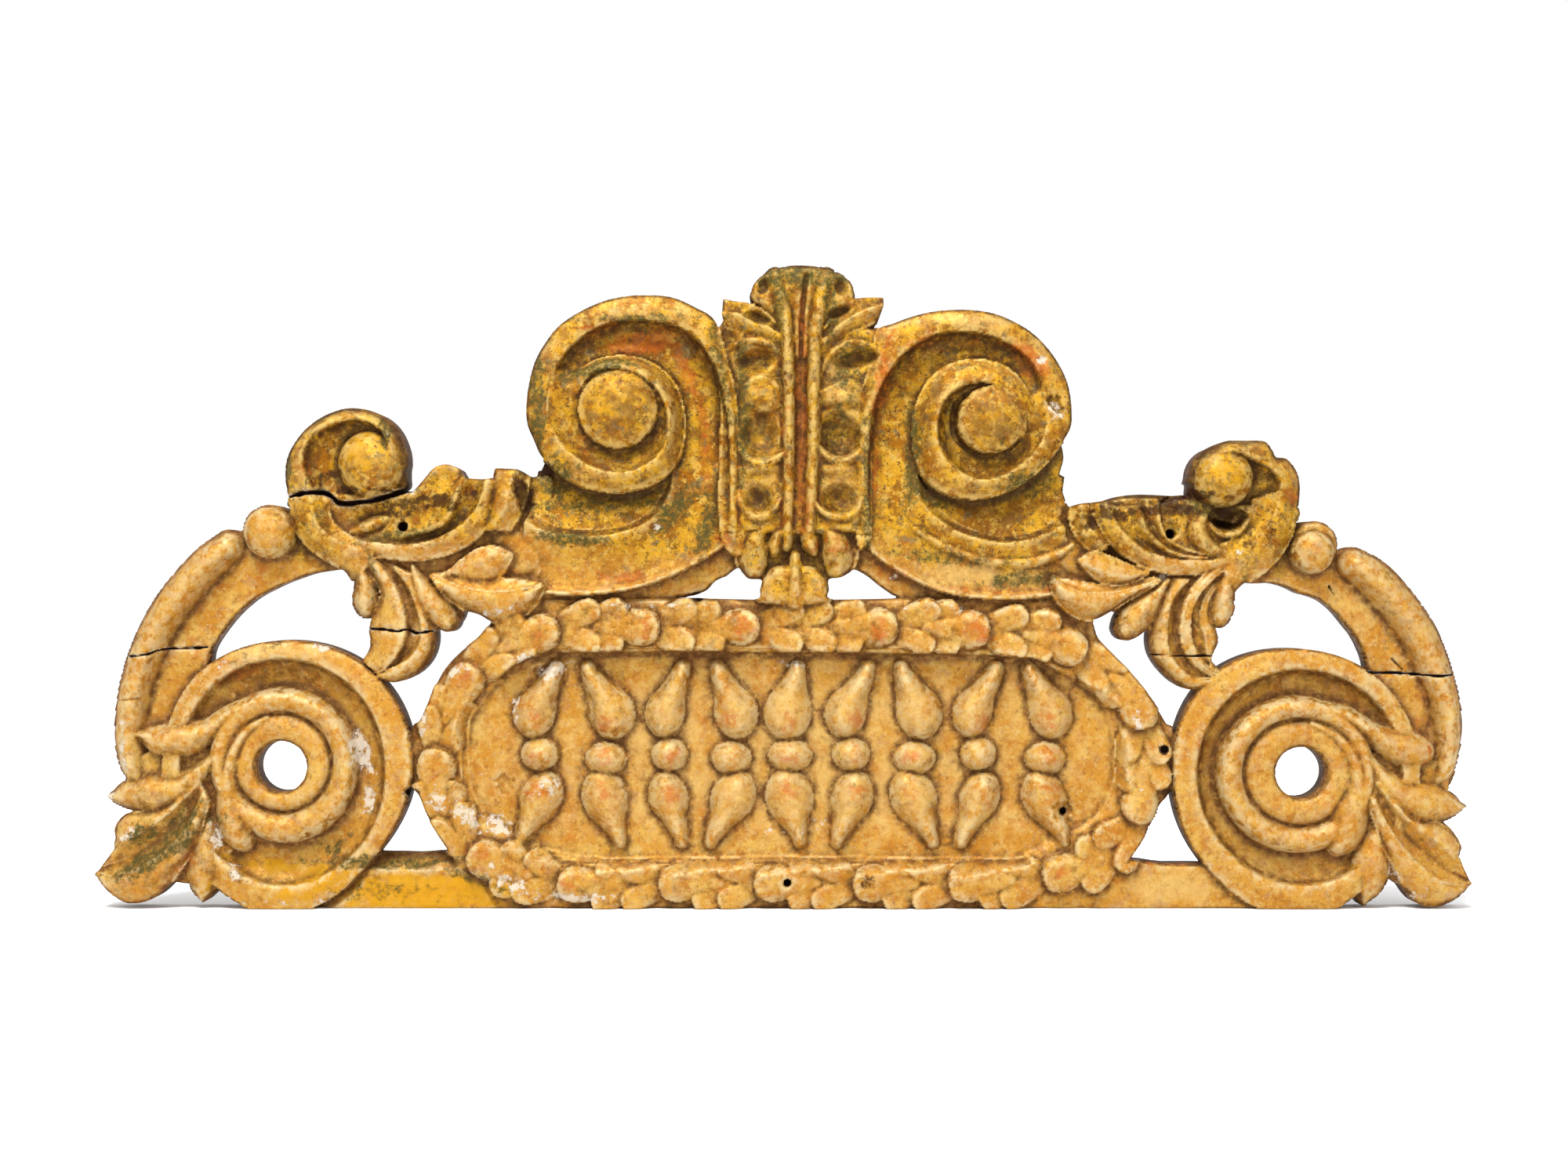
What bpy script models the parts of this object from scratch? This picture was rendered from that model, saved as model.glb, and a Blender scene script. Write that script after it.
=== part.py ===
"""Carved plaque: one wooden crest with a flat back, cut away between its scrolls. Its front is a height over
the back, worked out on a grid from strokes, lofts, rings, domes and panels, and then thinned to flat faces.
It is in metres: x to the right from the middle of the cartouche, y into the wall, z up."""

import math

import bpy
import numpy as np

# Main sizes in metres; the depths are measured from the flat back.
PLAQUE_LENGTH = 1.103
PLAQUE_HEIGHT = 0.513
BOSS_DEPTH = 0.062
PLATE_DEPTH = 0.025
FIELD_DEPTH = 0.020
SCROLL_HOLE_DIAMETER = 0.0412
EDGE_ROUNDING = 0.003

# The sheet that the tables are drawn on: x from the cartouche's middle, z above the base, and heights over
# the back, each a share of the plaque's own length, height or depth.
DRAWN_LENGTH = 1103.0
DRAWN_HEIGHT = 513.0
DRAWN_DEPTH = 62.0
MIDDLE_ABOVE_BASE = 123.0
LEFT_END = -562.0
RIGHT_END = 549.0
TOP_END = 518.0
UNIT_X = PLAQUE_LENGTH / DRAWN_LENGTH
UNIT_Z = PLAQUE_HEIGHT / DRAWN_HEIGHT
UNIT_Y = BOSS_DEPTH / DRAWN_DEPTH
BALL_TOP = DRAWN_DEPTH
PLATE = PLATE_DEPTH / UNIT_Y
FLOOR = FIELD_DEPTH / UNIT_Y
EDGE_ROUND = EDGE_ROUNDING / UNIT_Y

# How finely the drawing is cut.
GRID = 2.0
TRIANGLES = 9600
SOFTENED = 1.2
SNAPPED = 0.4

FAR = 1000.0


def unit(value):
    return np.clip(value, 0.0, 1.0)


def dome(side):
    return np.sqrt(unit(1.0 - side * side))


def table_profile(*rows):
    """A cross-section read from a few (side, share of the height) pairs."""
    places = [row[0] for row in rows]
    shares = [row[1] for row in rows]
    return lambda side: np.interp(side, places, shares)


PROFILES = {
    "round": dome,
    "soft": lambda side: unit(1.0 - side * side),
}


def smooth_curve(points, each, closed=False):
    """A Catmull-Rom curve through rows of numbers."""
    rows = np.array(points, float)
    count = len(rows)
    if closed:
        spans = [[(k - 1) % count, k, (k + 1) % count, (k + 2) % count] for k in range(count)]
    else:
        spans = [[max(k - 1, 0), k, k + 1, min(k + 2, count - 1)] for k in range(count - 1)]
    made = []
    for a, b, c, d in spans:
        for t in np.arange(each) / each:
            made.append(0.5 * (2 * rows[b] + (rows[c] - rows[a]) * t
                               + (2 * rows[a] - 5 * rows[b] + 4 * rows[c] - rows[d]) * t ** 2
                               + (3 * rows[b] - rows[a] - 3 * rows[c] + rows[d]) * t ** 3))
    if not closed:
        made.append(rows[-1])
    return np.array(made)


SAG_SHAPES = {
    "bowl": lambda share: 4.0 * share * (1.0 - share),
    "cavetto": table_profile((0, 0), (0.05, 0.45), (0.12, 0.75), (0.25, 0.97), (0.35, 1), (0.5, 0.93), (0.7,
                                                                                                        0.62),
                             (0.85, 0.3), (1, 0)),
}


def nearest_on(p, q, x, z):
    """Distance from each place to the straight run from p to q, and how far along that is."""
    run_x, run_z = q[0] - p[0], q[1] - p[1]
    t = unit(((x - p[0]) * run_x + (z - p[1]) * run_z) / max(run_x * run_x + run_z * run_z, 1e-9))
    return np.hypot(x - p[0] - t * run_x, z - p[1] - t * run_z), t


def around(values, angle):
    """A value read round a circle, from one number or from equally spaced ones starting at the right."""
    if np.isscalar(values):
        return np.full(angle.shape, float(values))
    rows = np.array(values, float)
    count = len(rows)
    place = (angle / (2 * math.pi)) % 1.0 * count
    low = np.floor(place).astype(int) % count
    t = place - np.floor(place)
    a, b, c, d = rows[low - 1], rows[low], rows[(low + 1) % count], rows[(low + 2) % count]
    return 0.5 * (2 * b + (c - a) * t + (2 * a - 5 * b + 4 * c - d) * t ** 2
                  + (3 * b - a - 3 * c + d) * t ** 3)


def blend(low, high, t, kind):
    if kind == "line":
        share = t
    elif kind == "bulge":
        share = np.where(high < low, 1 - np.sqrt(unit(1 - t * t)), np.sqrt(unit(1 - (1 - t) ** 2)))
    elif kind == "scoop":
        share = np.where(high < low, np.sqrt(unit(1 - (1 - t) ** 2)), 1 - np.sqrt(unit(1 - t * t)))
    else:
        share = 0.5 - 0.5 * np.cos(math.pi * t)
    return low + (high - low) * share


class Relief:
    """Front height and distance inside the outline, over a grid of the plaque's face."""

    def __init__(self, grid):
        self.grid = grid
        self.x = np.arange(LEFT_END, RIGHT_END + grid, grid)
        self.z = np.arange(-2.5 * grid, TOP_END + grid, grid)
        self.inside = np.full((len(self.z), len(self.x)), -FAR)
        self.height = np.zeros((len(self.z), len(self.x)))

    def window(self, x0, x1, z0, z1):
        a = max(int((x0 - self.x[0]) / self.grid) - 1, 0)
        b = min(int((x1 - self.x[0]) / self.grid) + 3, len(self.x))
        c = max(int((z0 - self.z[0]) / self.grid) - 1, 0)
        d = min(int((z1 - self.z[0]) / self.grid) + 3, len(self.z))
        return slice(c, max(d, c + 1)), slice(a, max(b, a + 1))

    def places(self, area):
        return self.x[area[1]][None, :], self.z[area[0]][:, None]

    def add(self, area, inside, height, lap=0.0):
        """Raises the face to `height` inside a form, and `lap` past its edge where another form is there."""
        kept = self.height[area]
        self.height[area] = np.where(inside > -lap, np.maximum(kept, height), kept)
        self.inside[area] = np.maximum(self.inside[area], inside)

    def cut(self, area, inside, height):
        kept = self.height[area]
        self.height[area] = np.where(inside > 0, np.minimum(kept, height), kept)

    def hole(self, area, inside):
        self.inside[area] = np.minimum(self.inside[area], -inside)

    def along(self, points, each=6):
        """Nearest place on a swept path: area, distance inside, signed side, height and share of length."""
        path = smooth_curve(points, each)
        reach = path[:, 2].max() + 1
        area = self.window(path[:, 0].min() - reach, path[:, 0].max() + reach,
                           path[:, 1].min() - reach, path[:, 1].max() + reach)
        shape = (area[0].stop - area[0].start, area[1].stop - area[1].start)
        inside = np.full(shape, -FAR)
        side = np.zeros(shape)
        height = np.zeros(shape)
        share = np.zeros(shape)
        for k in range(len(path) - 1):
            p, q = path[k], path[k + 1]
            wide = max(p[2], q[2]) + 1
            part = self.window(min(p[0], q[0]) - wide, max(p[0], q[0]) + wide,
                               min(p[1], q[1]) - wide, max(p[1], q[1]) + wide)
            x, z = self.places(part)
            run = q[:2] - p[:2]
            length = max(float(run @ run), 1e-9)
            t = unit(((x - p[0]) * run[0] + (z - p[1]) * run[1]) / length)
            dx = x - p[0] - t * run[0]
            dz = z - p[1] - t * run[1]
            away = np.hypot(dx, dz)
            half = np.maximum(p[2] + t * (q[2] - p[2]), 0.05)
            here = (slice(part[0].start - area[0].start, part[0].stop - area[0].start),
                    slice(part[1].start - area[1].start, part[1].stop - area[1].start))
            better = half - away > inside[here]
            turn = np.where(run[0] * dz - run[1] * dx >= 0, 1.0, -1.0)
            inside[here] = np.where(better, half - away, inside[here])
            side[here] = np.where(better, turn * away / half, side[here])
            height[here] = np.where(better, p[3] + t * (q[3] - p[3]), height[here])
            share[here] = np.where(better, (k + t) / (len(path) - 1), share[here])
        return area, inside, side, height, share

    def stroke(self, points, profile="round", rise=12.0):
        """Raises a swept bar: each point is (x, z, half width, height); its edges stand `rise` lower."""
        area, inside, side, height, _ = self.along(points)
        self.add(area, inside, height - rise * (1 - PROFILES[profile](side)))

    def leaf(self, points, half, top, fall=8.0, crown=4.0, taper=0.3, nose=1.6, roll=3.0):
        """Raises a leaf that lies over the next one: its round tip stands proud and its root runs under.
        Within `roll` of its edge it turns down by `nose`. It lies on what is there and leaves the outline."""
        area, inside, side, _, share = self.along([(x, z, half, top) for x, z in points], 3)
        long = sum(math.hypot(q[0] - p[0], q[1] - p[1]) for p, q in zip(points[:-1], points[1:]))
        back = (1.0 - share) * long
        tip = np.sqrt(unit(1.0 - (1.0 - unit(back / (1.1 * half))) ** 2))
        shape = tip * (1.0 - taper * unit(back / long))
        edge = np.where(inside > 0, (shape - np.abs(side)) * half, -FAR)
        turned = nose * unit(1.0 - edge / roll) ** 2
        made = top - fall * back / long - crown * side * side - turned
        self.height[area] = np.where(edge > 0, np.maximum(self.height[area], made), self.height[area])

    def wear(self, x, z, half_x, half_z, spread):
        """Smooths the carving inside a soft-edged oval."""
        area = self.window(x - half_x - 3 * spread, x + half_x + 3 * spread,
                           z - half_z - 3 * spread, z + half_z + 3 * spread)
        gx, gz = self.places(area)
        share = unit(2.0 - 2.0 * np.hypot((gx - x) / half_x, (gz - z) / half_z))
        kept = (self.inside[area] > 0).astype(float)
        reach = int(2.5 * spread / self.grid) + 1
        weights = np.exp(-0.5 * (np.arange(-reach, reach + 1) * self.grid / spread) ** 2)
        total = self.height[area] * kept
        weight = kept
        for axis in (0, 1):
            total = sum(w * np.roll(total, k - reach, axis) for k, w in enumerate(weights))
            weight = sum(w * np.roll(weight, k - reach, axis) for k, w in enumerate(weights))
        mean = total / np.maximum(weight, 1e-6)
        self.height[area] = self.height[area] + share * (mean - self.height[area])

    def groove(self, points, depth=6.0):
        """Cuts a rounded channel whose bottom runs at the path's heights."""
        area, inside, side, height, _ = self.along(points)
        self.cut(area, inside, height + depth * side * side)

    def oval(self, x, z, half_x, half_z, top, profile="round", rise=12.0, turned=0.0, carve=False):
        reach = max(half_x, half_z) + 1
        area = self.window(x - reach, x + reach, z - reach, z + reach)
        gx, gz = self.places(area)
        c, s = math.cos(math.radians(turned)), math.sin(math.radians(turned))
        u = ((gx - x) * c + (gz - z) * s) / half_x
        v = (-(gx - x) * s + (gz - z) * c) / half_z
        away = np.hypot(u, v)
        inside = (1 - away) * min(half_x, half_z)
        height = top - rise * (1 - PROFILES[profile](away))
        if carve:
            self.cut(area, inside, top + rise * away ** 2)
        else:
            self.add(area, inside, height)

    def within(self, path, reach=45.0):
        """Distance inside a closed path, true up to `reach`."""
        area = self.window(path[:, 0].min(), path[:, 0].max(), path[:, 1].min(), path[:, 1].max())
        x, z = self.places(area)
        shape = (z.shape[0], x.shape[1])
        near = np.full(shape, reach)
        odd = np.zeros(shape, bool)
        for k in range(len(path)):
            p, q = path[k], path[(k + 1) % len(path)]
            part = self.window(min(p[0], q[0]) - reach, max(p[0], q[0]) + reach,
                               min(p[1], q[1]) - reach, max(p[1], q[1]) + reach)
            rows = slice(max(part[0].start, area[0].start), min(part[0].stop, area[0].stop))
            columns = slice(max(part[1].start, area[1].start), min(part[1].stop, area[1].stop))
            if rows.stop > rows.start and columns.stop > columns.start:
                gx, gz = self.places((rows, columns))
                away, _ = nearest_on(p, q, gx, gz)
                here = (slice(rows.start - area[0].start, rows.stop - area[0].start),
                        slice(columns.start - area[1].start, columns.stop - area[1].start))
                near[here] = np.minimum(near[here], away)
            crossed = ((p[1] > z[:, 0]) != (q[1] > z[:, 0]))
            if crossed.any():
                at = p[0] + (z[crossed, 0] - p[1]) / (q[1] - p[1]) * (q[0] - p[0])
                odd[crossed] ^= x[0][None, :] > at[:, None]
        return area, np.where(odd, near, -near)

    def outline(self, points, each=5, reach=45.0):
        """Distance inside a smooth closed curve."""
        return self.within(smooth_curve([row[:2] for row in points], each, True), reach)

    def trace(self, path, area):
        """Distance from each place to a path of (x, z, height), and the path's height nearest to it."""
        x, z = self.places(area)
        away = np.full((z.shape[0], x.shape[1]), FAR)
        height = np.zeros(away.shape)
        for p, q in zip(path[:-1], path[1:]):
            here, t = nearest_on(p, q, x, z)
            nearer = here < away
            away = np.where(nearer, here, away)
            height = np.where(nearer, p[2] + t * (q[2] - p[2]), height)
        return away, height

    def loft(self, *lines, sags=(0.0,), shape="bowl", each=5):
        """Surfaces that run from each curve of (x, z, height) to the next, each sunk by its sag between them.
        A curve of (x, z, height, sag) has a sag that changes along it."""
        for k in range(len(lines) - 1):
            first = smooth_curve(lines[k], each)
            second = smooth_curve(lines[k + 1], each)
            area, inside = self.within(np.vstack([first[:, :2], second[::-1, :2]]))
            near_first, low = self.trace(first, area)
            near_second, high = self.trace(second, area)
            share = near_first / np.maximum(near_first + near_second, 1e-6)
            sag = sags[k % len(sags)]
            if first.shape[1] > 3:
                sag = self.trace(first[:, [0, 1, 3]], area)[1]
            height = low + (high - low) * share - sag * SAG_SHAPES[shape](share)
            self.add(area, inside + 0.4 * self.grid, height, 1.4)

    def panel(self, points, *rows):
        """Raises a panel whose height is read from (distance inside its outline, height) pairs."""
        area, inside = self.outline(points)
        height = np.interp(inside, [row[0] for row in rows], [row[1] for row in rows])
        self.add(area, inside, height)

    def pillow(self, points, top, fall=9.0, reach=11.0):
        """Raises a rounded lobe that falls away towards its outline."""
        shares = (0.0, 0.08, 0.2, 0.4, 0.65, 1.0)
        rows = [(share * reach, top - fall * (1 - math.sqrt(1 - (1 - share) ** 2))) for share in shares]
        self.panel(points, *rows)

    def flat(self, points, top=PLATE):
        self.panel(points, (0, top), (1, top))

    def rings(self, x, z, rows):
        """Raises turned mouldings: each row is (radii round the circle, height, how it runs on outward)."""
        most = max(np.max(row[0]) for row in rows) + 6
        area = self.window(x - most, x + most, z - most, z + most)
        gx, gz = self.places(area)
        angle = np.arctan2(gz - z, gx - x)
        radius = np.hypot(gx - x, gz - z)
        edges = [around(row[0], angle) for row in rows]
        height = np.full(radius.shape, float(rows[0][1]))
        for k in range(len(rows) - 1):
            t = unit((radius - edges[k]) / np.maximum(edges[k + 1] - edges[k], 0.01))
            made = blend(float(rows[k][1]), float(rows[k + 1][1]), t, rows[k][2])
            height = np.where(radius >= edges[k], made, height)
        self.add(area, edges[-1] - radius, height)

    def soften(self, spread):
        """Wears every arris down a little, without pulling the outline in."""
        reach = int(3 * spread / self.grid) + 1
        weights = np.exp(-0.5 * (np.arange(-reach, reach + 1) * self.grid / spread) ** 2)
        kept = (self.inside > 0).astype(float)
        height = self.height * kept
        for axis in (0, 1):
            height = sum(w * np.roll(height, k - reach, axis) for k, w in enumerate(weights))
            kept = sum(w * np.roll(kept, k - reach, axis) for k, w in enumerate(weights))
        self.height = np.where(self.inside > 0, height / np.maximum(kept, 1e-6), self.height)

    def finish(self):
        """Clips at the base and rounds the outer edges over."""
        self.inside = np.minimum(self.inside, self.z[:, None])
        self.soften(SOFTENED)
        over = unit(1 - self.inside / EDGE_ROUND)
        over = np.where(self.z[:, None] < EDGE_ROUND, 0.0, over)
        self.height = self.height - EDGE_ROUND * (1 - np.sqrt(unit(1 - over * over)))
        self.height = np.maximum(self.height, 6.0)


# Cartouche, with its laurel border and sunk field.
CARTOUCHE = ((-237, 234), (-250, 218), (-260, 210), (-270, 201), (-278, 192), (-284, 182), (-289, 170),
             (-293, 160), (-298, 150), (-306, 142), (-306, 104), (-298, 90), (-292, 74), (-283, 58),
             (-274, 43), (-266, 22), (-262, -6), (0, -8), (256, -6), (262, 18), (269, 38), (280, 54),
             (288, 68), (293, 80), (301, 90), (306, 100), (306, 141), (300, 147), (292, 160), (285, 170),
             (279, 178), (268, 191), (258, 201), (245, 216), (239, 232), (225, 243), (190, 247), (120, 247),
             (84, 247.5), (30, 246.5), (-28, 246.5), (-79, 248), (-140, 247), (-200, 247), (-228, 243))
FIELD = ((-262, 118), (-260, 150), (-252, 163), (-243, 176), (-232, 187), (-218, 197), (-200, 203),
         (-170, 205), (0, 205), (140, 203), (175, 201), (195, 199), (213, 190), (232, 180), (245, 168),
         (255, 155), (259, 135), (259, 105), (254, 86), (242, 70), (225, 60), (205, 50), (190, 42),
         (165, 38), (0, 39), (-150, 38), (-185, 42), (-210, 50), (-235, 64), (-250, 77), (-259, 95))
GARLAND = ((-186, 223), (-106, 225), (-26, 225), (64, 225), (140, 223), (205, 215), (250, 190), (276, 160),
           (280, 118), (276, 78), (252, 44), (205, 26), (124, 20), (48, 20), (-31, 20), (-107, 20),
           (-182, 20), (-250, 42), (-280, 82), (-284, 120), (-268, 172), (-232, 208))
BORDER_RISE = 4.0
BORDER_LOW = 26.0
LEAF_TOP = 42.0


def border(relief):
    area, outer = relief.outline(CARTOUCHE)
    field_area, field = relief.outline(FIELD)
    inner = np.full(relief.inside.shape, FAR)
    inner[field_area] = -field
    inner = np.maximum(inner[area], 0.0)
    across = unit(outer / np.maximum(outer + np.minimum(inner, 45.0), 0.1))
    relief.add(area, outer, BORDER_LOW + BORDER_RISE * np.sqrt(unit(np.sin(math.pi * across))))
    laurel(relief)

    def bank(part):
        """How near the field lies to the border's edge: 0 along the top, 1 below and at the ends."""
        gx, gz = relief.places(part)
        shallow = np.maximum(unit((95 - gz) / 60), unit((np.abs(gx) - 190) / 80))
        return shallow * shallow * (3 - 2 * shallow)

    edge = smooth_curve([row + (0.0,) for row in FIELD], 5, True)
    away, _ = relief.trace(np.vstack([edge, edge[:1]]), area)
    relief.cut(area, outer, BORDER_LOW + 16.0 * unit(away / 12.0) + 20.0 * (1.0 - bank(area)))
    relief.cut(field_area, field, FLOOR + 5.0 * bank(field_area) + 5.0 * unit(1 - field / 4.0) ** 2)


# Where the broad leaves end, clockwise.
GARLAND_TIPS = ((-188, 225), (-106, 225), (-26, 225), (82, 225), (158, 222), (236, 203), (277, 144), (276,
                                                                                                      68),
                (199, 25), (124, 20), (48, 20), (-31, 20), (-107, 20), (-186, 20), (-258, 50), (-285, 127),
                (-249, 190))


def laurel(relief):
    """Leaf after leaf along the border: broad ones, each over the pairs of side leaves behind it."""
    path = smooth_curve(GARLAND, 12, True)
    closed = np.vstack([path, path[:1]])
    steps = np.hypot(*np.diff(closed, axis=0).T)
    length = np.concatenate([[0], np.cumsum(steps)])
    whole = length[-1]

    def at(distance, out):
        places = [np.array([np.interp(d % whole, length, closed[:, k]) for k in (0, 1)])
                  for d in (distance - 3, distance, distance + 3)]
        ahead = places[2] - places[0]
        ahead = ahead / np.hypot(*ahead)
        return tuple(places[1] + out * np.array([-ahead[1], ahead[0]]))

    tips = [length[np.argmin(np.hypot(closed[:, 0] - x, closed[:, 1] - z))] for x, z in GARLAND_TIPS]
    for k, tip in enumerate(tips):
        gap = (tip - tips[k - 1]) % whole
        uneven = math.sin(5.1 * k) + math.sin(2.3 * k)
        pairs = 3 if gap > 95 else 2
        for pair in range(pairs, 0, -1):
            # Side leaves spread from the middle line towards the border's edges.
            end = tip - 6 - pair * (gap - 16) / (pairs + 1) + 1.5 * uneven
            for way in (1, -1):
                shift = 2.0 * math.sin(3.7 * k + 2.1 * pair + way)
                points = [at(end + shift - 40 * share, way * (2.0 + 15.0 * (1 - share) ** 1.3))
                          for share in (1, 0.75, 0.5, 0.25, 0)]
                relief.leaf(points, 12.5 + 0.5 * way * uneven, LEAF_TOP - 1.5 - 0.7 * pair, fall=9.0,
                            crown=2.0,
                            nose=2.5, roll=4.0)
        points = [at(tip - 48 * share, 0.0) for share in (1, 0.75, 0.5, 0.25, 0)]
        relief.leaf(points, 19.5 + 0.6 * uneven, LEAF_TOP + 2.0 + 0.6 * uneven, crown=5.0, taper=0.55,
                    nose=4.0,
                    roll=8.0)


# Shallow strokes in rows on the field: drops above and below a row of beads.
STROKE_ROWS = (
    # Middle x, lean of the upper drop, lean of the lower drop, breadth.
    (-203, 11, -12, 1.0), (-150, -12, 9, 1.1), (-99, 9, 8, 0.95), (-49, -9, -13, 1.05), (-2, 5, 6, 1.15),
    (47, 11, -9, 1.0), (98, -9, 11, 1.1), (149, 12, -11, 0.95), (203, -11, 12, 1.05),
)
STROKE_TOP = 35.0


def field_strokes(relief):
    for middle, upper, lower, broad in STROKE_ROWS:
        relief.oval(middle, 121 + upper * 0.15, 15.5 * broad, 13.5, STROKE_TOP, "soft", 11)
        relief.stroke(((middle + upper * 1.2, 192, 7.5, STROKE_TOP - 3), (middle + upper * 0.9, 184, 9,
                                                                          STROKE_TOP - 1),
                       (middle + upper * 0.2, 170, 12 * broad, STROKE_TOP),
                       (middle - upper * 0.4, 156, 17 * broad, STROKE_TOP + 1),
                       (middle - upper * 0.5, 148, 13 * broad, STROKE_TOP)), "soft", 12)
        relief.stroke(((middle - lower * 0.4, 97, 13 * broad, STROKE_TOP),
                       (middle - lower * 0.1, 88, 17 * broad, STROKE_TOP + 1),
                       (middle + lower * 0.4, 74, 12 * broad, STROKE_TOP),
                       (middle + lower * 1.0, 61, 9, STROKE_TOP - 1),
                       (middle + lower * 1.3, 52, 7.5, STROKE_TOP - 3)), "soft", 12)


# Rails on either side of the cartouche.
def rails(relief):
    relief.panel(((-400, -20), (-392, 0), (-378, 8), (-364, 18), (-353, 30), (-345, 42), (-320, 43),
                  (-300, 42.5), (-262, 42.5), (-235, 20), (-235, -20)), (0, 16), (12, 29), (13, 30))
    relief.panel(((250, -20), (255, 34), (300, 34.5), (326, 34.5), (340, 33), (346, 24), (354, 15), (364, 7),
                  (376, 0), (384, -20)), (0, 28), (2, 30))


# Great scrolls: hole, two raised rings, a hollow and a flat rim.
LEFT_SCROLL = (-409.0, 113.0)
RIGHT_SCROLL = (406.7, 108.3)


def scrolls(relief):
    relief.rings(*LEFT_SCROLL, (
        (18.6, 27, "bulge"),
        ((31, 32, 34, 32, 30, 28, 27, 29), 37, "bulge"),
        ((40.5, 42, 43.5, 42, 40, 37, 36.5, 38), 28, "bulge"),
        ((52, 54, 55, 54, 50, 48, 51, 51), 42, "bulge"),
        ((61, 63, 64, 62, 58, 56, 62, 62), 23, "scoop"),
        ((84, 86, 87, 84, 80, 84, 95, 90), 38, "line"),
        ((90, 91, 92, 88, 84, 88, 100, 94), 39, "line"),
        ((105, 105.5, 101, 99.6, 95, 103, 118, 104), 36, "line")))
    relief.rings(*RIGHT_SCROLL, (
        (18.6, 27, "bulge"),
        ((32, 32, 32, 33, 33, 33, 32, 32), 37, "bulge"),
        ((43, 43, 43, 45, 46.5, 45, 43, 43), 28, "bulge"),
        ((52, 52, 52, 55, 57.5, 56, 54, 54), 42, "bulge"),
        ((60, 60, 62, 65, 68.5, 67, 65, 64), 23, "scoop"),
        ((80, 82, 83, 84, 84.5, 86, 90, 86), 38, "line"),
        ((84, 86, 87, 90, 89, 92, 97, 90), 39, "line"),
        ((95, 97, 99, 106, 103, 107, 116, 98), 36, "line")))


def scroll_holes(relief):
    """Each hole is bored round, whatever the plaque's length and height."""
    radius = SCROLL_HOLE_DIAMETER / 2
    reach = radius / UNIT_X + 10, radius / UNIT_Z + 10
    for x, z in (LEFT_SCROLL, RIGHT_SCROLL):
        area = relief.window(x - reach[0], x + reach[0], z - reach[1], z + reach[1])
        gx, gz = relief.places(area)
        relief.hole(area, (radius - np.hypot((gx - x) * UNIT_X, (gz - z) * UNIT_Z)) / UNIT_X)


def arcs(relief):
    relief.flat(((-467, 190), (-468, 200), (-466, 208), (-460, 218), (-450, 231), (-440, 241), (-428, 250),
                  (-410, 259), (-400, 263), (-385, 268), (-370, 270.5), (-360, 273), (-350, 290), (-380, 312),
                  (-400, 318), (-425, 312), (-448, 298), (-470, 280), (-495, 252), (-515, 220), (-530, 180),
                  (-535, 140), (-530, 100), (-500, 95), (-445, 105), (-440, 150), (-452, 178)))
    relief.flat(((461, 186), (461, 195), (458, 205), (452, 217), (445, 226), (435, 238), (425, 246),
                  (415, 250), (407, 252), (399, 256), (392, 258.5), (385, 260), (378, 260), (368, 260),
                  (352, 264), (352, 280), (380, 300), (402, 308), (418, 308), (430, 298), (440, 285),
                  (462, 280), (485, 260), (505, 235), (520, 205), (528, 180), (532, 145), (529, 100),
                  (500, 92), (445, 100), (436, 145), (448, 175)))
    relief.stroke(((-452, 289, 14, 42), (-468, 276, 15, 44), (-484, 259, 15, 44), (-498, 241, 15, 44),
                   (-510, 221, 14.5, 44), (-519, 200, 14.5, 43), (-526, 178, 14, 43), (-530, 155, 13.5, 42),
                   (-531, 132, 13.5, 40), (-528, 112, 12, 37), (-520, 98, 8, 32)), "soft", 18)
    relief.stroke(((449, 275, 14, 42), (463, 266, 15.5, 44), (477, 252, 16, 44), (490, 236, 16, 44),
                   (501, 219, 16, 44), (510, 200, 15.5, 43), (517, 183, 14, 43), (522, 166, 13.5, 42),
                   (524.5, 148, 13, 41), (524, 128, 12.5, 39), (521, 110, 11, 36), (514, 98, 8, 31)), "soft",
                   18)
    relief.oval(-418, 301, 21.5, 21.5, 50, rise=20)
    relief.oval(415, 285, 18, 18, 49, rise=18)
    relief.oval(417, 291, 19, 18.5, 38, rise=8)


# Fingers of leaf outside and inside the great scrolls: each point is (x, z, half width, height).
FINGERS = (
    ((-400, 171, 5, 40), (-425, 166, 7, 42), (-450, 155, 8, 42), (-468, 142, 10, 43), (-487, 135, 14.5, 45),
     (-505, 134, 12.5, 43), (-518, 138, 6, 39), (-524, 139, 2, 37)),
    ((-455, 128, 5, 38), (-470, 112, 8, 41), (-488, 97, 12, 44), (-510, 91, 15.5, 44), (-528, 91, 13, 40),
     (-540, 89, 7, 36), (-548, 89, 2, 33)),
    ((-466, 70, 6, 37), (-470, 52, 12, 41), (-471, 36, 16, 43), (-472, 22, 12.5, 40), (-473, 11, 6, 35),
     (-473, 6, 2, 32)),
    ((-420, 152, 5, 37), (-436, 142, 7, 39), (-447, 124, 8, 41), (-452, 102, 9.5, 42), (-450, 82, 12, 44),
     (-445, 66, 14, 45), (-441, 56, 11, 43), (-439, 49, 4, 38)),
    ((415, 163, 5, 40), (440, 155, 8, 42), (460, 143, 8.5, 43), (475, 133, 12, 44), (490, 127, 15, 45),
     (502, 125, 12, 42), (510, 124, 5, 38)),
    ((455, 128, 5, 38), (470, 106, 9, 41), (486, 91, 14, 44), (506, 84, 16.5, 44), (522, 82, 12, 40),
     (533, 81, 5, 36), (538, 81, 2, 33)),
    ((470, 66, 6, 37), (465, 50, 12, 41), (463, 34, 16, 43), (461, 20, 13, 40), (459, 10, 7, 35),
     (458, 4, 3, 32)),
    ((415, 148, 5, 37), (436, 136, 8, 39), (449, 117, 9.5, 41), (452, 96, 12, 42), (447, 76, 15.5, 44),
     (441, 60, 15.5, 44), (436, 51, 10, 42), (434, 45, 4, 38)),
)
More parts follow.
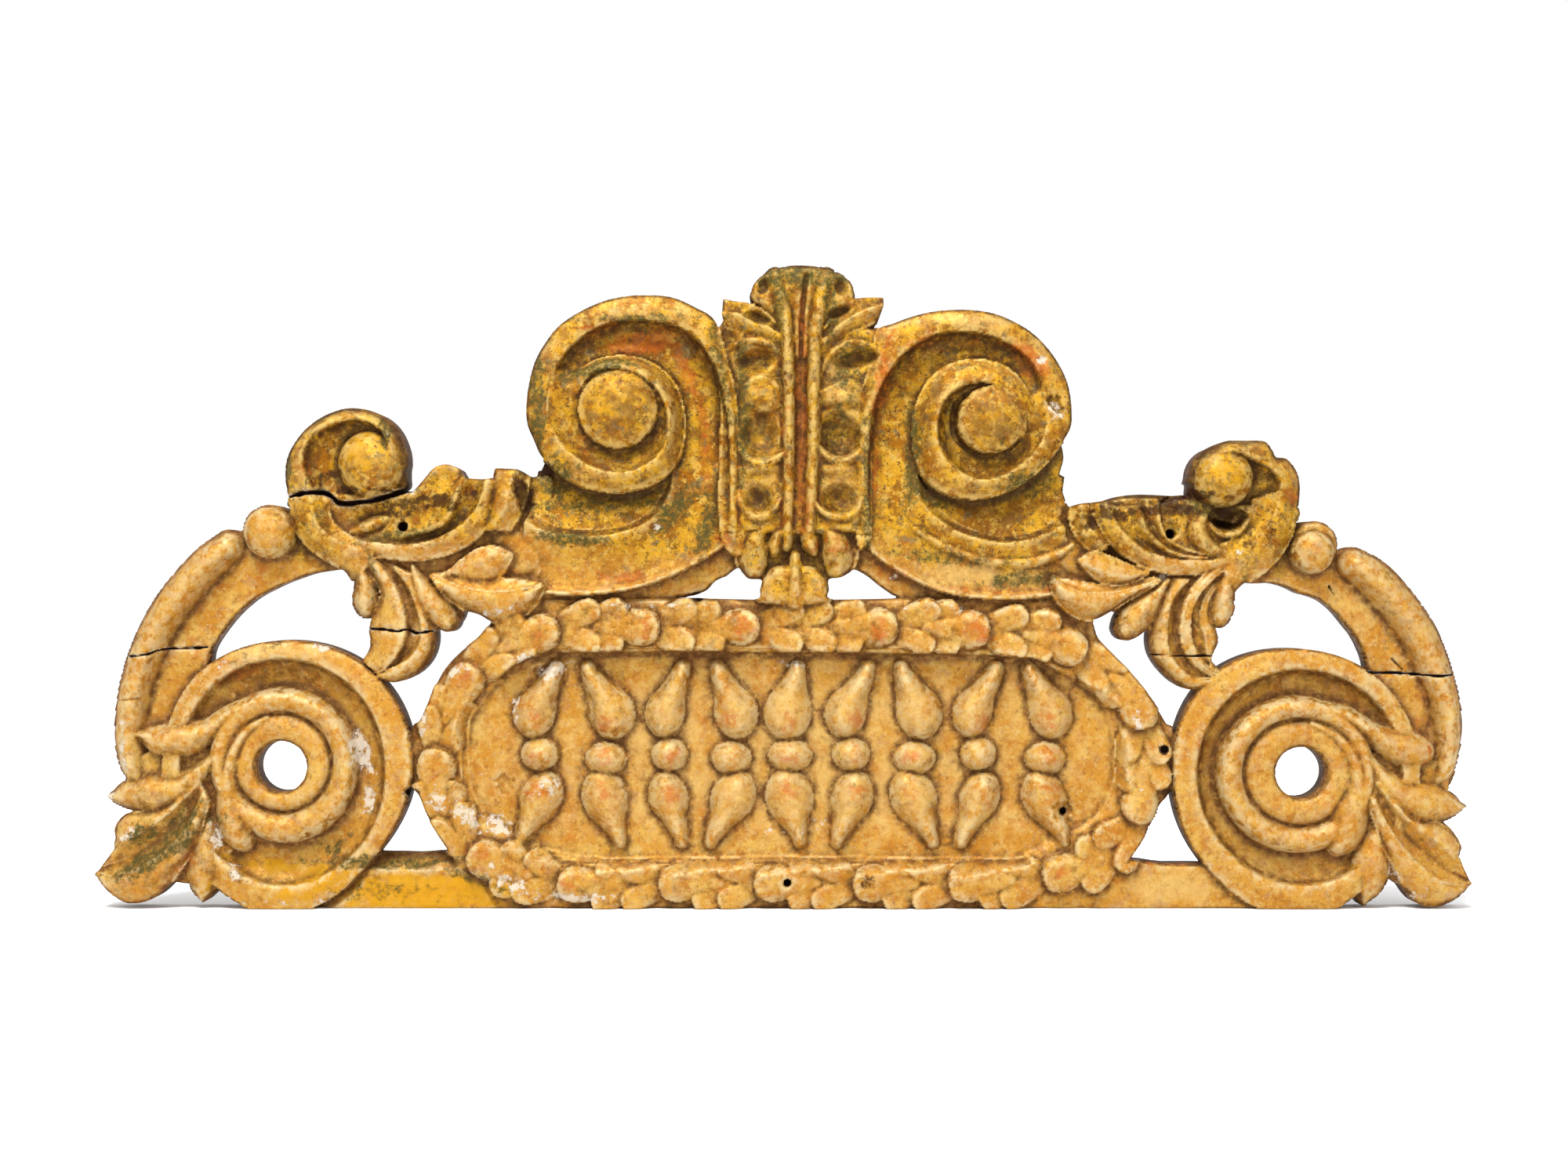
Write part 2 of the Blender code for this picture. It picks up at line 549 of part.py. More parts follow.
# Corner leaves below them: arrises and valleys that fan out from the scroll, as (x, z, height).
LEFT_CORNER = (
    ((-494, 86, 36), (-508, 79, 35), (-524, 76, 35), (-533, 75, 34), (-541, 66, 33), (-541, 56, 33)),
    ((-474, 102, 40), (-490, 84, 42), (-506, 71, 43), (-520, 62, 43), (-532, 56, 41), (-541, 48, 36)),
    ((-472, 96, 37), (-487, 74, 36), (-502, 58, 36), (-519, 46, 36), (-537, 37, 35), (-554, 31, 33)),
    ((-469, 92, 41), (-481, 66, 43), (-496, 48, 44), (-513, 36, 44), (-530, 28, 43), (-545, 26, 39), (-557,
                                                                                                      28,
                                                                                                      33)),
    ((-466, 84, 38), (-475, 56, 38), (-487, 34, 38), (-500, 18, 36), (-514, 7, 34), (-532, 4.5, 33), (-548,
                                                                                                      14, 32),
     (-557, 26, 31)),
)
RIGHT_CORNER = (
    ((486, 76, 36), (500, 70, 35), (514, 68, 35), (527, 61, 34), (534, 50, 33), (532, 41, 33)),
    ((467, 100, 40), (482, 80, 42), (497, 66, 43), (512, 56, 43), (524, 46, 41), (534, 36, 36)),
    ((465, 94, 37), (479, 72, 36), (493, 55, 36), (510, 41, 36), (526, 30, 35), (541, 22, 33)),
    ((462, 88, 41), (474, 64, 43), (487, 46, 44), (502, 31, 44), (517, 21, 43), (531, 18, 40), (542, 20, 33)),
    ((462, 78, 38), (470, 54, 38), (480, 34, 38), (489, 17, 36), (500, 4, 34), (516, 2, 33), (531, 8, 32),
     (541, 18, 31)),
)


def fingers(relief):
    relief.flat(((-500, 131), (-518, 124), (-531, 112), (-533, 100), (-528, 92), (-526, 80), (-532, 70),
                 (-537, 55), (-537, 45), (-545, 35),
                 (-522, 25), (-500, 22), (-482, 20), (-466, 30), (-440, 60), (-440, 125), (-470, 128)), 31)
    relief.flat(((495, 124), (515, 118), (524, 105), (525, 95), (521, 85), (519, 72), (530, 58), (530, 42),
                 (534, 34), (520, 20), (500, 12),
                 (480, 22), (466, 30), (440, 60), (440, 118), (470, 124)), 31)
    for lines in (LEFT_CORNER, RIGHT_CORNER):
        relief.loft(*lines, sags=(-2.0, 0.5, 0.5, -3.0))
    for points in FINGERS:
        relief.stroke(points, "soft", 12)


# Leaf clusters between the scrolls and the volutes.
LEFT_CLUSTER = ((-401, 327), (-398, 310), (-392, 295), (-375, 281), (-357, 270), (-350, 262), (-346, 250),
                (-335, 230), (-331, 205), (-328, 192), (-318, 187), (-304, 194), (-294, 206), (-290, 220),
                (-268, 228), (-262, 238), (-252, 237), (-240, 236), (-205, 262), (-200, 300), (-192, 342),
                (-207, 345), (-235, 344), (-258, 340), (-275, 344), (-295, 331), (-320, 335), (-360, 330))
RIGHT_CLUSTER = ((213, 335), (221, 321), (228, 323), (245, 325), (259, 329), (277, 331), (304, 330), (316,
                                                                                                      330),
                 (330, 322), (370, 320), (401, 312), (398, 290), (380, 268), (358, 262), (352, 250),
                 (341, 232), (332, 215), (330, 200), (327, 188), (313, 182), (300, 192), (291, 208),
                 (287, 220), (268, 228), (263, 236), (245, 240), (212, 256), (205, 290))
# Each group of lines is lofted from one to the next; the sags go with the surfaces between them.
LEAVES = (
    # Left hanging leaf: the half before the rib, then the half behind it.
    ((-3.0,), ((-340, 273, 39), (-332, 262, 38), (-328, 252, 37), (-330, 243, 36), (-335, 234, 35), (-338,
                                                                                                     223, 34),
               (-337, 211, 34), (-340, 203, 34), (-344, 198, 34)),
     ((-338, 283, 42), (-326, 270, 44), (-317, 256, 45), (-311.5, 242, 46), (-309, 228, 46), (-310, 216, 45),
      (-315, 205, 44), (-322, 196, 42), (-332, 189, 37))),
    ((3.5, -2.5), ((-340, 282, 38), (-328, 269, 37), (-319, 255, 36), (-314, 241, 35), (-312, 227, 35),
                   (-313, 215, 34), (-318, 203, 34), (-326, 193, 34), (-335, 189, 34)),
     ((-316, 272, 41), (-305, 258, 41), (-300, 245, 41), (-296, 232, 41), (-294, 220, 42), (-297, 208, 43),
      (-305, 198, 43), (-317, 192, 42), (-331, 188, 36)),
     ((-300, 264, 36), (-296, 250, 35), (-291, 238, 34), (-287, 226, 33), (-286, 214, 33), (-289, 202, 33),
      (-296, 192, 33), (-306, 185, 33), (-319, 181, 33), (-333, 184, 33))),
    # Left low lobe and the small leaf over it.
    ((0.0, -5.0), ((-272, 268, 39), (-250, 264, 40), (-232, 263, 40), (-215, 261, 40), (-201, 259, 38)),
     ((-288, 266, 42), (-266, 257, 44), (-248, 253, 45), (-230, 252.5, 45), (-215, 254, 44), (-200.5, 257.5,
                                                                                              39)),
     ((-278, 252, 37), (-264, 240, 35), (-250, 235, 34), (-240, 229.5, 34), (-228, 229, 34), (-214, 235, 34),
      (-205, 243, 34), (-199.5, 255, 35))),
    ((-2.0, -2.0), ((-274, 268.5, 40), (-262, 279, 42), (-250, 286.5, 42), (-237, 288, 42), (-225, 283, 39)),
     ((-274, 268, 41), (-258, 273, 47), (-244, 277, 48), (-232, 281, 45), (-224.5, 282, 40)),
     ((-273, 267, 39), (-258, 262, 40), (-244, 261, 40), (-233, 266, 40), (-224.5, 280, 39))),
    # Left sweeping leaf: lower edge, its ridge, and the ridge and back of the round lobe.
    ((-1.5, 8.0, 5.0), ((-352, 283, 37), (-335, 282, 40), (-318, 280, 42), (-300, 279, 43), (-282, 281.5, 43),
                        (-264, 288, 43), (-251, 297, 43), (-243, 308, 43), (-239, 320, 43), (-236, 338, 42)),
     ((-354, 292, 41), (-335, 291, 45), (-315, 289, 47), (-297, 290, 48), (-280, 295, 49), (-265, 303, 50),
      (-254, 313, 50), (-247, 325, 50), (-243, 342, 48)),
     ((-312, 297, 42), (-299, 300, 45), (-287, 303.5, 48), (-276, 309, 50), (-270, 320, 51), (-267, 330, 52),
      (-262, 343, 50)),
     ((-318, 306, 40), (-312, 318, 41), (-303, 331, 43), (-293, 342, 45), (-285, 351, 45), (-275, 354, 44),
      (-266, 350, 45))),
    # Left broken lobe.
    ((-1.5, -1.0), ((-246, 303, 40), (-243, 320, 41), (-240, 335, 41), (-237, 351, 40)),
     ((-238, 304, 46), (-230, 318, 49), (-225, 335, 49), (-219, 350, 46)),
     ((-225, 303, 38), (-218, 315, 38), (-213, 330, 38), (-211, 345, 37))),
    # Left outer band of the bowl.
    ((-3.0, 0.0), ((-401.5, 329, 36), (-399, 312, 36), (-393, 297, 36), (-383, 286, 36), (-371, 278, 36),
                   (-358, 270, 36), (-352, 262, 36)),
     ((-384, 329, 47), (-380, 310, 47), (-371, 298, 47), (-358, 291, 46), (-345, 285, 45), (-336, 277, 43)),
     ((-372, 327, 38), (-369, 311, 38), (-361, 302, 40), (-348, 294, 42), (-334, 289, 43))),
    # Right hanging leaf.
    ((-2.0, 4.0, -2.5), ((342, 276, 41), (328, 266, 42), (319, 256, 42), (313, 243, 42), (310, 228, 42),
                         (311, 212, 41), (318, 199, 40), (327, 191, 38), (337, 186, 35)),
     ((345, 273, 40), (332, 262, 44), (323, 252, 45), (317, 240, 45), (315, 226, 45), (317, 212, 44),
      (323, 201, 42), (332, 192, 38), (342, 187, 35)),
     ((340, 262, 38), (332, 252, 38), (327, 241, 38), (326, 229, 39), (330, 217, 41), (331, 207, 40),
      (333, 199, 37), (340, 191, 34)),
     ((350, 262, 35), (338, 252, 35), (333, 243, 35), (333, 232, 35), (338, 222, 35), (339.5, 213, 34),
      (336, 205, 34), (334, 198, 34), (338, 191, 34), (346, 188, 33))),
    ((-2.5, 3.0), ((302, 262, 35), (296, 250, 34), (291, 238, 34), (287, 226, 33), (285.5, 214, 33), (288,
                                                                                                      202,
                                                                                                      33),
                   (296, 190, 33), (307, 180, 33), (320, 175, 33), (338, 180, 33)),
     ((314, 262, 42), (304, 252, 43), (299, 240, 43), (297, 226, 43), (297, 212, 43), (301, 200, 43),
      (309, 190, 42), (320, 183, 40), (338, 184, 35)),
     ((330, 266, 38), (319, 254, 36), (313, 242, 35), (311, 228, 34), (312, 214, 34), (317, 201, 34),
      (326, 192, 34), (336, 188, 34))),
    # Right low lobe and the small leaf over it.
    ((0.0, -5.0), ((288, 264, 40), (265, 259, 40), (245, 258, 40), (225, 261, 40), (208, 264, 38)),
     ((292, 262, 42), (268, 254, 44), (247, 251, 45), (226, 253, 45), (208, 261, 39)),
     ((284, 257, 38), (266, 246, 35), (253, 237, 34), (240, 231, 34), (228, 232.5, 34), (217, 240, 34),
      (210, 249, 34), (206.5, 260, 35))),
    ((-1.5, -2.0), ((283, 269, 41), (268, 274, 42), (254, 280, 42), (240, 284, 42), (229, 278, 39)),
     ((283, 268.5, 42), (268, 267, 46), (254, 268, 48), (241, 272, 47), (230, 277, 40)),
     ((283, 268, 39), (270, 261.5, 40), (256, 259.5, 40), (243, 263, 40), (230, 276, 39))),
    # Right sweeping leaf: lower edge and three ridges, with a hollow panel between each two.
    ((-1.5, 6.0, 6.0), ((352, 270, 37), (335, 268, 40), (318, 267.5, 42), (300, 268.5, 43), (283, 272.5, 43),
                        (268, 280, 43), (256, 290, 43), (247, 302, 43), (241, 314, 43), (238, 323, 42)),
     ((354, 279, 41), (335, 277, 45), (318, 276, 47), (300, 278, 48), (284, 283, 49), (270, 291, 50),
      (259, 302, 50), (252, 314, 49), (249, 325, 46)),
     ((330, 280, 44), (312, 281, 47), (298, 286, 49), (287, 294, 50), (280, 303, 50), (276, 314, 49),
      (274, 326, 45)),
     ((338, 282, 43), (322, 284, 45), (309, 288, 46), (300, 294, 46), (294, 302, 45), (291, 312, 44),
      (291, 326, 41))),
    # Right broken lobe.
    ((-1.0, 0.0), ((222, 319, 36), (222, 310, 37), (225, 300, 38), (231, 292, 38), (240, 285, 38)),
     ((230, 322, 44), (231, 312, 46), (235, 303, 46), (241, 295, 45), (249, 288, 42)),
     ((241, 322, 41), (242, 313, 40), (246, 304, 40), (253, 295, 41))),
    # Right outer band of the bowl.
    ((-3.0, 0.0), ((403.5, 332, 36), (402, 318, 36), (399, 302, 36), (393, 288, 36), (384, 276, 36), (372,
                                                                                                      266,
                                                                                                      36),
                   (360, 260, 36), (352, 252, 36)),
     ((388, 332, 47), (385, 316, 47), (377, 301, 47), (366, 290, 46), (355, 282, 45), (344, 272, 42)),
     ((368, 326, 38), (367, 312, 38), (362, 302, 40), (350, 294, 42), (336, 286, 43))),
)
# Rounded lobes and curls: each point is (x, z, half width, height).
CURLS = (
    ((-345, 281, 3, 40), (-343, 268, 7, 43), (-341, 256, 9.5, 45), (-341.5, 246, 10.5, 45), (-341, 240, 8.5,
                                                                                             43)),
    ((-303, 274, 3, 41), (-298, 260, 8, 44), (-291, 248, 11, 46), (-283, 238, 11.5, 46), (-276, 230, 9, 43)),
    ((350, 278, 4, 40), (346, 262, 7, 43), (344, 250, 9, 45), (343, 240, 10, 45), (341, 233, 9, 43)),
    ((299, 262, 4, 41), (290, 251, 8, 44), (281, 240, 11.5, 46), (272, 230, 12.5, 46), (267, 224, 10, 43)),
    ((-352, 301, 4, 41), (-341, 304, 7, 43), (-331, 308, 8, 43), (-322, 312, 5, 41)),
    ((348, 284, 5, 43), (333, 288, 8, 47), (324, 297, 9.5, 49), (323, 306, 9, 48), (328, 313, 5, 45)),
)


def clusters(relief):
    relief.flat(LEFT_CLUSTER, 29)
    relief.flat(RIGHT_CLUSTER, 29)
    relief.pillow(((-399, 331), (-398, 310), (-385, 290), (-345, 287), (-312, 292), (-290, 302), (-292, 320),
                   (-303, 333), (-350, 331)), 40, 3, 6)
    relief.pillow(((401, 322), (398, 300), (375, 280), (345, 277), (318, 280), (300, 287), (290, 300), (291,
                                                                                                        320),
                   (312, 327), (350, 322)), 40, 3, 6)
    relief.pillow(((-350, 290), (-300, 288), (-262, 296), (-240, 312), (-205, 300), (-203, 272), (-230, 262),
                   (-262, 262), (-283, 252), (-300, 240), (-318, 250), (-335, 270)), 34, 6, 20)
    relief.pillow(((350, 282), (300, 276), (262, 288), (240, 306), (216, 300), (212, 276), (235, 262), (262,
                                                                                                        260),
                   (285, 250), (300, 236), (318, 248), (335, 266)), 34, 6, 20)
    for x, z, half_x, half_z, low, rise in ((-349, 312, 32, 19, 32, 9), (-303, 312, 14, 15, 37, 7),
                                            (302, 303, 11, 13, 36, 11), (349, 294, 14, 8, 36, 11)):
        relief.oval(x, z, half_x, half_z, low, carve=True, rise=rise)
    for sags, *lines in LEAVES:
        relief.loft(*lines, sags=sags)
    for points in CURLS:
        relief.stroke(points, "soft", 11)
    relief.oval(347, 312, 16, 10, 14, carve=True, rise=24)
    # The lip in front of the right bowl.
    relief.stroke(((331, 308, 2.5, 42), (338, 300.5, 3.5, 44), (347, 298.5, 4, 45), (356, 301, 4, 45),
                   (362, 309, 3, 43)), "soft", 7)


# Small scrolls over the clusters: edge, arris and the foot of the hollow round each ball.
LEFT_SMALL_SCROLL = (
    ((-401.5, 325, 36), (-404.5, 345, 37), (-402.5, 360, 38), (-396.5, 372, 38), (-388, 382.5, 38), (-376,
                                                                                                     391.5,
                                                                                                     38),
     (-362, 397.5, 38), (-350, 399, 38), (-337, 397, 39), (-325, 391.5, 41), (-315.5, 381, 43), (-309.5, 366,
                                                                                                 44),
                                                                                                 (-308.5,
                                                                                                  354, 43)),
    ((-381, 326, 46), (-387, 342, 46.5), (-391, 355, 47.5), (-389, 368, 48.5), (-382, 378, 49), (-372, 385,
                                                                                                 49.5),
     (-360, 389.5, 50), (-348, 391, 50.5), (-337, 389.5, 52), (-329, 385, 54), (-322, 377, 56), (-318, 366,
                                                                                                 56), (-317,
                                                                                                       352,
                                                                                                       54)),
    ((-364, 324, 37), (-368, 342, 34), (-369, 356, 34), (-365.5, 367, 35), (-358, 376, 36), (-348, 380.5, 38),
     (-338, 380.5, 41), (-329, 376, 47)),
)
RIGHT_SMALL_SCROLL = (
    ((316, 340, 42), (320, 352, 43), (328, 363, 43), (343, 372, 42), (360, 373, 40), (376, 372.5, 38), (382,
                                                                                                        366,
                                                                                                        38),
     (385.5, 360, 38), (394, 358.5, 38), (401.5, 349, 38), (404, 338, 38), (403.5, 322, 37)),
    ((325, 345, 50), (330, 355, 53), (338, 362, 54), (348, 365.5, 54), (358, 363.5, 53), (367, 358.5, 52),
     (377, 354, 50.5), (385, 347, 49.5), (389, 338, 48.5), (387, 327, 47), (381, 317, 45)),
    ((360, 352, 44), (365, 351, 38), (367.5, 342, 34), (365, 332, 33), (359, 325, 33)),
)


def small_scrolls(relief):
    relief.flat(((-398, 330), (-400, 350), (-385, 378), (-350, 392), (-320, 384), (-311, 360), (-309, 345),
                 (-313, 334), (-350, 326), (-380, 326)), 34)
    relief.stroke(((-366, 326, 3, 38), (-350, 325, 4, 41), (-333, 328, 5, 42), (-318, 334, 5, 41)), "soft", 8)
    relief.flat(((319, 325), (320, 345), (332, 362), (360, 369), (380, 356), (398, 350), (400, 325), (385,
                                                                                                      305),
                 (340, 310)), 33)
    edge, arris, foot = LEFT_SMALL_SCROLL
    relief.loft(edge, arris, sags=(-1.0,))
    relief.loft(arris[:10], foot, sags=(5.0,), shape="cavetto")
    relief.oval(-335.5, 355, 27, 27, BALL_TOP, rise=26)
    edge, arris, foot = RIGHT_SMALL_SCROLL
    relief.loft(edge, arris, sags=(-1.0,))
    relief.loft(arris[4:], foot, sags=(5.0,), shape="cavetto")
    relief.oval(342, 344.5, 25, 25, BALL_TOP, rise=26)


# Great volutes. Each line is a visible arris or foot, as (x, z, height): the rim's outer edge and its inner
# arris wind in to the button, and the hollow between runs down the stem and out along the foot.
LEFT_VOLUTE_PLATE = ((-212, 258), (-215, 300), (-209, 330), (-201, 352), (-190, 380), (-190, 440), (-130,
                                                                                                    470),
                     (-80, 460), (-48, 430), (-41, 380), (-41, 300), (-45, 272), (-62, 262), (-80, 250),
                     (-150, 243), (-200, 243))
RIGHT_VOLUTE_PLATE = ((70, 440), (100, 460), (150, 460), (190, 440), (205, 400), (217, 366), (215, 350),
                      (211, 337), (213, 328), (221, 319), (230, 310), (232, 280), (215, 246), (150, 243),
                      (84, 247.5), (66, 260), (48, 271), (50, 300), (50, 400))
RIM = 43.0
ARRIS = 48.0
LEFT_RIM = ((-43, 296, 36), (-43, 320, 38), (-43.5, 350, 40), (-44.5, 380, 41), (-47, 412, 42), (-54, 440,
                                                                                                 RIM),
            (-62, 468, RIM), (-78, 479, RIM), (-95, 486.5, RIM), (-112, 488.5, RIM), (-130, 488, RIM),
            (-150, 484, RIM), (-170, 475, RIM), (-186, 464, RIM), (-197, 450, RIM), (-205, 435, RIM),
            (-210, 415, RIM), (-211.5, 398, RIM), (-210.5, 386, RIM), (-206, 375, RIM))
LEFT_ARRIS = ((-49, 296, 38), (-48.5, 320, 42), (-48.5, 350, 44), (-49, 380, 45), (-54, 412, 46),
              (-63, 438, ARRIS), (-78, 458, ARRIS), (-98, 468, ARRIS), (-120, 470.5, ARRIS), (-145, 469,
                                                                                              ARRIS),
              (-165, 460, ARRIS), (-180, 446, ARRIS), (-191, 427, ARRIS), (-196, 405, ARRIS), (-195, 388, 49),
              (-188, 374, 50))
LEFT_WHORL_EDGE = ((-205, 435, RIM), (-210, 415, RIM), (-211.5, 398, RIM), (-210.5, 386, RIM), (-206, 375,
                                                                                                RIM), (-200,
                                                                                                       362,
                                                                                                       44),
                                                                                                       (-190,
                                                                                                        351,
                                                                                                        44),
                   (-175, 341, 45), (-160, 335.5, 45), (-142, 333, 45), (-125, 335, 45), (-110, 340.5, 44),
                   (-98, 349.5, 42), (-90.5, 362, 38), (-87, 380, 36), (-88, 398, 36), (-93, 415, 37),
                   (-103, 428, 38), (-118, 437, 39), (-137, 440, 40), (-155, 437, 41), (-170, 428, 43),
                   (-180, 414, 45))
LEFT_WHORL_ARRIS = ((-191, 427, ARRIS), (-196, 405, ARRIS), (-195, 388, 49), (-188, 374, 50), (-177, 362,
                                                                                               52), (-163,
                                                                                                     352, 54),
                    (-148, 347, 55), (-134, 346, 55), (-120, 350, 55), (-108, 358, 55), (-100, 371, 55),
                    (-97.5, 386, 55), (-100, 402, 55), (-108, 416, 54), (-121, 426.5, 53), (-137, 431.5, 52),
                    (-152, 430.5, 51), (-164, 424, 50), (-171.5, 412, 50))
LEFT_BUTTON = ((-166, 418, 48), (-172, 402, 47), (-170, 386, 44), (-160, 373, 42), (-147, 367, 41), (-132,
                                                                                                     367,
                                                                                                     41),
                                                                                                     (-119,
                                                                                                      373,
                                                                                                      42),
               (-110, 384, 44), (-107, 398, 48), (-110, 412, 50), (-120, 423, 51), (-137, 428, 51),
               (-152, 426, 50), (-164, 416, 49))
LEFT_FOOT = ((-213, 255, 33, 8), (-190, 252, 36, 9), (-170, 251.5, 37, 9), (-150, 253, 37, 9),
             (-130, 256, 37, 9), (-110, 262, 37, 9), (-92, 269, 37, 9), (-76, 277.5, 37, 8), (-62, 286, 37,
                                                                                              7),
             (-53, 295, 38, 6), (-48.5, 320, 42, 7), (-48.5, 350, 44, 8), (-49, 380, 45, 10),
             (-54, 412, 46, 13), (-63, 438, ARRIS, 15), (-78, 458, ARRIS, 15), (-98, 468, ARRIS, 15),
             (-120, 470.5, ARRIS, 15), (-145, 469, ARRIS, 14), (-165, 460, ARRIS, 13), (-180, 446, ARRIS, 11),
             (-191, 427, ARRIS, 8), (-196, 405, ARRIS, 6), (-195, 388, 49, 5), (-188, 374, 50, 4.5),
             (-177, 362, 52, 4))
LEFT_HOLLOW_EDGE = ((-213, 308, 38), (-200, 301, 39), (-185, 298, 39.5), (-168, 296.5, 40), (-148, 297, 40),
                    (-130, 301, 39), (-115, 308, 38), (-104, 319, 36), (-97, 333, 34), (-95, 350, 33),
                    (-92, 368, 33), (-91, 385, 34), (-92, 400, 35), (-96, 413, 36), (-105, 425, 37),
                    (-119, 433, 38.5), (-137, 436, 40), (-153, 433, 42), (-166, 425, 44), (-172, 412, 45),
                    (-172, 400, 46), (-170, 386, 44), (-160, 373, 42))
LEFT_RECESS_TOP = ((-204, 350, 23), (-188, 346, 23), (-165, 336, 23), (-140, 333, 23), (-115, 338, 23),
                   (-97, 348, 26))
LEFT_RECESS_FOOT = ((-209, 314, 31), (-190, 304.5, 33), (-168, 301.5, 33.5), (-148, 302, 33.5), (-130, 306,
                                                                                                 33),
                    (-117, 314, 32), (-108, 324, 30), (-102, 336, 28))

RIGHT_RIM = ((55, 296, 36), (52, 320, 38), (51, 350, 40), (52, 380, 41), (55, 405, 42), (60, 425, RIM),
             (66, 445, RIM), (68, 461, RIM), (80, 466, RIM), (95, 471.5, RIM), (112, 475.5, RIM), (130, 477,
                                                                                                   RIM),
             (145, 476.5, RIM), (160, 474, RIM), (175, 468, RIM), (190, 459, RIM), (203, 446, RIM),
             (213, 431, RIM), (218.5, 418, RIM), (221, 405, RIM), (221.5, 395, RIM), (221, 385, RIM),
             (216, 375, RIM))
RIGHT_ARRIS = ((61, 296, 38), (59, 320, 42), (58, 345, 44), (59, 370, 45), (62, 398, 46), (70, 420, ARRIS),
               (82, 438, ARRIS), (95, 450, ARRIS), (110, 458, ARRIS), (130, 462, ARRIS), (150, 460.5, ARRIS),
               (170, 453, ARRIS), (185, 443, ARRIS), (195, 431, ARRIS), (200, 416, ARRIS), (202, 400, ARRIS),
               (203, 388, 49), (200, 374, 51))
RIGHT_WHORL_EDGE = ((218.5, 418, RIM), (221, 405, RIM), (221.5, 395, RIM), (221, 385, RIM), (216, 375, RIM),
                    (208, 364, 44), (198, 352, 45),
                    (185, 341.5, 45), (170, 333.5, 45), (155, 329, 45), (140, 328, 45), (125, 331, 45),
                    (112, 337.5, 44), (103, 348, 42), (98, 362, 38), (96.5, 380, 37), (98.5, 398, 37),
                    (105, 415, 38), (116, 428, 39), (132, 435.5, 40), (150, 437, 41), (166, 433, 43),
                    (178, 424, 44), (186, 412, 46), (189, 400, 47))
RIGHT_WHORL_ARRIS = ((200, 416, ARRIS), (202, 400, ARRIS), (203, 388, 49), (200, 374, 51), (192, 362, 53),
                     (180, 351, 54),
                     (165, 343, 55), (150, 340, 55), (137, 344, 55), (125, 352, 55), (117, 363, 55), (113,
                                                                                                      377,
                                                                                                      55),
                     (114, 392, 55), (119, 405, 54), (129, 415, 53), (143, 420, 52), (158, 419.5, 51),
                     (170, 412, 51), (178, 401, 51))
RIGHT_BUTTON = ((186, 398, 49), (187, 386, 49), (182, 372, 45), (172, 363, 42), (158, 359, 41), (144, 361,
                                                                                                 40), (132,
                                                                                                       368,
                                                                                                       40),
                (125, 379, 40), (125, 393, 41), (131, 405, 43), (142, 413, 45), (155, 415, 48), (168, 408,
                                                                                                 50))
RIGHT_FOOT = ((222, 256, 33, 8), (205, 251, 35, 8), (190, 249, 36, 8), (165, 248, 37, 8), (140, 250, 37, 8),
              (120, 254, 37, 8), (100, 262, 37, 8), (82, 272, 37, 8), (68, 282, 37, 7), (61, 292, 38, 6),
              (59, 320, 42, 7), (58, 345, 44, 8), (59, 370, 45, 10), (62, 398, 46, 12), (70, 420, ARRIS, 15),
              (82, 438, ARRIS, 15), (95, 450, ARRIS, 15), (110, 458, ARRIS, 15), (130, 462, ARRIS, 14),
              (150, 460.5, ARRIS, 13), (170, 453, ARRIS, 12), (185, 443, ARRIS, 10), (195, 431, ARRIS, 8),
              (200, 416, ARRIS, 6), (202, 400, ARRIS, 5), (203, 388, 49, 4.5), (200, 374, 51, 4))
RIGHT_HOLLOW_EDGE = ((216, 305, 38), (200, 297, 39), (185, 292.5, 40), (165, 291, 40), (145, 295, 39.5),
                     (127, 302, 38), (112, 313, 36), (101, 328, 34), (99, 345, 33), (99, 362, 33), (100, 380,
                                                                                                    34),
                     (102, 397, 35), (109, 412, 36), (119, 424.5, 37), (134, 431, 38.5), (150, 432.5, 40),
                     (164, 429, 42), (175, 420, 44), (182, 409, 46), (185, 398, 47), (186, 386, 48),
                     (182, 373, 45))
RIGHT_RECESS_TOP = ((218, 345, 23), (200, 352, 23), (185, 342, 23), (170, 334, 23), (155, 330, 23), (140,
                                                                                                     329, 23),
                    (125, 332, 24), (110, 339, 26))
RIGHT_RECESS_FOOT = ((212, 310, 31), (200, 303, 33), (185, 298, 33.5), (165, 296.5, 33.5), (147, 300, 33),
                     (131, 307, 32), (118, 317, 30), (108, 330, 28))


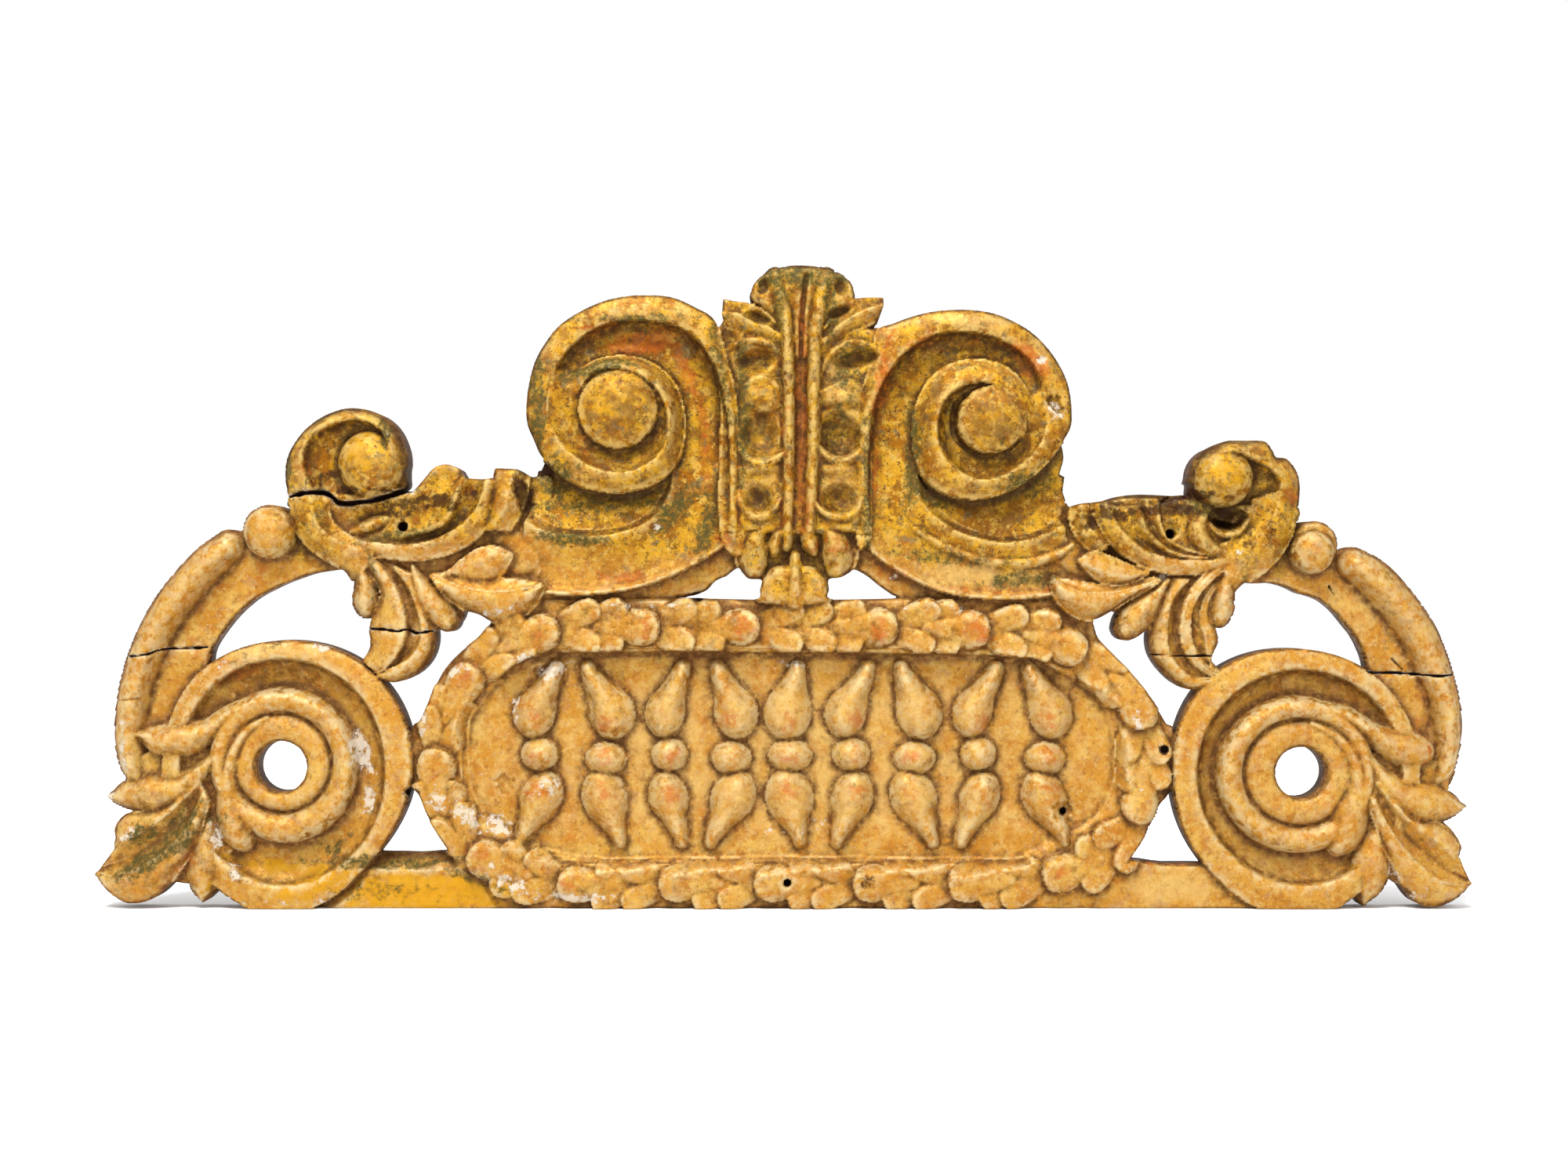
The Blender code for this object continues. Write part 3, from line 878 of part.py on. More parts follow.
def volutes(relief):
    relief.flat(LEFT_VOLUTE_PLATE, 24)
    relief.flat(RIGHT_VOLUTE_PLATE, 24)
    relief.oval(-140, 396, 44, 44, 41, "soft", 5)
    relief.oval(155, 388, 40, 40, 41, "soft", 5)
    for rim, arris, edge, turn, button, foot, hollow, recess_top, recess_foot in (
            (LEFT_RIM, LEFT_ARRIS, LEFT_WHORL_EDGE, LEFT_WHORL_ARRIS, LEFT_BUTTON, LEFT_FOOT,
             LEFT_HOLLOW_EDGE,
             LEFT_RECESS_TOP, LEFT_RECESS_FOOT),
            (RIGHT_RIM, RIGHT_ARRIS, RIGHT_WHORL_EDGE, RIGHT_WHORL_ARRIS, RIGHT_BUTTON, RIGHT_FOOT,
             RIGHT_HOLLOW_EDGE, RIGHT_RECESS_TOP, RIGHT_RECESS_FOOT)):
        relief.loft(rim, arris, sags=(-1.5,))
        relief.loft(edge, turn, sags=(-1.5,))
        relief.loft(turn, button, sags=(4.0,))
        relief.loft(foot, hollow, shape="cavetto")
        relief.loft(recess_top, recess_foot, sags=(-1.0,))
        relief.loft(recess_foot, hollow[:len(recess_foot) + 1], sags=(1.0,))
    relief.oval(-139, 397.5, 31.5, 31, 62, "soft", 11)
    relief.oval(158, 388, 28, 28.5, 62, "soft", 11)
    relief.groove(((140, 412, 2, 42), (131, 404, 3.5, 38), (127.5, 392, 4, 36), (128, 379, 3.5, 36),
                   (134, 370, 3, 37), (146, 362.5, 2.5, 39), (158, 360.5, 2.5, 40), (171, 364.5, 2.2, 41),
                   (181, 374, 1.5, 44)), 9)
    for x, z in ((-80, 308), (88, 300)):
        relief.wear(x, z, 34, 28, 6.0)
    for x, z, half in ((-182, 418, 20), (192, 400, 18)):
        relief.wear(x, z, half, half, 4.0)
    # Second moulding below the right recess.
    relief.stroke(((98, 303, 3, 34), (120, 290, 4, 35.5), (145, 281, 5, 36), (168, 277, 5, 36),
                   (192, 277.5, 5, 36), (214, 284, 4, 36), (224, 291, 3, 36)), "soft", 4)


# Palmette on the middle line: a split stem with leaves to either side, under a flared cap.
PALMETTE_BODY = ((-46, 452), (-43, 444), (-46, 430), (-46, 412), (-45, 398), (-45, 384), (-45, 366),
                 (-44, 350), (-45, 336), (-45, 320), (-42, 308), (-30, 300), (28, 299), (50, 304), (58, 322),
                 (58, 338), (57, 350), (57, 362), (57, 380), (57, 396), (61, 410), (66, 424), (74, 440),
                 (72, 452), (60, 464), (8, 466), (-45, 466))
PALMETTE_SCOOPS = (
    # x, z, half width, half height, floor, turned
    (-32, 437, 20, 11, 31, 8), (-26, 379, 15.5, 19, 30, -4), (-27, 328, 14, 13, 32, 0),
    (50, 438, 19, 9, 32, 14), (37, 378, 17, 19, 29, 6), (37, 328, 17, 14, 32, 0),
    (-28, 472, 15, 6, 35, -20), (38, 476, 14, 6, 35, 25), (-24, 497, 8, 11, 37, -15),
    (39, 496, 9, 11, 37, 15),
)
PALMETTE_RIDGES = (
    # Brows over the scoops and crescents under them: x, z, half width, height.
    ((-52, 446, 2, 40), (-42, 452, 3, 44), (-30, 453.5, 3.5, 46), (-18, 450, 3.5, 46), (-12, 444, 2.5, 45)),
    ((-40, 408, 2.5, 42), (-38, 416, 3.5, 45), (-29, 422.5, 4, 47), (-19, 422, 4, 47), (-11, 415, 2.5, 46)),
    ((-42, 368, 2.5, 43), (-36, 359, 4, 46), (-26, 355, 5, 47), (-15, 358, 5, 47), (-5, 365, 3, 46)),
    ((-43, 335, 2, 42), (-42, 325, 3, 44), (-35, 315, 4, 45), (-25, 312, 4.5, 45), (-16, 317, 4.5, 45),
     (-9, 328, 3, 44)),
    ((22, 421, 2, 44), (25, 433, 3, 45), (33, 445, 3.5, 46), (46, 451, 4, 47), (60, 450, 3.5, 46),
     (70, 443, 3, 45), (72, 434, 2, 43)),
    ((18, 409, 2, 45), (26, 413.5, 3, 46), (38, 418, 4, 47), (50, 418, 4, 47), (56, 411, 2.5, 44)),
    ((15, 385, 2.5, 44), (18, 373, 3, 45), (25, 363, 3.5, 46), (36, 357.5, 4, 47), (47, 359, 4, 46),
     (54, 367, 2.5, 44)),
    ((13, 350, 2.5, 45), (14, 335, 3, 46), (19, 322, 3.5, 46), (29, 314, 4, 46), (42, 312.5, 4, 46),
     (52, 319, 3.5, 45), (55, 332, 2, 43)),
)
PALMETTE_LOBES = (
    # x, z, half width, half height, top, turned
    (-24, 410, 18, 14, 48, -10), (38, 408, 19, 9.5, 48, 6), (-25, 351, 20, 5, 45, 3), (36, 351, 19, 6, 45, 0),
    (38, 305, 20, 5, 42, -4), (-30, 305, 14, 5, 41, 0),
)
PALMETTE_DROPS = (
    ((-22, 303, 5, 40), (-29, 295, 9, 43), (-31, 281, 11.5, 44), (-30, 271, 9, 42)),
    ((-6, 303, 3, 42), (-11, 298, 6, 45), (-14, 290, 6, 45), (-15, 284, 4, 43)),
    ((26, 302, 5, 41), (33, 294, 10, 44), (36, 281, 12, 44), (35, 271, 9, 42)),
    ((9, 302, 4, 42), (13, 296, 7, 45), (15, 289, 6, 45), (17, 284, 3, 43)),
)


def palmette(relief):
    relief.flat(((-55, 466), (-54, 474), (-52, 483), (-36, 480), (-33, 484), (-33, 493), (-29, 501),
                 (-20, 508), (-5, 512), (10, 512.5), (25, 511), (38, 507), (46, 500), (49, 492), (49.5, 486),
                 (60, 486), (70, 486), (71, 478), (68, 471), (64, 461), (60, 440), (55, 300), (48, 268),
                 (28, 250), (-27, 250), (-43, 268), (-48, 300), (-50, 440)), 32)
    relief.flat(((-58, 298), (-58, 400), (-60, 440), (-60, 462), (-36, 470), (-36, 298)), 38)
    relief.flat(((50, 298), (50, 440), (60, 462), (74, 458), (72, 430), (64, 400), (63, 340), (63, 298)), 38)
    relief.pillow(PALMETTE_BODY, 41, 5, 6)
    # Flared cap.
    relief.pillow(((-33, 485), (-33, 493), (-29, 501), (-20, 508), (-5, 512.5), (10, 513), (25, 511.5), (38,
                                                                                                         507),
                   (46, 500), (49, 492), (48, 484), (30, 470), (24, 440), (-10, 440), (-16, 470)), 44, 9, 7)
    # Top leaves: upper edge, keel and lower edge.
    relief.loft(((-55, 486, 40), (-46, 484, 41), (-34, 482, 42), (-20, 473, 43), (-9, 462, 45)),
                ((-56, 474, 45), (-44, 473, 46), (-32, 469, 47), (-20, 463, 47), (-9, 455, 47)),
                ((-53, 465, 38), (-42, 460, 40), (-32, 457, 41), (-20, 452, 42), (-9, 446, 43)), sags=(4.0,
                                                                                                       0.0))
    relief.loft(((72, 487, 40), (60, 487, 41), (48, 485, 42), (36, 475, 43), (25, 462, 45)),
                ((72, 481, 45), (58, 476, 46), (46, 470, 47), (35, 462, 47), (25, 452, 47)),
                ((68, 470, 38), (58, 465, 40), (46, 461, 41), (35, 454, 42), (25, 445, 43)), sags=(4.0, 0.0))
    for x, z, half_x, half_z, low, turned in PALMETTE_SCOOPS:
        relief.oval(x, z, half_x, half_z, low, carve=True, rise=11, turned=turned)
    for x, z, half_x, half_z, top, turned in PALMETTE_LOBES:
        relief.oval(x, z, half_x, half_z, top, "soft", 6, turned=turned)
    for points in PALMETTE_RIDGES:
        relief.stroke(points, "soft", 7)
    for x in (-27, 39):
        for z in (330, 365, 400, 435):
            relief.wear(x, z, 22, 34, 1.1)
    # Bottom leaf of three lobes, then the drops over it.
    relief.pillow(((-26, 244), (-27, 256), (-22, 266), (-12, 274), (14, 274), (24, 266), (29, 256), (28,
                                                                                                     244)),
                  43, 8, 9)
    relief.stroke(((2, 282, 4, 44), (2, 268, 6, 46), (2, 254, 8, 46), (2, 246, 8, 43)), "soft", 6)
    for points in PALMETTE_DROPS:
        relief.stroke(points, "soft", 9)
    # Split stem that flares into the cap.
    relief.stroke(((-5, 290, 5, 44), (-4, 310, 6, 47), (-3, 360, 6, 49), (-3, 420, 6, 50), (-5, 460, 7, 50),
                   (-9, 485, 9, 49), (-14, 503, 9, 46)), "soft", 9)
    relief.stroke(((12, 290, 5, 44), (14, 310, 6, 47), (16, 360, 6, 49), (17, 420, 6.5, 50),
                   (18, 460, 7, 50), (22, 485, 8.5, 49), (27, 503, 9, 46)), "soft", 9)
    relief.groove(((6, 300, 2, 42), (6, 340, 3, 41), (6.5, 400, 3.5, 40), (7, 460, 3.5, 40), (9, 490, 4, 40),
                   (11, 505, 4.5, 41)), 9)


# Openings between the cartouche and the volutes.
CENTRE_OPENINGS = (
    ((-79, 248.5), (-70, 254), (-60, 260.5), (-45, 272), (-40, 268), (-35, 263.5), (-25, 262.5), (-26, 255),
     (-28, 247.5), (-50, 247)),
    ((30, 247.5), (29, 255), (29, 263), (38, 264.5), (45, 268), (50, 271), (60, 266), (70, 258), (80, 251),
     (84, 248), (60, 247)),
)


def centre_openings(relief):
    for points in CENTRE_OPENINGS:
        area, inside = relief.outline(points, reach=12.0)
        relief.hole(area, inside)


def carve(grid):
    relief = Relief(grid)
    border(relief)
    field_strokes(relief)
    rails(relief)
    scrolls(relief)
    arcs(relief)
    fingers(relief)
    clusters(relief)
    small_scrolls(relief)
    volutes(relief)
    palmette(relief)
    centre_openings(relief)
    scroll_holes(relief)
    relief.finish()
    return relief


def body_of(relief):
    """Points and triangles of the closed body: the relief in front, walls, and the flat back."""
    inside = relief.inside.copy()
    inside[np.abs(inside) < 0.02] = 0.02
    inside[0, :] = inside[-1, :] = -1.0
    inside[:, 0] = inside[:, -1] = -1.0
    rows, columns = inside.shape
    kept = inside > 0
    number = -np.ones(inside.shape, int)
    number[kept] = np.arange(kept.sum())
    zz, xx = np.nonzero(kept)
    points = [np.column_stack([relief.x[xx], relief.z[zz], relief.height[kept]])]
    total = int(kept.sum())

    def crossings(first, second, row_step, column_step):
        """Points where the outline cuts the grid lines that run between neighbours."""
        cut = first != second
        index = -np.ones(cut.shape, int)
        z0, x0 = np.nonzero(cut)
        a = inside[z0, x0]
        b = inside[z0 + row_step, x0 + column_step]
        t = np.clip(a / (a - b), 0.04, 0.96)
        x = relief.x[x0] + t * column_step * relief.grid
        z = relief.z[z0] + t * row_step * relief.grid
        height = np.where(a > 0, relief.height[z0, x0], relief.height[z0 + row_step, x0 + column_step])
        index[z0, x0] = np.arange(len(x0))
        return index, np.column_stack([x, z, height])

    across, made = crossings(kept[:, :-1], kept[:, 1:], 0, 1)
    across[across >= 0] += total
    points.append(made)
    total += len(made)
    upward, made = crossings(kept[:-1, :], kept[1:, :], 1, 0)
    upward[upward >= 0] += total
    points.append(made)
    points = np.vstack(points)

    triangles = []
    rims = []
    code = (kept[:-1, :-1] * 1 + kept[:-1, 1:] * 2 + kept[1:, 1:] * 4 + kept[1:, :-1] * 8)
    # Corner loops of a cell, anticlockwise in x and z; C is a corner and E an edge of the cell.
    loops = {1: ["C0 E0 E3"], 2: ["C1 E1 E0"], 4: ["C2 E2 E1"], 8: ["C3 E3 E2"], 3: ["C0 C1 E1 E3"],
             6: ["C1 C2 E2 E0"], 12: ["C2 C3 E3 E1"], 9: ["C3 C0 E0 E2"], 7: ["C0 C1 C2 E2 E3"],
             14: ["C1 C2 C3 E3 E0"], 13: ["C2 C3 C0 E0 E1"], 11: ["C3 C0 C1 E1 E2"], 15: ["C0 C1 C2 C3"],
             5: ["C0 E0 E3", "C2 E2 E1"], 10: ["C1 E1 E0", "C3 E3 E2"]}
    for value, cell_loops in loops.items():
        z0, x0 = np.nonzero(code == value)
        if not len(z0):
            continue
        corner = {"C0": number[z0, x0], "C1": number[z0, x0 + 1], "C2": number[z0 + 1, x0 + 1],
                  "C3": number[z0 + 1, x0], "E0": across[z0, x0], "E1": upward[z0, x0 + 1],
                  "E2": across[z0 + 1, x0], "E3": upward[z0, x0]}
        for loop in cell_loops:
            names = loop.split()
            for k in range(1, len(names) - 1):
                triangles.append(np.column_stack([corner[names[0]], corner[names[k]], corner[names[k + 1]]]))
            for k, name in enumerate(names):
                after = names[(k + 1) % len(names)]
                if name[0] == "E" and after[0] == "E":
                    rims.append(np.column_stack([corner[name], corner[after]]))
    front = np.vstack(triangles)
    rims = np.vstack(rims)
    count = len(points)
    back_points = points.copy()
    back_points[:, 2] = 0.0
    walls = np.vstack([np.column_stack([rims[:, 1], rims[:, 0], rims[:, 0] + count]),
                       np.column_stack([rims[:, 1], rims[:, 0] + count, rims[:, 1] + count])])
    faces = np.vstack([front, front[:, ::-1] + count, walls])
    return np.vstack([points, back_points]), faces


def in_frame(points):
    """Metres: x to the right, y into the wall, z up from the middle of the cartouche."""
    return np.column_stack([points[:, 0] * UNIT_X, -points[:, 2] * UNIT_Y,
                            (points[:, 1] - MIDDLE_ABOVE_BASE) * UNIT_Z])


def mesh_from(name, points, faces):
    mesh = bpy.data.meshes.new(name)
    mesh.vertices.add(len(points))
    mesh.vertices.foreach_set("co", np.asarray(points, np.float32).ravel())
    mesh.loops.add(faces.size)
    mesh.loops.foreach_set("vertex_index", faces.astype(np.int32).ravel())
    mesh.polygons.add(len(faces))
    mesh.polygons.foreach_set("loop_start", np.arange(0, faces.size, 3, dtype=np.int32))
    mesh.polygons.foreach_set("loop_total", np.full(len(faces), 3, np.int32))
    mesh.update(calc_edges=True)
    mesh.validate()
    return mesh


def thinned(piece, triangles):
    """Fewer faces for the same form, then the back and the base drawn flat again."""
    modifier = piece.modifiers.new("Thin", "DECIMATE")
    modifier.ratio = triangles / len(piece.data.polygons)
    modifier.use_collapse_triangulate = True
    graph = bpy.context.evaluated_depsgraph_get()
    mesh = bpy.data.meshes.new_from_object(piece.evaluated_get(graph))
    piece.modifiers.clear()
    points = np.empty(len(mesh.vertices) * 3, np.float32)
    mesh.vertices.foreach_get("co", points)
    points = points.reshape(-1, 3)
    near = SNAPPED * GRID * UNIT_Y
    points[:, 1] = np.where(np.abs(points[:, 1]) < near, 0.0, points[:, 1])
    base = -MIDDLE_ABOVE_BASE * UNIT_Z
    points[:, 2] = np.where(np.abs(points[:, 2] - base) < near, base, points[:, 2])
    mesh.vertices.foreach_set("co", points.ravel())
    mesh.update()
    piece.data = mesh


def gilt_material():
    material = bpy.data.materials.new("aged_gilding")
    material.use_nodes = True
    shader = material.node_tree.nodes["Principled BSDF"]
    shader.inputs["Base Color"].default_value = (0.62, 0.36, 0.10, 1.0)
    shader.inputs["Roughness"].default_value = 0.5
    shader.inputs["Metallic"].default_value = 0.2
    return material


def main():
    for thing in list(bpy.data.objects):
        bpy.data.objects.remove(thing)
    points, faces = body_of(carve(GRID))
    piece = bpy.data.objects.new("carved_plaque", mesh_from("carved_plaque", in_frame(points), faces))
    bpy.context.scene.collection.objects.link(piece)
    bpy.context.view_layer.update()
    thinned(piece, TRIANGLES)
    piece.data.materials.append(gilt_material())


if __name__ == "__main__":
    main()
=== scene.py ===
"""Dresses the carved plaque: the same relief on a finer grid, with its cracks, nail holes, chips and tool
marks, and its worn gilding. Lengths in the tables are millimetres: x from the middle of the cartouche, z
above the base. The frame has the same x, z up from the cartouche's middle, and the back at y = 0."""

import math

import bpy
import numpy as np
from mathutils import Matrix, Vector


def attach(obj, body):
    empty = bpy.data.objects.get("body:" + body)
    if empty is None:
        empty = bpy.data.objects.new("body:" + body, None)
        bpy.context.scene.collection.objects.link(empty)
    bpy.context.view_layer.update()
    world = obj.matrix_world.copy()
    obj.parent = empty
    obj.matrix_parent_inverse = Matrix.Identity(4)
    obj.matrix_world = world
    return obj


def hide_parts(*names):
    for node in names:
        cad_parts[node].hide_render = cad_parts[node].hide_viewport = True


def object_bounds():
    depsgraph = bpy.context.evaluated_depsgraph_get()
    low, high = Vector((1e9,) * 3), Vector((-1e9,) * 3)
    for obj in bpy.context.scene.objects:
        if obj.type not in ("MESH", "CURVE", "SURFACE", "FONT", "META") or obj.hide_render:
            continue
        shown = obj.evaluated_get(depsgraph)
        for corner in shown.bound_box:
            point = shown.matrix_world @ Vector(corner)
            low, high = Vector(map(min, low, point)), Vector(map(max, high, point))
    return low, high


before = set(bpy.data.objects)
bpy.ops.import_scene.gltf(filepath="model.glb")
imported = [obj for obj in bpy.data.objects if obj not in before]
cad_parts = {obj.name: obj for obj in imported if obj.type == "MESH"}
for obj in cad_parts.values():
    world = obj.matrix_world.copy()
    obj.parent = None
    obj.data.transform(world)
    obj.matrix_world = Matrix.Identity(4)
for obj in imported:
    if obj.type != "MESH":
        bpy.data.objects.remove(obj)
cad_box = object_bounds()

# Main sizes in metres; the depths are measured from the flat back.
PLAQUE_LENGTH = 1.103
PLAQUE_HEIGHT = 0.513
BOSS_DEPTH = 0.062
PLATE_DEPTH = 0.025
FIELD_DEPTH = 0.020
SCROLL_HOLE_DIAMETER = 0.0412
EDGE_ROUNDING = 0.003

# The sheet that the tables are drawn on: x from the cartouche's middle, z above the base, and heights over
# the back, each a share of the plaque's own length, height or depth.
DRAWN_LENGTH = 1103.0
DRAWN_HEIGHT = 513.0
DRAWN_DEPTH = 62.0
MIDDLE_ABOVE_BASE = 123.0
LEFT_END = -562.0
RIGHT_END = 549.0
TOP_END = 518.0
UNIT_X = PLAQUE_LENGTH / DRAWN_LENGTH
UNIT_Z = PLAQUE_HEIGHT / DRAWN_HEIGHT
UNIT_Y = BOSS_DEPTH / DRAWN_DEPTH
BALL_TOP = DRAWN_DEPTH
PLATE = PLATE_DEPTH / UNIT_Y
FLOOR = FIELD_DEPTH / UNIT_Y
EDGE_ROUND = EDGE_ROUNDING / UNIT_Y

# How finely the drawing is cut: its grid, how far its arrises are worn down, the faces kept, and the share of
# the grid within which a point is drawn onto the back or the base.
GRID = 1.1
SOFTENED = 0.55
TRIANGLES = 194000
SNAPPED = 0.25
LEAST_HEIGHT = 6.0

# Distances: more than any on the plaque, and how far inside an outline a distance is true.
FAR = 1000.0
EDGE_REACH = 45.0


def unit(value):
    return np.clip(value, 0.0, 1.0)


def dome(side):
    return np.sqrt(unit(1.0 - side * side))


def table_profile(*rows):
    """A cross-section read from a few (side, share of the height) pairs."""
    places = [row[0] for row in rows]
    shares = [row[1] for row in rows]
    return lambda side: np.interp(side, places, shares)


PROFILES = {
    "round": dome,
    "soft": lambda side: unit(1.0 - side * side),
}


def catmull_rom(a, b, c, d, t):
    return 0.5 * (2 * b + (c - a) * t + (2 * a - 5 * b + 4 * c - d) * t ** 2
                  + (3 * b - a - 3 * c + d) * t ** 3)


def smooth_curve(points, each, closed=False):
    """A Catmull-Rom curve through rows of numbers."""
    rows = np.array(points, float)
    count = len(rows)
    if closed:
        spans = [[(k - 1) % count, k, (k + 1) % count, (k + 2) % count] for k in range(count)]
    else:
        spans = [[max(k - 1, 0), k, k + 1, min(k + 2, count - 1)] for k in range(count - 1)]
    made = [catmull_rom(*rows[span], t) for span in spans for t in np.arange(each) / each]
    if not closed:
        made.append(rows[-1])
    return np.array(made)


SAG_SHAPES = {
    "bowl": lambda share: 4.0 * share * (1.0 - share),
    "cavetto": table_profile((0, 0), (0.05, 0.45), (0.12, 0.75), (0.25, 0.97), (0.35, 1), (0.5, 0.93),
                             (0.7, 0.62), (0.85, 0.3), (1, 0)),
}


def nearest_on(p, q, x, z):
    """Distance from each place to the straight run from p to q, and how far along that is."""
    run_x, run_z = q[0] - p[0], q[1] - p[1]
    t = unit(((x - p[0]) * run_x + (z - p[1]) * run_z) / max(run_x * run_x + run_z * run_z, 1e-9))
    return np.hypot(x - p[0] - t * run_x, z - p[1] - t * run_z), t


def in_oval(x, z, half_x, half_z, turned):
    """Places seen from an oval's middle, as shares of its half widths and turned with it."""
    c, s = math.cos(math.radians(turned)), math.sin(math.radians(turned))
    return (x * c + z * s) / half_x, (z * c - x * s) / half_z


def blurred(values, kept, spread, grid):
    """Gaussian mean over the plaque's own face, as if nothing lay outside it."""
    reach = int(2.5 * spread / grid) + 1
    weights = np.exp(-0.5 * (np.arange(-reach, reach + 1) * grid / spread) ** 2)
    total = values * kept
    weight = kept
    for axis in (0, 1):
        total = sum(w * np.roll(total, k - reach, axis) for k, w in enumerate(weights))
        weight = sum(w * np.roll(weight, k - reach, axis) for k, w in enumerate(weights))
    return total / np.maximum(weight, 1e-6)


def around(values, angle):
    """A value read round a circle, from one number or from equally spaced ones starting at the right."""
    if np.isscalar(values):
        return np.full(angle.shape, float(values))
    rows = np.array(values, float)
    count = len(rows)
    place = (angle / (2 * math.pi)) % 1.0 * count
    low = np.floor(place).astype(int) % count
    t = place - np.floor(place)
    return catmull_rom(rows[low - 1], rows[low], rows[(low + 1) % count], rows[(low + 2) % count], t)


def blend(low, high, t, kind):
    """From one height to another: in a straight line, as a bulge or as a scoop."""
    share = t
    if kind != "line":
        late = (high < low) == (kind == "bulge")
        share = 1 - np.sqrt(unit(1 - t * t)) if late else np.sqrt(unit(1 - (1 - t) ** 2))
    return low + (high - low) * share


class Relief:
    """Front height and distance inside the outline, over a grid of the plaque's face."""

    def __init__(self, grid):
        self.grid = grid
        self.x = np.arange(LEFT_END, RIGHT_END + grid, grid)
        self.z = np.arange(-2.5 * grid, TOP_END + grid, grid)
        self.inside = np.full((len(self.z), len(self.x)), -FAR)
        self.height = np.zeros((len(self.z), len(self.x)))

    def window(self, x0, x1, z0, z1):
        a = max(int((x0 - self.x[0]) / self.grid) - 1, 0)
        b = min(int((x1 - self.x[0]) / self.grid) + 3, len(self.x))
        c = max(int((z0 - self.z[0]) / self.grid) - 1, 0)
        d = min(int((z1 - self.z[0]) / self.grid) + 3, len(self.z))
        return slice(c, max(d, c + 1)), slice(a, max(b, a + 1))

    def places(self, area):
        return self.x[area[1]][None, :], self.z[area[0]][:, None]

    def add(self, area, inside, height, lap=0.0):
        """Raises the face to `height` inside a form, and `lap` past its edge where another form is there."""
        kept = self.height[area]
        self.height[area] = np.where(inside > -lap, np.maximum(kept, height), kept)
        self.inside[area] = np.maximum(self.inside[area], inside)

    def cut(self, area, inside, height):
        kept = self.height[area]
        self.height[area] = np.where(inside > 0, np.minimum(kept, height), kept)

    def hole(self, area, inside):
        self.inside[area] = np.minimum(self.inside[area], -inside)

    def along(self, points, each=6):
        """Nearest place on a swept path: area, distance inside, signed side, height and share of length."""
        path = smooth_curve(points, each)
        reach = path[:, 2].max() + 1
        area = self.window(path[:, 0].min() - reach, path[:, 0].max() + reach,
                           path[:, 1].min() - reach, path[:, 1].max() + reach)
        shape = (area[0].stop - area[0].start, area[1].stop - area[1].start)
        inside = np.full(shape, -FAR)
        side = np.zeros(shape)
        height = np.zeros(shape)
        share = np.zeros(shape)
        for k in range(len(path) - 1):
            p, q = path[k], path[k + 1]
            wide = max(p[2], q[2]) + 1
            part = self.window(min(p[0], q[0]) - wide, max(p[0], q[0]) + wide,
                               min(p[1], q[1]) - wide, max(p[1], q[1]) + wide)
            x, z = self.places(part)
            run = q[:2] - p[:2]
            length = max(float(run @ run), 1e-9)
            t = unit(((x - p[0]) * run[0] + (z - p[1]) * run[1]) / length)
            dx = x - p[0] - t * run[0]
            dz = z - p[1] - t * run[1]
            away = np.hypot(dx, dz)
            half = np.maximum(p[2] + t * (q[2] - p[2]), 0.05)
            here = (slice(part[0].start - area[0].start, part[0].stop - area[0].start),
                    slice(part[1].start - area[1].start, part[1].stop - area[1].start))
            better = half - away > inside[here]
            turn = np.where(run[0] * dz - run[1] * dx >= 0, 1.0, -1.0)
            inside[here] = np.where(better, half - away, inside[here])
            side[here] = np.where(better, turn * away / half, side[here])
            height[here] = np.where(better, p[3] + t * (q[3] - p[3]), height[here])
            share[here] = np.where(better, (k + t) / (len(path) - 1), share[here])
        return area, inside, side, height, share

    def stroke(self, points, profile="round", rise=12.0):
        """Raises a swept bar: each point is (x, z, half width, height); its edges stand `rise` lower."""
        area, inside, side, height, _ = self.along(points)
        self.add(area, inside, height - rise * (1 - PROFILES[profile](side)))

    def leaf(self, points, half, top, fall=8.0, crown=4.0, taper=0.3, nose=1.6, roll=3.0):
        """Raises a leaf that lies over the next one: its round tip stands proud and its root runs under.
        Within `roll` of its edge it turns down by `nose`. It lies on what is there and leaves the outline."""
        area, inside, side, _, share = self.along([(x, z, half, top) for x, z in points], 3)
        long = sum(math.hypot(q[0] - p[0], q[1] - p[1]) for p, q in zip(points[:-1], points[1:]))
        back = (1.0 - share) * long
        tip = np.sqrt(unit(1.0 - (1.0 - unit(back / (1.1 * half))) ** 2))
        shape = tip * (1.0 - taper * unit(back / long))
        edge = np.where(inside > 0, (shape - np.abs(side)) * half, -FAR)
        turned = nose * unit(1.0 - edge / roll) ** 2
        made = top - fall * back / long - crown * side * side - turned
        self.height[area] = np.where(edge > 0, np.maximum(self.height[area], made), self.height[area])

    def wear(self, x, z, half_x, half_z, spread):
        """Smooths the carving inside a soft-edged oval."""
        area = self.window(x - half_x - 3 * spread, x + half_x + 3 * spread,
                           z - half_z - 3 * spread, z + half_z + 3 * spread)
        gx, gz = self.places(area)
        share = unit(2.0 - 2.0 * np.hypot((gx - x) / half_x, (gz - z) / half_z))
        kept = (self.inside[area] > 0).astype(float)
        mean = blurred(self.height[area], kept, spread, self.grid)
        self.height[area] = self.height[area] + share * (mean - self.height[area])

    def groove(self, points, depth=6.0):
        """Cuts a rounded channel whose bottom runs at the path's heights."""
        area, inside, side, height, _ = self.along(points)
        self.cut(area, inside, height + depth * side * side)

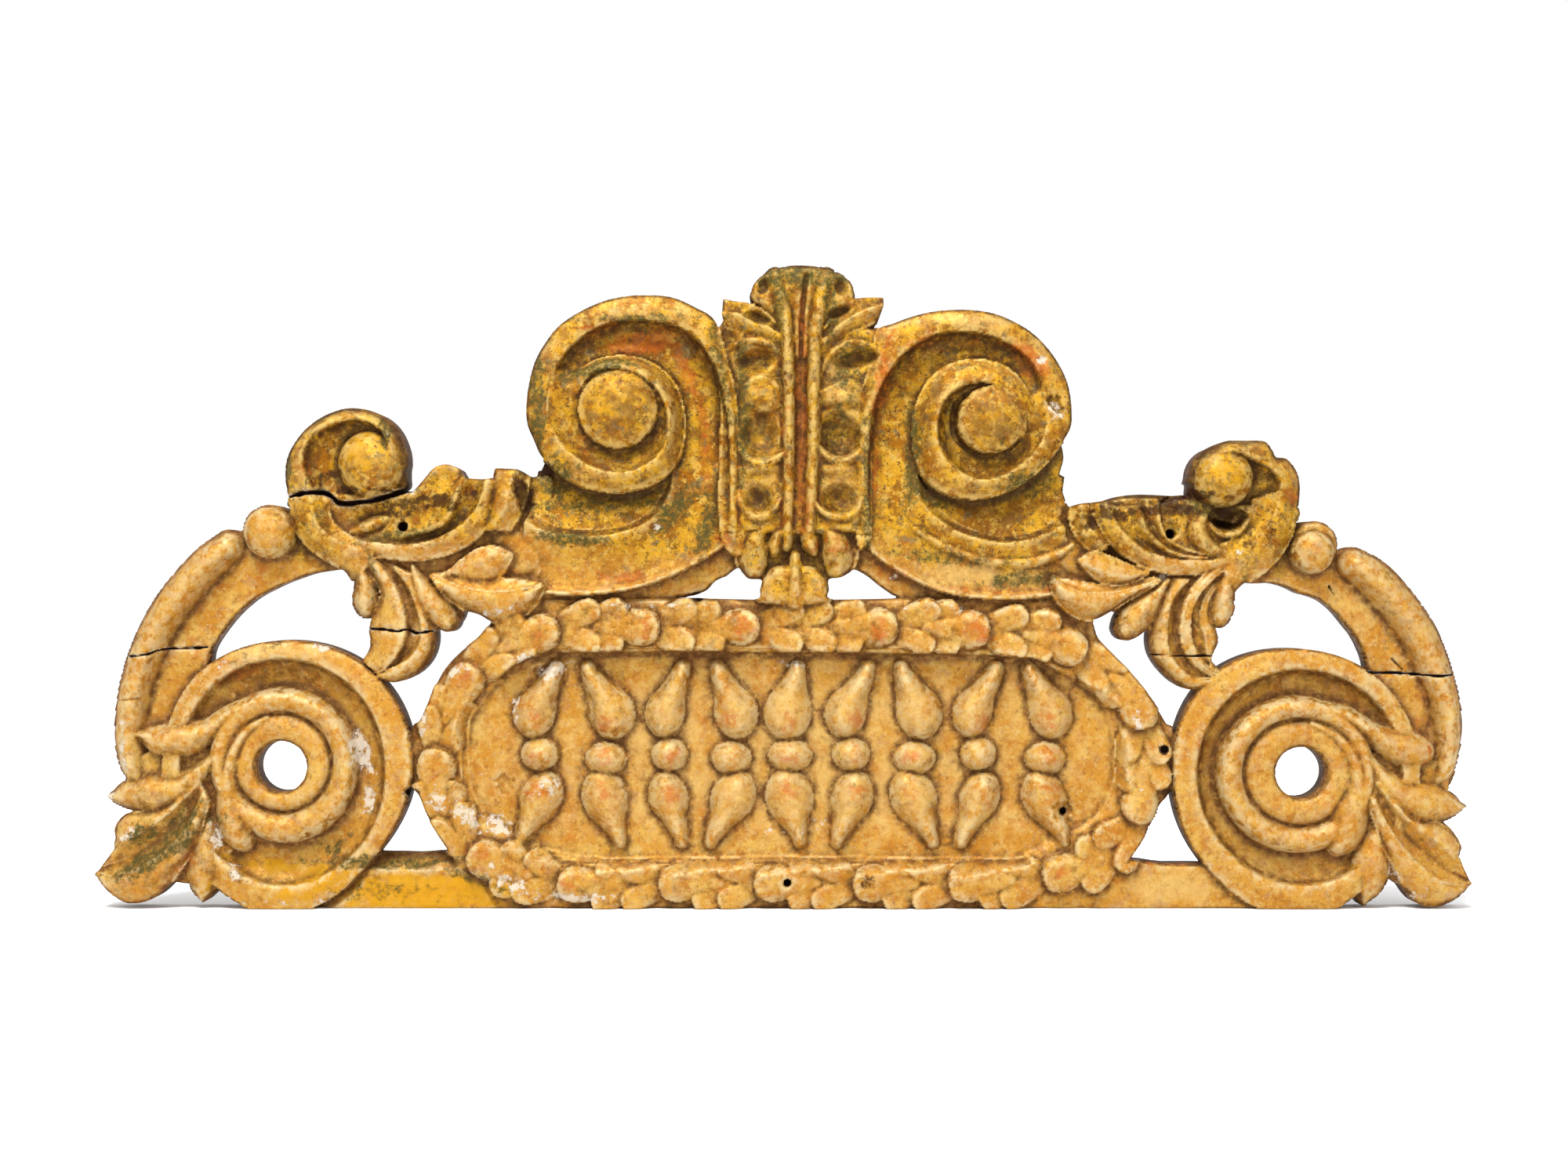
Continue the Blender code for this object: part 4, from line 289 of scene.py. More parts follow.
    def oval(self, x, z, half_x, half_z, top, profile="round", rise=12.0, turned=0.0, carve=False):
        """Raises an oval whose edge stands `rise` under its top, or carves one whose middle is at `top`."""
        reach = max(half_x, half_z) + 1
        area = self.window(x - reach, x + reach, z - reach, z + reach)
        gx, gz = self.places(area)
        away = np.hypot(*in_oval(gx - x, gz - z, half_x, half_z, turned))
        inside = (1 - away) * min(half_x, half_z)
        if carve:
            self.cut(area, inside, top + rise * away ** 2)
        else:
            self.add(area, inside, top - rise * (1 - PROFILES[profile](away)))

    def within(self, path, reach=EDGE_REACH):
        """Distance inside a closed path, true up to `reach`."""
        area = self.window(path[:, 0].min(), path[:, 0].max(), path[:, 1].min(), path[:, 1].max())
        x, z = self.places(area)
        shape = (z.shape[0], x.shape[1])
        near = np.full(shape, reach)
        odd = np.zeros(shape, bool)
        for k in range(len(path)):
            p, q = path[k], path[(k + 1) % len(path)]
            part = self.window(min(p[0], q[0]) - reach, max(p[0], q[0]) + reach,
                               min(p[1], q[1]) - reach, max(p[1], q[1]) + reach)
            rows = slice(max(part[0].start, area[0].start), min(part[0].stop, area[0].stop))
            columns = slice(max(part[1].start, area[1].start), min(part[1].stop, area[1].stop))
            if rows.stop > rows.start and columns.stop > columns.start:
                gx, gz = self.places((rows, columns))
                away, _ = nearest_on(p, q, gx, gz)
                here = (slice(rows.start - area[0].start, rows.stop - area[0].start),
                        slice(columns.start - area[1].start, columns.stop - area[1].start))
                near[here] = np.minimum(near[here], away)
            crossed = ((p[1] > z[:, 0]) != (q[1] > z[:, 0]))
            if crossed.any():
                at = p[0] + (z[crossed, 0] - p[1]) / (q[1] - p[1]) * (q[0] - p[0])
                odd[crossed] ^= x[0][None, :] > at[:, None]
        return area, np.where(odd, near, -near)

    def outline(self, points, each=5, reach=EDGE_REACH):
        """Distance inside a smooth closed curve."""
        return self.within(smooth_curve([row[:2] for row in points], each, True), reach)

    def trace(self, path, area):
        """Distance from each place to a path of (x, z, height), and the path's height nearest to it."""
        x, z = self.places(area)
        away = np.full((z.shape[0], x.shape[1]), FAR)
        height = np.zeros(away.shape)
        for p, q in zip(path[:-1], path[1:]):
            here, t = nearest_on(p, q, x, z)
            nearer = here < away
            away = np.where(nearer, here, away)
            height = np.where(nearer, p[2] + t * (q[2] - p[2]), height)
        return away, height

    def loft(self, *lines, sags=(0.0,), shape="bowl", each=5):
        """Surfaces that run from each curve of (x, z, height) to the next, each sunk by its sag between them.
        A curve of (x, z, height, sag) has a sag that changes along it."""
        for k in range(len(lines) - 1):
            first = smooth_curve(lines[k], each)
            second = smooth_curve(lines[k + 1], each)
            area, inside = self.within(np.vstack([first[:, :2], second[::-1, :2]]))
            near_first, low = self.trace(first, area)
            near_second, high = self.trace(second, area)
            share = near_first / np.maximum(near_first + near_second, 1e-6)
            sag = sags[k % len(sags)]
            if first.shape[1] > 3:
                sag = self.trace(first[:, [0, 1, 3]], area)[1]
            height = low + (high - low) * share - sag * SAG_SHAPES[shape](share)
            self.add(area, inside + 0.4 * self.grid, height, 1.4)

    def panel(self, points, *rows):
        """Raises a panel whose height is read from (distance inside its outline, height) pairs."""
        area, inside = self.outline(points)
        height = np.interp(inside, [row[0] for row in rows], [row[1] for row in rows])
        self.add(area, inside, height)

    def pillow(self, points, top, fall=9.0, reach=11.0):
        """Raises a rounded lobe that falls away towards its outline."""
        shares = (0.0, 0.08, 0.2, 0.4, 0.65, 1.0)
        rows = [(share * reach, top - fall * (1 - math.sqrt(1 - (1 - share) ** 2))) for share in shares]
        self.panel(points, *rows)

    def flat(self, points, top=PLATE):
        self.panel(points, (0, top), (1, top))

    def rings(self, x, z, rows):
        """Raises turned mouldings: each row is (radii round the circle, height, how it runs on outward)."""
        most = max(np.max(row[0]) for row in rows) + 6
        area = self.window(x - most, x + most, z - most, z + most)
        gx, gz = self.places(area)
        angle = np.arctan2(gz - z, gx - x)
        radius = np.hypot(gx - x, gz - z)
        edges = [around(row[0], angle) for row in rows]
        height = np.full(radius.shape, float(rows[0][1]))
        for k in range(len(rows) - 1):
            t = unit((radius - edges[k]) / np.maximum(edges[k + 1] - edges[k], 0.01))
            made = blend(float(rows[k][1]), float(rows[k + 1][1]), t, rows[k][2])
            height = np.where(radius >= edges[k], made, height)
        self.add(area, edges[-1] - radius, height)

    def soften(self, spread):
        """Wears every arris down a little, without pulling the outline in."""
        kept = self.inside > 0
        mean = blurred(self.height, kept.astype(float), spread, self.grid)
        self.height = np.where(kept, mean, self.height)

    def finish(self):
        """Clips at the base and rounds the outer edges over."""
        self.inside = np.minimum(self.inside, self.z[:, None])
        self.soften(SOFTENED)
        over = unit(1 - self.inside / EDGE_ROUND)
        over = np.where(self.z[:, None] < EDGE_ROUND, 0.0, over)
        self.height = self.height - EDGE_ROUND * (1 - np.sqrt(unit(1 - over * over)))
        self.height = np.maximum(self.height, LEAST_HEIGHT)


# Cartouche, with its laurel border and sunk field.
CARTOUCHE = (
    (-237, 234), (-250, 218), (-260, 210), (-270, 201), (-278, 192), (-284, 182), (-289, 170), (-293, 160),
    (-298, 150), (-306, 142), (-306, 104), (-298, 90), (-292, 74), (-283, 58), (-274, 43), (-266, 22),
    (-262, -6), (0, -8), (256, -6), (262, 18), (269, 38), (280, 54), (288, 68), (293, 80), (301, 90),
    (306, 100), (306, 141), (300, 147), (292, 160), (285, 170), (279, 178), (268, 191), (258, 201),
    (245, 216), (239, 232), (225, 243), (190, 247), (120, 247), (84, 247.5), (30, 246.5), (-28, 246.5),
    (-79, 248), (-140, 247), (-200, 247), (-228, 243),
)
FIELD = (
    (-262, 118), (-260, 150), (-252, 163), (-243, 176), (-232, 187), (-218, 197), (-200, 203), (-170, 205),
    (0, 205), (140, 203), (175, 201), (195, 199), (213, 190), (232, 180), (245, 168), (255, 155), (259, 135),
    (259, 105), (254, 86), (242, 70), (225, 60), (205, 50), (190, 42), (165, 38), (0, 39), (-150, 38),
    (-185, 42), (-210, 50), (-235, 64), (-250, 77), (-259, 95),
)
GARLAND = (
    (-186, 223), (-106, 225), (-26, 225), (64, 225), (140, 223), (205, 215), (250, 190), (276, 160),
    (280, 118), (276, 78), (252, 44), (205, 26), (124, 20), (48, 20), (-31, 20), (-107, 20), (-182, 20),
    (-250, 42), (-280, 82), (-284, 120), (-268, 172), (-232, 208),
)
BORDER_RISE = 4.0
BORDER_LOW = 26.0
LEAF_TOP = 42.0


def border(relief):
    area, outer = relief.outline(CARTOUCHE)
    field_area, field = relief.outline(FIELD)
    inner = np.full(relief.inside.shape, FAR)
    inner[field_area] = -field
    inner = np.maximum(inner[area], 0.0)
    across = unit(outer / np.maximum(outer + np.minimum(inner, EDGE_REACH), 0.1))
    relief.add(area, outer, BORDER_LOW + BORDER_RISE * np.sqrt(unit(np.sin(math.pi * across))))
    laurel(relief)

    def bank(part):
        """How near the field lies to the border's edge: 0 along the top, 1 below and at the ends."""
        gx, gz = relief.places(part)
        shallow = np.maximum(unit((95 - gz) / 60), unit((np.abs(gx) - 190) / 80))
        return shallow * shallow * (3 - 2 * shallow)

    edge = smooth_curve([row + (0.0,) for row in FIELD], 5, True)
    away, _ = relief.trace(np.vstack([edge, edge[:1]]), area)
    relief.cut(area, outer, BORDER_LOW + 16.0 * unit(away / 12.0) + 20.0 * (1.0 - bank(area)))
    relief.cut(field_area, field, FLOOR + 5.0 * bank(field_area) + 5.0 * unit(1 - field / 4.0) ** 2)


# Where the broad leaves end, clockwise.
GARLAND_TIPS = (
    (-188, 225), (-106, 225), (-26, 225), (82, 225), (158, 222), (236, 203), (277, 144), (276, 68),
    (199, 25), (124, 20), (48, 20), (-31, 20), (-107, 20), (-186, 20), (-258, 50), (-285, 127), (-249, 190),
)


SIDE_LEAF = 40
BROAD_LEAF = 48
ALONG_LEAF = (1, 0.75, 0.5, 0.25, 0)


def laurel(relief):
    """Leaf after leaf along the border: broad ones, each over the pairs of side leaves behind it."""
    path = smooth_curve(GARLAND, 12, True)
    closed = np.vstack([path, path[:1]])
    steps = np.hypot(*np.diff(closed, axis=0).T)
    length = np.concatenate([[0], np.cumsum(steps)])
    whole = length[-1]

    def at(distance, out):
        places = [np.array([np.interp(d % whole, length, closed[:, k]) for k in (0, 1)])
                  for d in (distance - 3, distance, distance + 3)]
        ahead = places[2] - places[0]
        ahead = ahead / np.hypot(*ahead)
        return tuple(places[1] + out * np.array([-ahead[1], ahead[0]]))

    tips = [length[np.argmin(np.hypot(closed[:, 0] - x, closed[:, 1] - z))] for x, z in GARLAND_TIPS]
    for k, tip in enumerate(tips):
        gap = (tip - tips[k - 1]) % whole
        uneven = math.sin(5.1 * k) + math.sin(2.3 * k)
        pairs = 3 if gap > 95 else 2
        for pair in range(pairs, 0, -1):
            # Side leaves spread from the middle line towards the border's edges.
            end = tip - 6 - pair * (gap - 16) / (pairs + 1) + 1.5 * uneven
            for way in (1, -1):
                shift = 2.0 * math.sin(3.7 * k + 2.1 * pair + way)
                points = [at(end + shift - SIDE_LEAF * share, way * (2.0 + 15.0 * (1 - share) ** 1.3))
                          for share in ALONG_LEAF]
                relief.leaf(points, 12.5 + 0.5 * way * uneven, LEAF_TOP - 1.5 - 0.7 * pair, fall=9.0,
                            crown=2.0, nose=2.5, roll=4.0)
        points = [at(tip - BROAD_LEAF * share, 0.0) for share in ALONG_LEAF]
        relief.leaf(points, 19.5 + 0.6 * uneven, LEAF_TOP + 2.0 + 0.6 * uneven, crown=5.0, taper=0.55,
                    nose=4.0, roll=8.0)


# Shallow strokes in rows on the field: drops above and below a row of beads.
STROKE_ROWS = (
    # Middle x, lean of the upper drop, lean of the lower drop, breadth.
    (-203, 11, -12, 1.0), (-150, -12, 9, 1.1), (-99, 9, 8, 0.95), (-49, -9, -13, 1.05), (-2, 5, 6, 1.15),
    (47, 11, -9, 1.0), (98, -9, 11, 1.1), (149, 12, -11, 0.95), (203, -11, 12, 1.05),
)
STROKE_TOP = 35.0


def field_strokes(relief):
    for middle, upper, lower, broad in STROKE_ROWS:
        relief.oval(middle, 121 + upper * 0.15, 15.5 * broad, 13.5, STROKE_TOP, "soft", 11)
        relief.stroke(((middle + upper * 1.2, 192, 7.5, STROKE_TOP - 3),
            (middle + upper * 0.9, 184, 9, STROKE_TOP - 1),
            (middle + upper * 0.2, 170, 12 * broad, STROKE_TOP),
            (middle - upper * 0.4, 156, 17 * broad, STROKE_TOP + 1),
            (middle - upper * 0.5, 148, 13 * broad, STROKE_TOP)), "soft", 12)
        relief.stroke(((middle - lower * 0.4, 97, 13 * broad, STROKE_TOP),
            (middle - lower * 0.1, 88, 17 * broad, STROKE_TOP + 1),
            (middle + lower * 0.4, 74, 12 * broad, STROKE_TOP),
            (middle + lower * 1.0, 61, 9, STROKE_TOP - 1), (middle + lower * 1.3, 52, 7.5, STROKE_TOP - 3)),
            "soft", 12)


def rails(relief):
    """Flat rails on either side of the cartouche."""
    relief.panel(((-400, -20), (-392, 0), (-378, 8), (-364, 18), (-353, 30), (-345, 42), (-320, 43),
        (-300, 42.5), (-262, 42.5), (-235, 20), (-235, -20)), (0, 16), (12, 29), (13, 30))
    relief.panel(((250, -20), (255, 34), (300, 34.5), (326, 34.5), (340, 33), (346, 24), (354, 15), (364, 7),
        (376, 0), (384, -20)), (0, 28), (2, 30))


# Great scrolls: hole, two raised rings, a hollow and a flat rim.
LEFT_SCROLL = (-409.0, 113.0)
RIGHT_SCROLL = (406.7, 108.3)


def scrolls(relief):
    relief.rings(*LEFT_SCROLL, (
        (18.6, 27, "bulge"),
        ((31, 32, 34, 32, 30, 28, 27, 29), 37, "bulge"),
        ((40.5, 42, 43.5, 42, 40, 37, 36.5, 38), 28, "bulge"),
        ((52, 54, 55, 54, 50, 48, 51, 51), 42, "bulge"),
        ((61, 63, 64, 62, 58, 56, 62, 62), 23, "scoop"),
        ((84, 86, 87, 84, 80, 84, 95, 90), 38, "line"),
        ((90, 91, 92, 88, 84, 88, 100, 94), 39, "line"),
        ((105, 105.5, 101, 99.6, 95, 103, 118, 104), 36, "line")))
    relief.rings(*RIGHT_SCROLL, (
        (18.6, 27, "bulge"),
        ((32, 32, 32, 33, 33, 33, 32, 32), 37, "bulge"),
        ((43, 43, 43, 45, 46.5, 45, 43, 43), 28, "bulge"),
        ((52, 52, 52, 55, 57.5, 56, 54, 54), 42, "bulge"),
        ((60, 60, 62, 65, 68.5, 67, 65, 64), 23, "scoop"),
        ((80, 82, 83, 84, 84.5, 86, 90, 86), 38, "line"),
        ((84, 86, 87, 90, 89, 92, 97, 90), 39, "line"),
        ((95, 97, 99, 106, 103, 107, 116, 98), 36, "line")))


def scroll_holes(relief):
    """Each hole is bored round, whatever the plaque's length and height."""
    radius = SCROLL_HOLE_DIAMETER / 2
    reach = radius / UNIT_X + 10, radius / UNIT_Z + 10
    for x, z in (LEFT_SCROLL, RIGHT_SCROLL):
        area = relief.window(x - reach[0], x + reach[0], z - reach[1], z + reach[1])
        gx, gz = relief.places(area)
        relief.hole(area, (radius - np.hypot((gx - x) * UNIT_X, (gz - z) * UNIT_Z)) / UNIT_X)


def arcs(relief):
    relief.flat(((-467, 190), (-468, 200), (-466, 208), (-460, 218), (-450, 231), (-440, 241), (-428, 250),
        (-410, 259), (-400, 263), (-385, 268), (-370, 270.5), (-360, 273), (-350, 290), (-380, 312),
        (-400, 318), (-425, 312), (-448, 298), (-470, 280), (-495, 252), (-515, 220), (-530, 180),
        (-535, 140), (-530, 100), (-500, 95), (-445, 105), (-440, 150), (-452, 178)))
    relief.flat(((461, 186), (461, 195), (458, 205), (452, 217), (445, 226), (435, 238), (425, 246),
        (415, 250), (407, 252), (399, 256), (392, 258.5), (385, 260), (378, 260), (368, 260), (352, 264),
        (352, 280), (380, 300), (402, 308), (418, 308), (430, 298), (440, 285), (462, 280), (485, 260),
        (505, 235), (520, 205), (528, 180), (532, 145), (529, 100), (500, 92), (445, 100), (436, 145),
        (448, 175)))
    relief.stroke(((-452, 289, 14, 42), (-468, 276, 15, 44), (-484, 259, 15, 44), (-498, 241, 15, 44),
        (-510, 221, 14.5, 44), (-519, 200, 14.5, 43), (-526, 178, 14, 43), (-530, 155, 13.5, 42),
        (-531, 132, 13.5, 40), (-528, 112, 12, 37), (-520, 98, 8, 32)), "soft", 18)
    relief.stroke(((449, 275, 14, 42), (463, 266, 15.5, 44), (477, 252, 16, 44), (490, 236, 16, 44),
        (501, 219, 16, 44), (510, 200, 15.5, 43), (517, 183, 14, 43), (522, 166, 13.5, 42),
        (524.5, 148, 13, 41), (524, 128, 12.5, 39), (521, 110, 11, 36), (514, 98, 8, 31)), "soft", 18)
    relief.oval(-418, 301, 21.5, 21.5, 50, rise=20)
    relief.oval(415, 285, 18, 18, 49, rise=18)
    relief.oval(417, 291, 19, 18.5, 38, rise=8)


# Fingers of leaf outside and inside the great scrolls: each point is (x, z, half width, height).
FINGERS = (
    ((-400, 171, 5, 40), (-425, 166, 7, 42), (-450, 155, 8, 42), (-468, 142, 10, 43), (-487, 135, 14.5, 45),
        (-505, 134, 12.5, 43), (-518, 138, 6, 39), (-524, 139, 2, 37)),
    ((-455, 128, 5, 38), (-470, 112, 8, 41), (-488, 97, 12, 44), (-510, 91, 15.5, 44), (-528, 91, 13, 40),
        (-540, 89, 7, 36), (-548, 89, 2, 33)),
    ((-466, 70, 6, 37), (-470, 52, 12, 41), (-471, 36, 16, 43), (-472, 22, 12.5, 40), (-473, 11, 6, 35),
        (-473, 6, 2, 32)),
    ((-420, 152, 5, 37), (-436, 142, 7, 39), (-447, 124, 8, 41), (-452, 102, 9.5, 42), (-450, 82, 12, 44),
        (-445, 66, 14, 45), (-441, 56, 11, 43), (-439, 49, 4, 38)),
    ((415, 163, 5, 40), (440, 155, 8, 42), (460, 143, 8.5, 43), (475, 133, 12, 44), (490, 127, 15, 45),
        (502, 125, 12, 42), (510, 124, 5, 38)),
    ((455, 128, 5, 38), (470, 106, 9, 41), (486, 91, 14, 44), (506, 84, 16.5, 44), (522, 82, 12, 40),
        (533, 81, 5, 36), (538, 81, 2, 33)),
    ((470, 66, 6, 37), (465, 50, 12, 41), (463, 34, 16, 43), (461, 20, 13, 40), (459, 10, 7, 35),
        (458, 4, 3, 32)),
    ((415, 148, 5, 37), (436, 136, 8, 39), (449, 117, 9.5, 41), (452, 96, 12, 42), (447, 76, 15.5, 44),
        (441, 60, 15.5, 44), (436, 51, 10, 42), (434, 45, 4, 38)),
)
# Corner leaves below them: arrises and valleys that fan out from the scroll, as (x, z, height).
LEFT_CORNER = (
    ((-494, 86, 36), (-508, 79, 35), (-524, 76, 35), (-533, 75, 34), (-541, 66, 33), (-541, 56, 33)),
    ((-474, 102, 40), (-490, 84, 42), (-506, 71, 43), (-520, 62, 43), (-532, 56, 41), (-541, 48, 36)),
    ((-472, 96, 37), (-487, 74, 36), (-502, 58, 36), (-519, 46, 36), (-537, 37, 35), (-554, 31, 33)),
    ((-469, 92, 41), (-481, 66, 43), (-496, 48, 44), (-513, 36, 44), (-530, 28, 43), (-545, 26, 39),
        (-557, 28, 33)),
    ((-466, 84, 38), (-475, 56, 38), (-487, 34, 38), (-500, 18, 36), (-514, 7, 34), (-532, 4.5, 33),
        (-548, 14, 32), (-557, 26, 31)),
)
RIGHT_CORNER = (
    ((486, 76, 36), (500, 70, 35), (514, 68, 35), (527, 61, 34), (534, 50, 33), (532, 41, 33)),
    ((467, 100, 40), (482, 80, 42), (497, 66, 43), (512, 56, 43), (524, 46, 41), (534, 36, 36)),
    ((465, 94, 37), (479, 72, 36), (493, 55, 36), (510, 41, 36), (526, 30, 35), (541, 22, 33)),
    ((462, 88, 41), (474, 64, 43), (487, 46, 44), (502, 31, 44), (517, 21, 43), (531, 18, 40),
        (542, 20, 33)),
    ((462, 78, 38), (470, 54, 38), (480, 34, 38), (489, 17, 36), (500, 4, 34), (516, 2, 33), (531, 8, 32),
        (541, 18, 31)),
)


def fingers(relief):
    relief.flat(((-500, 131), (-518, 124), (-531, 112), (-533, 100), (-528, 92), (-526, 80), (-532, 70),
        (-537, 55), (-537, 45), (-545, 35), (-522, 25), (-500, 22), (-482, 20), (-466, 30), (-440, 60),
        (-440, 125), (-470, 128)), 31)
    relief.flat(((495, 124), (515, 118), (524, 105), (525, 95), (521, 85), (519, 72), (530, 58), (530, 42),
        (534, 34), (520, 20), (500, 12), (480, 22), (466, 30), (440, 60), (440, 118), (470, 124)), 31)
    for lines in (LEFT_CORNER, RIGHT_CORNER):
        relief.loft(*lines, sags=(-2.0, 0.5, 0.5, -3.0))
    for points in FINGERS:
        relief.stroke(points, "soft", 12)


# Leaf clusters between the scrolls and the volutes.
LEFT_CLUSTER = (
    (-401, 327), (-398, 310), (-392, 295), (-375, 281), (-357, 270), (-350, 262), (-346, 250), (-335, 230),
    (-331, 205), (-328, 192), (-318, 187), (-304, 194), (-294, 206), (-290, 220), (-268, 228), (-262, 238),
    (-252, 237), (-240, 236), (-205, 262), (-200, 300), (-192, 342), (-207, 345), (-235, 344), (-258, 340),
    (-275, 344), (-295, 331), (-320, 335), (-360, 330),
)
RIGHT_CLUSTER = (
    (213, 335), (221, 321), (228, 323), (245, 325), (259, 329), (277, 331), (304, 330), (316, 330),
    (330, 322), (370, 320), (401, 312), (398, 290), (380, 268), (358, 262), (352, 250), (341, 232),
    (332, 215), (330, 200), (327, 188), (313, 182), (300, 192), (291, 208), (287, 220), (268, 228),
    (263, 236), (245, 240), (212, 256), (205, 290),
)
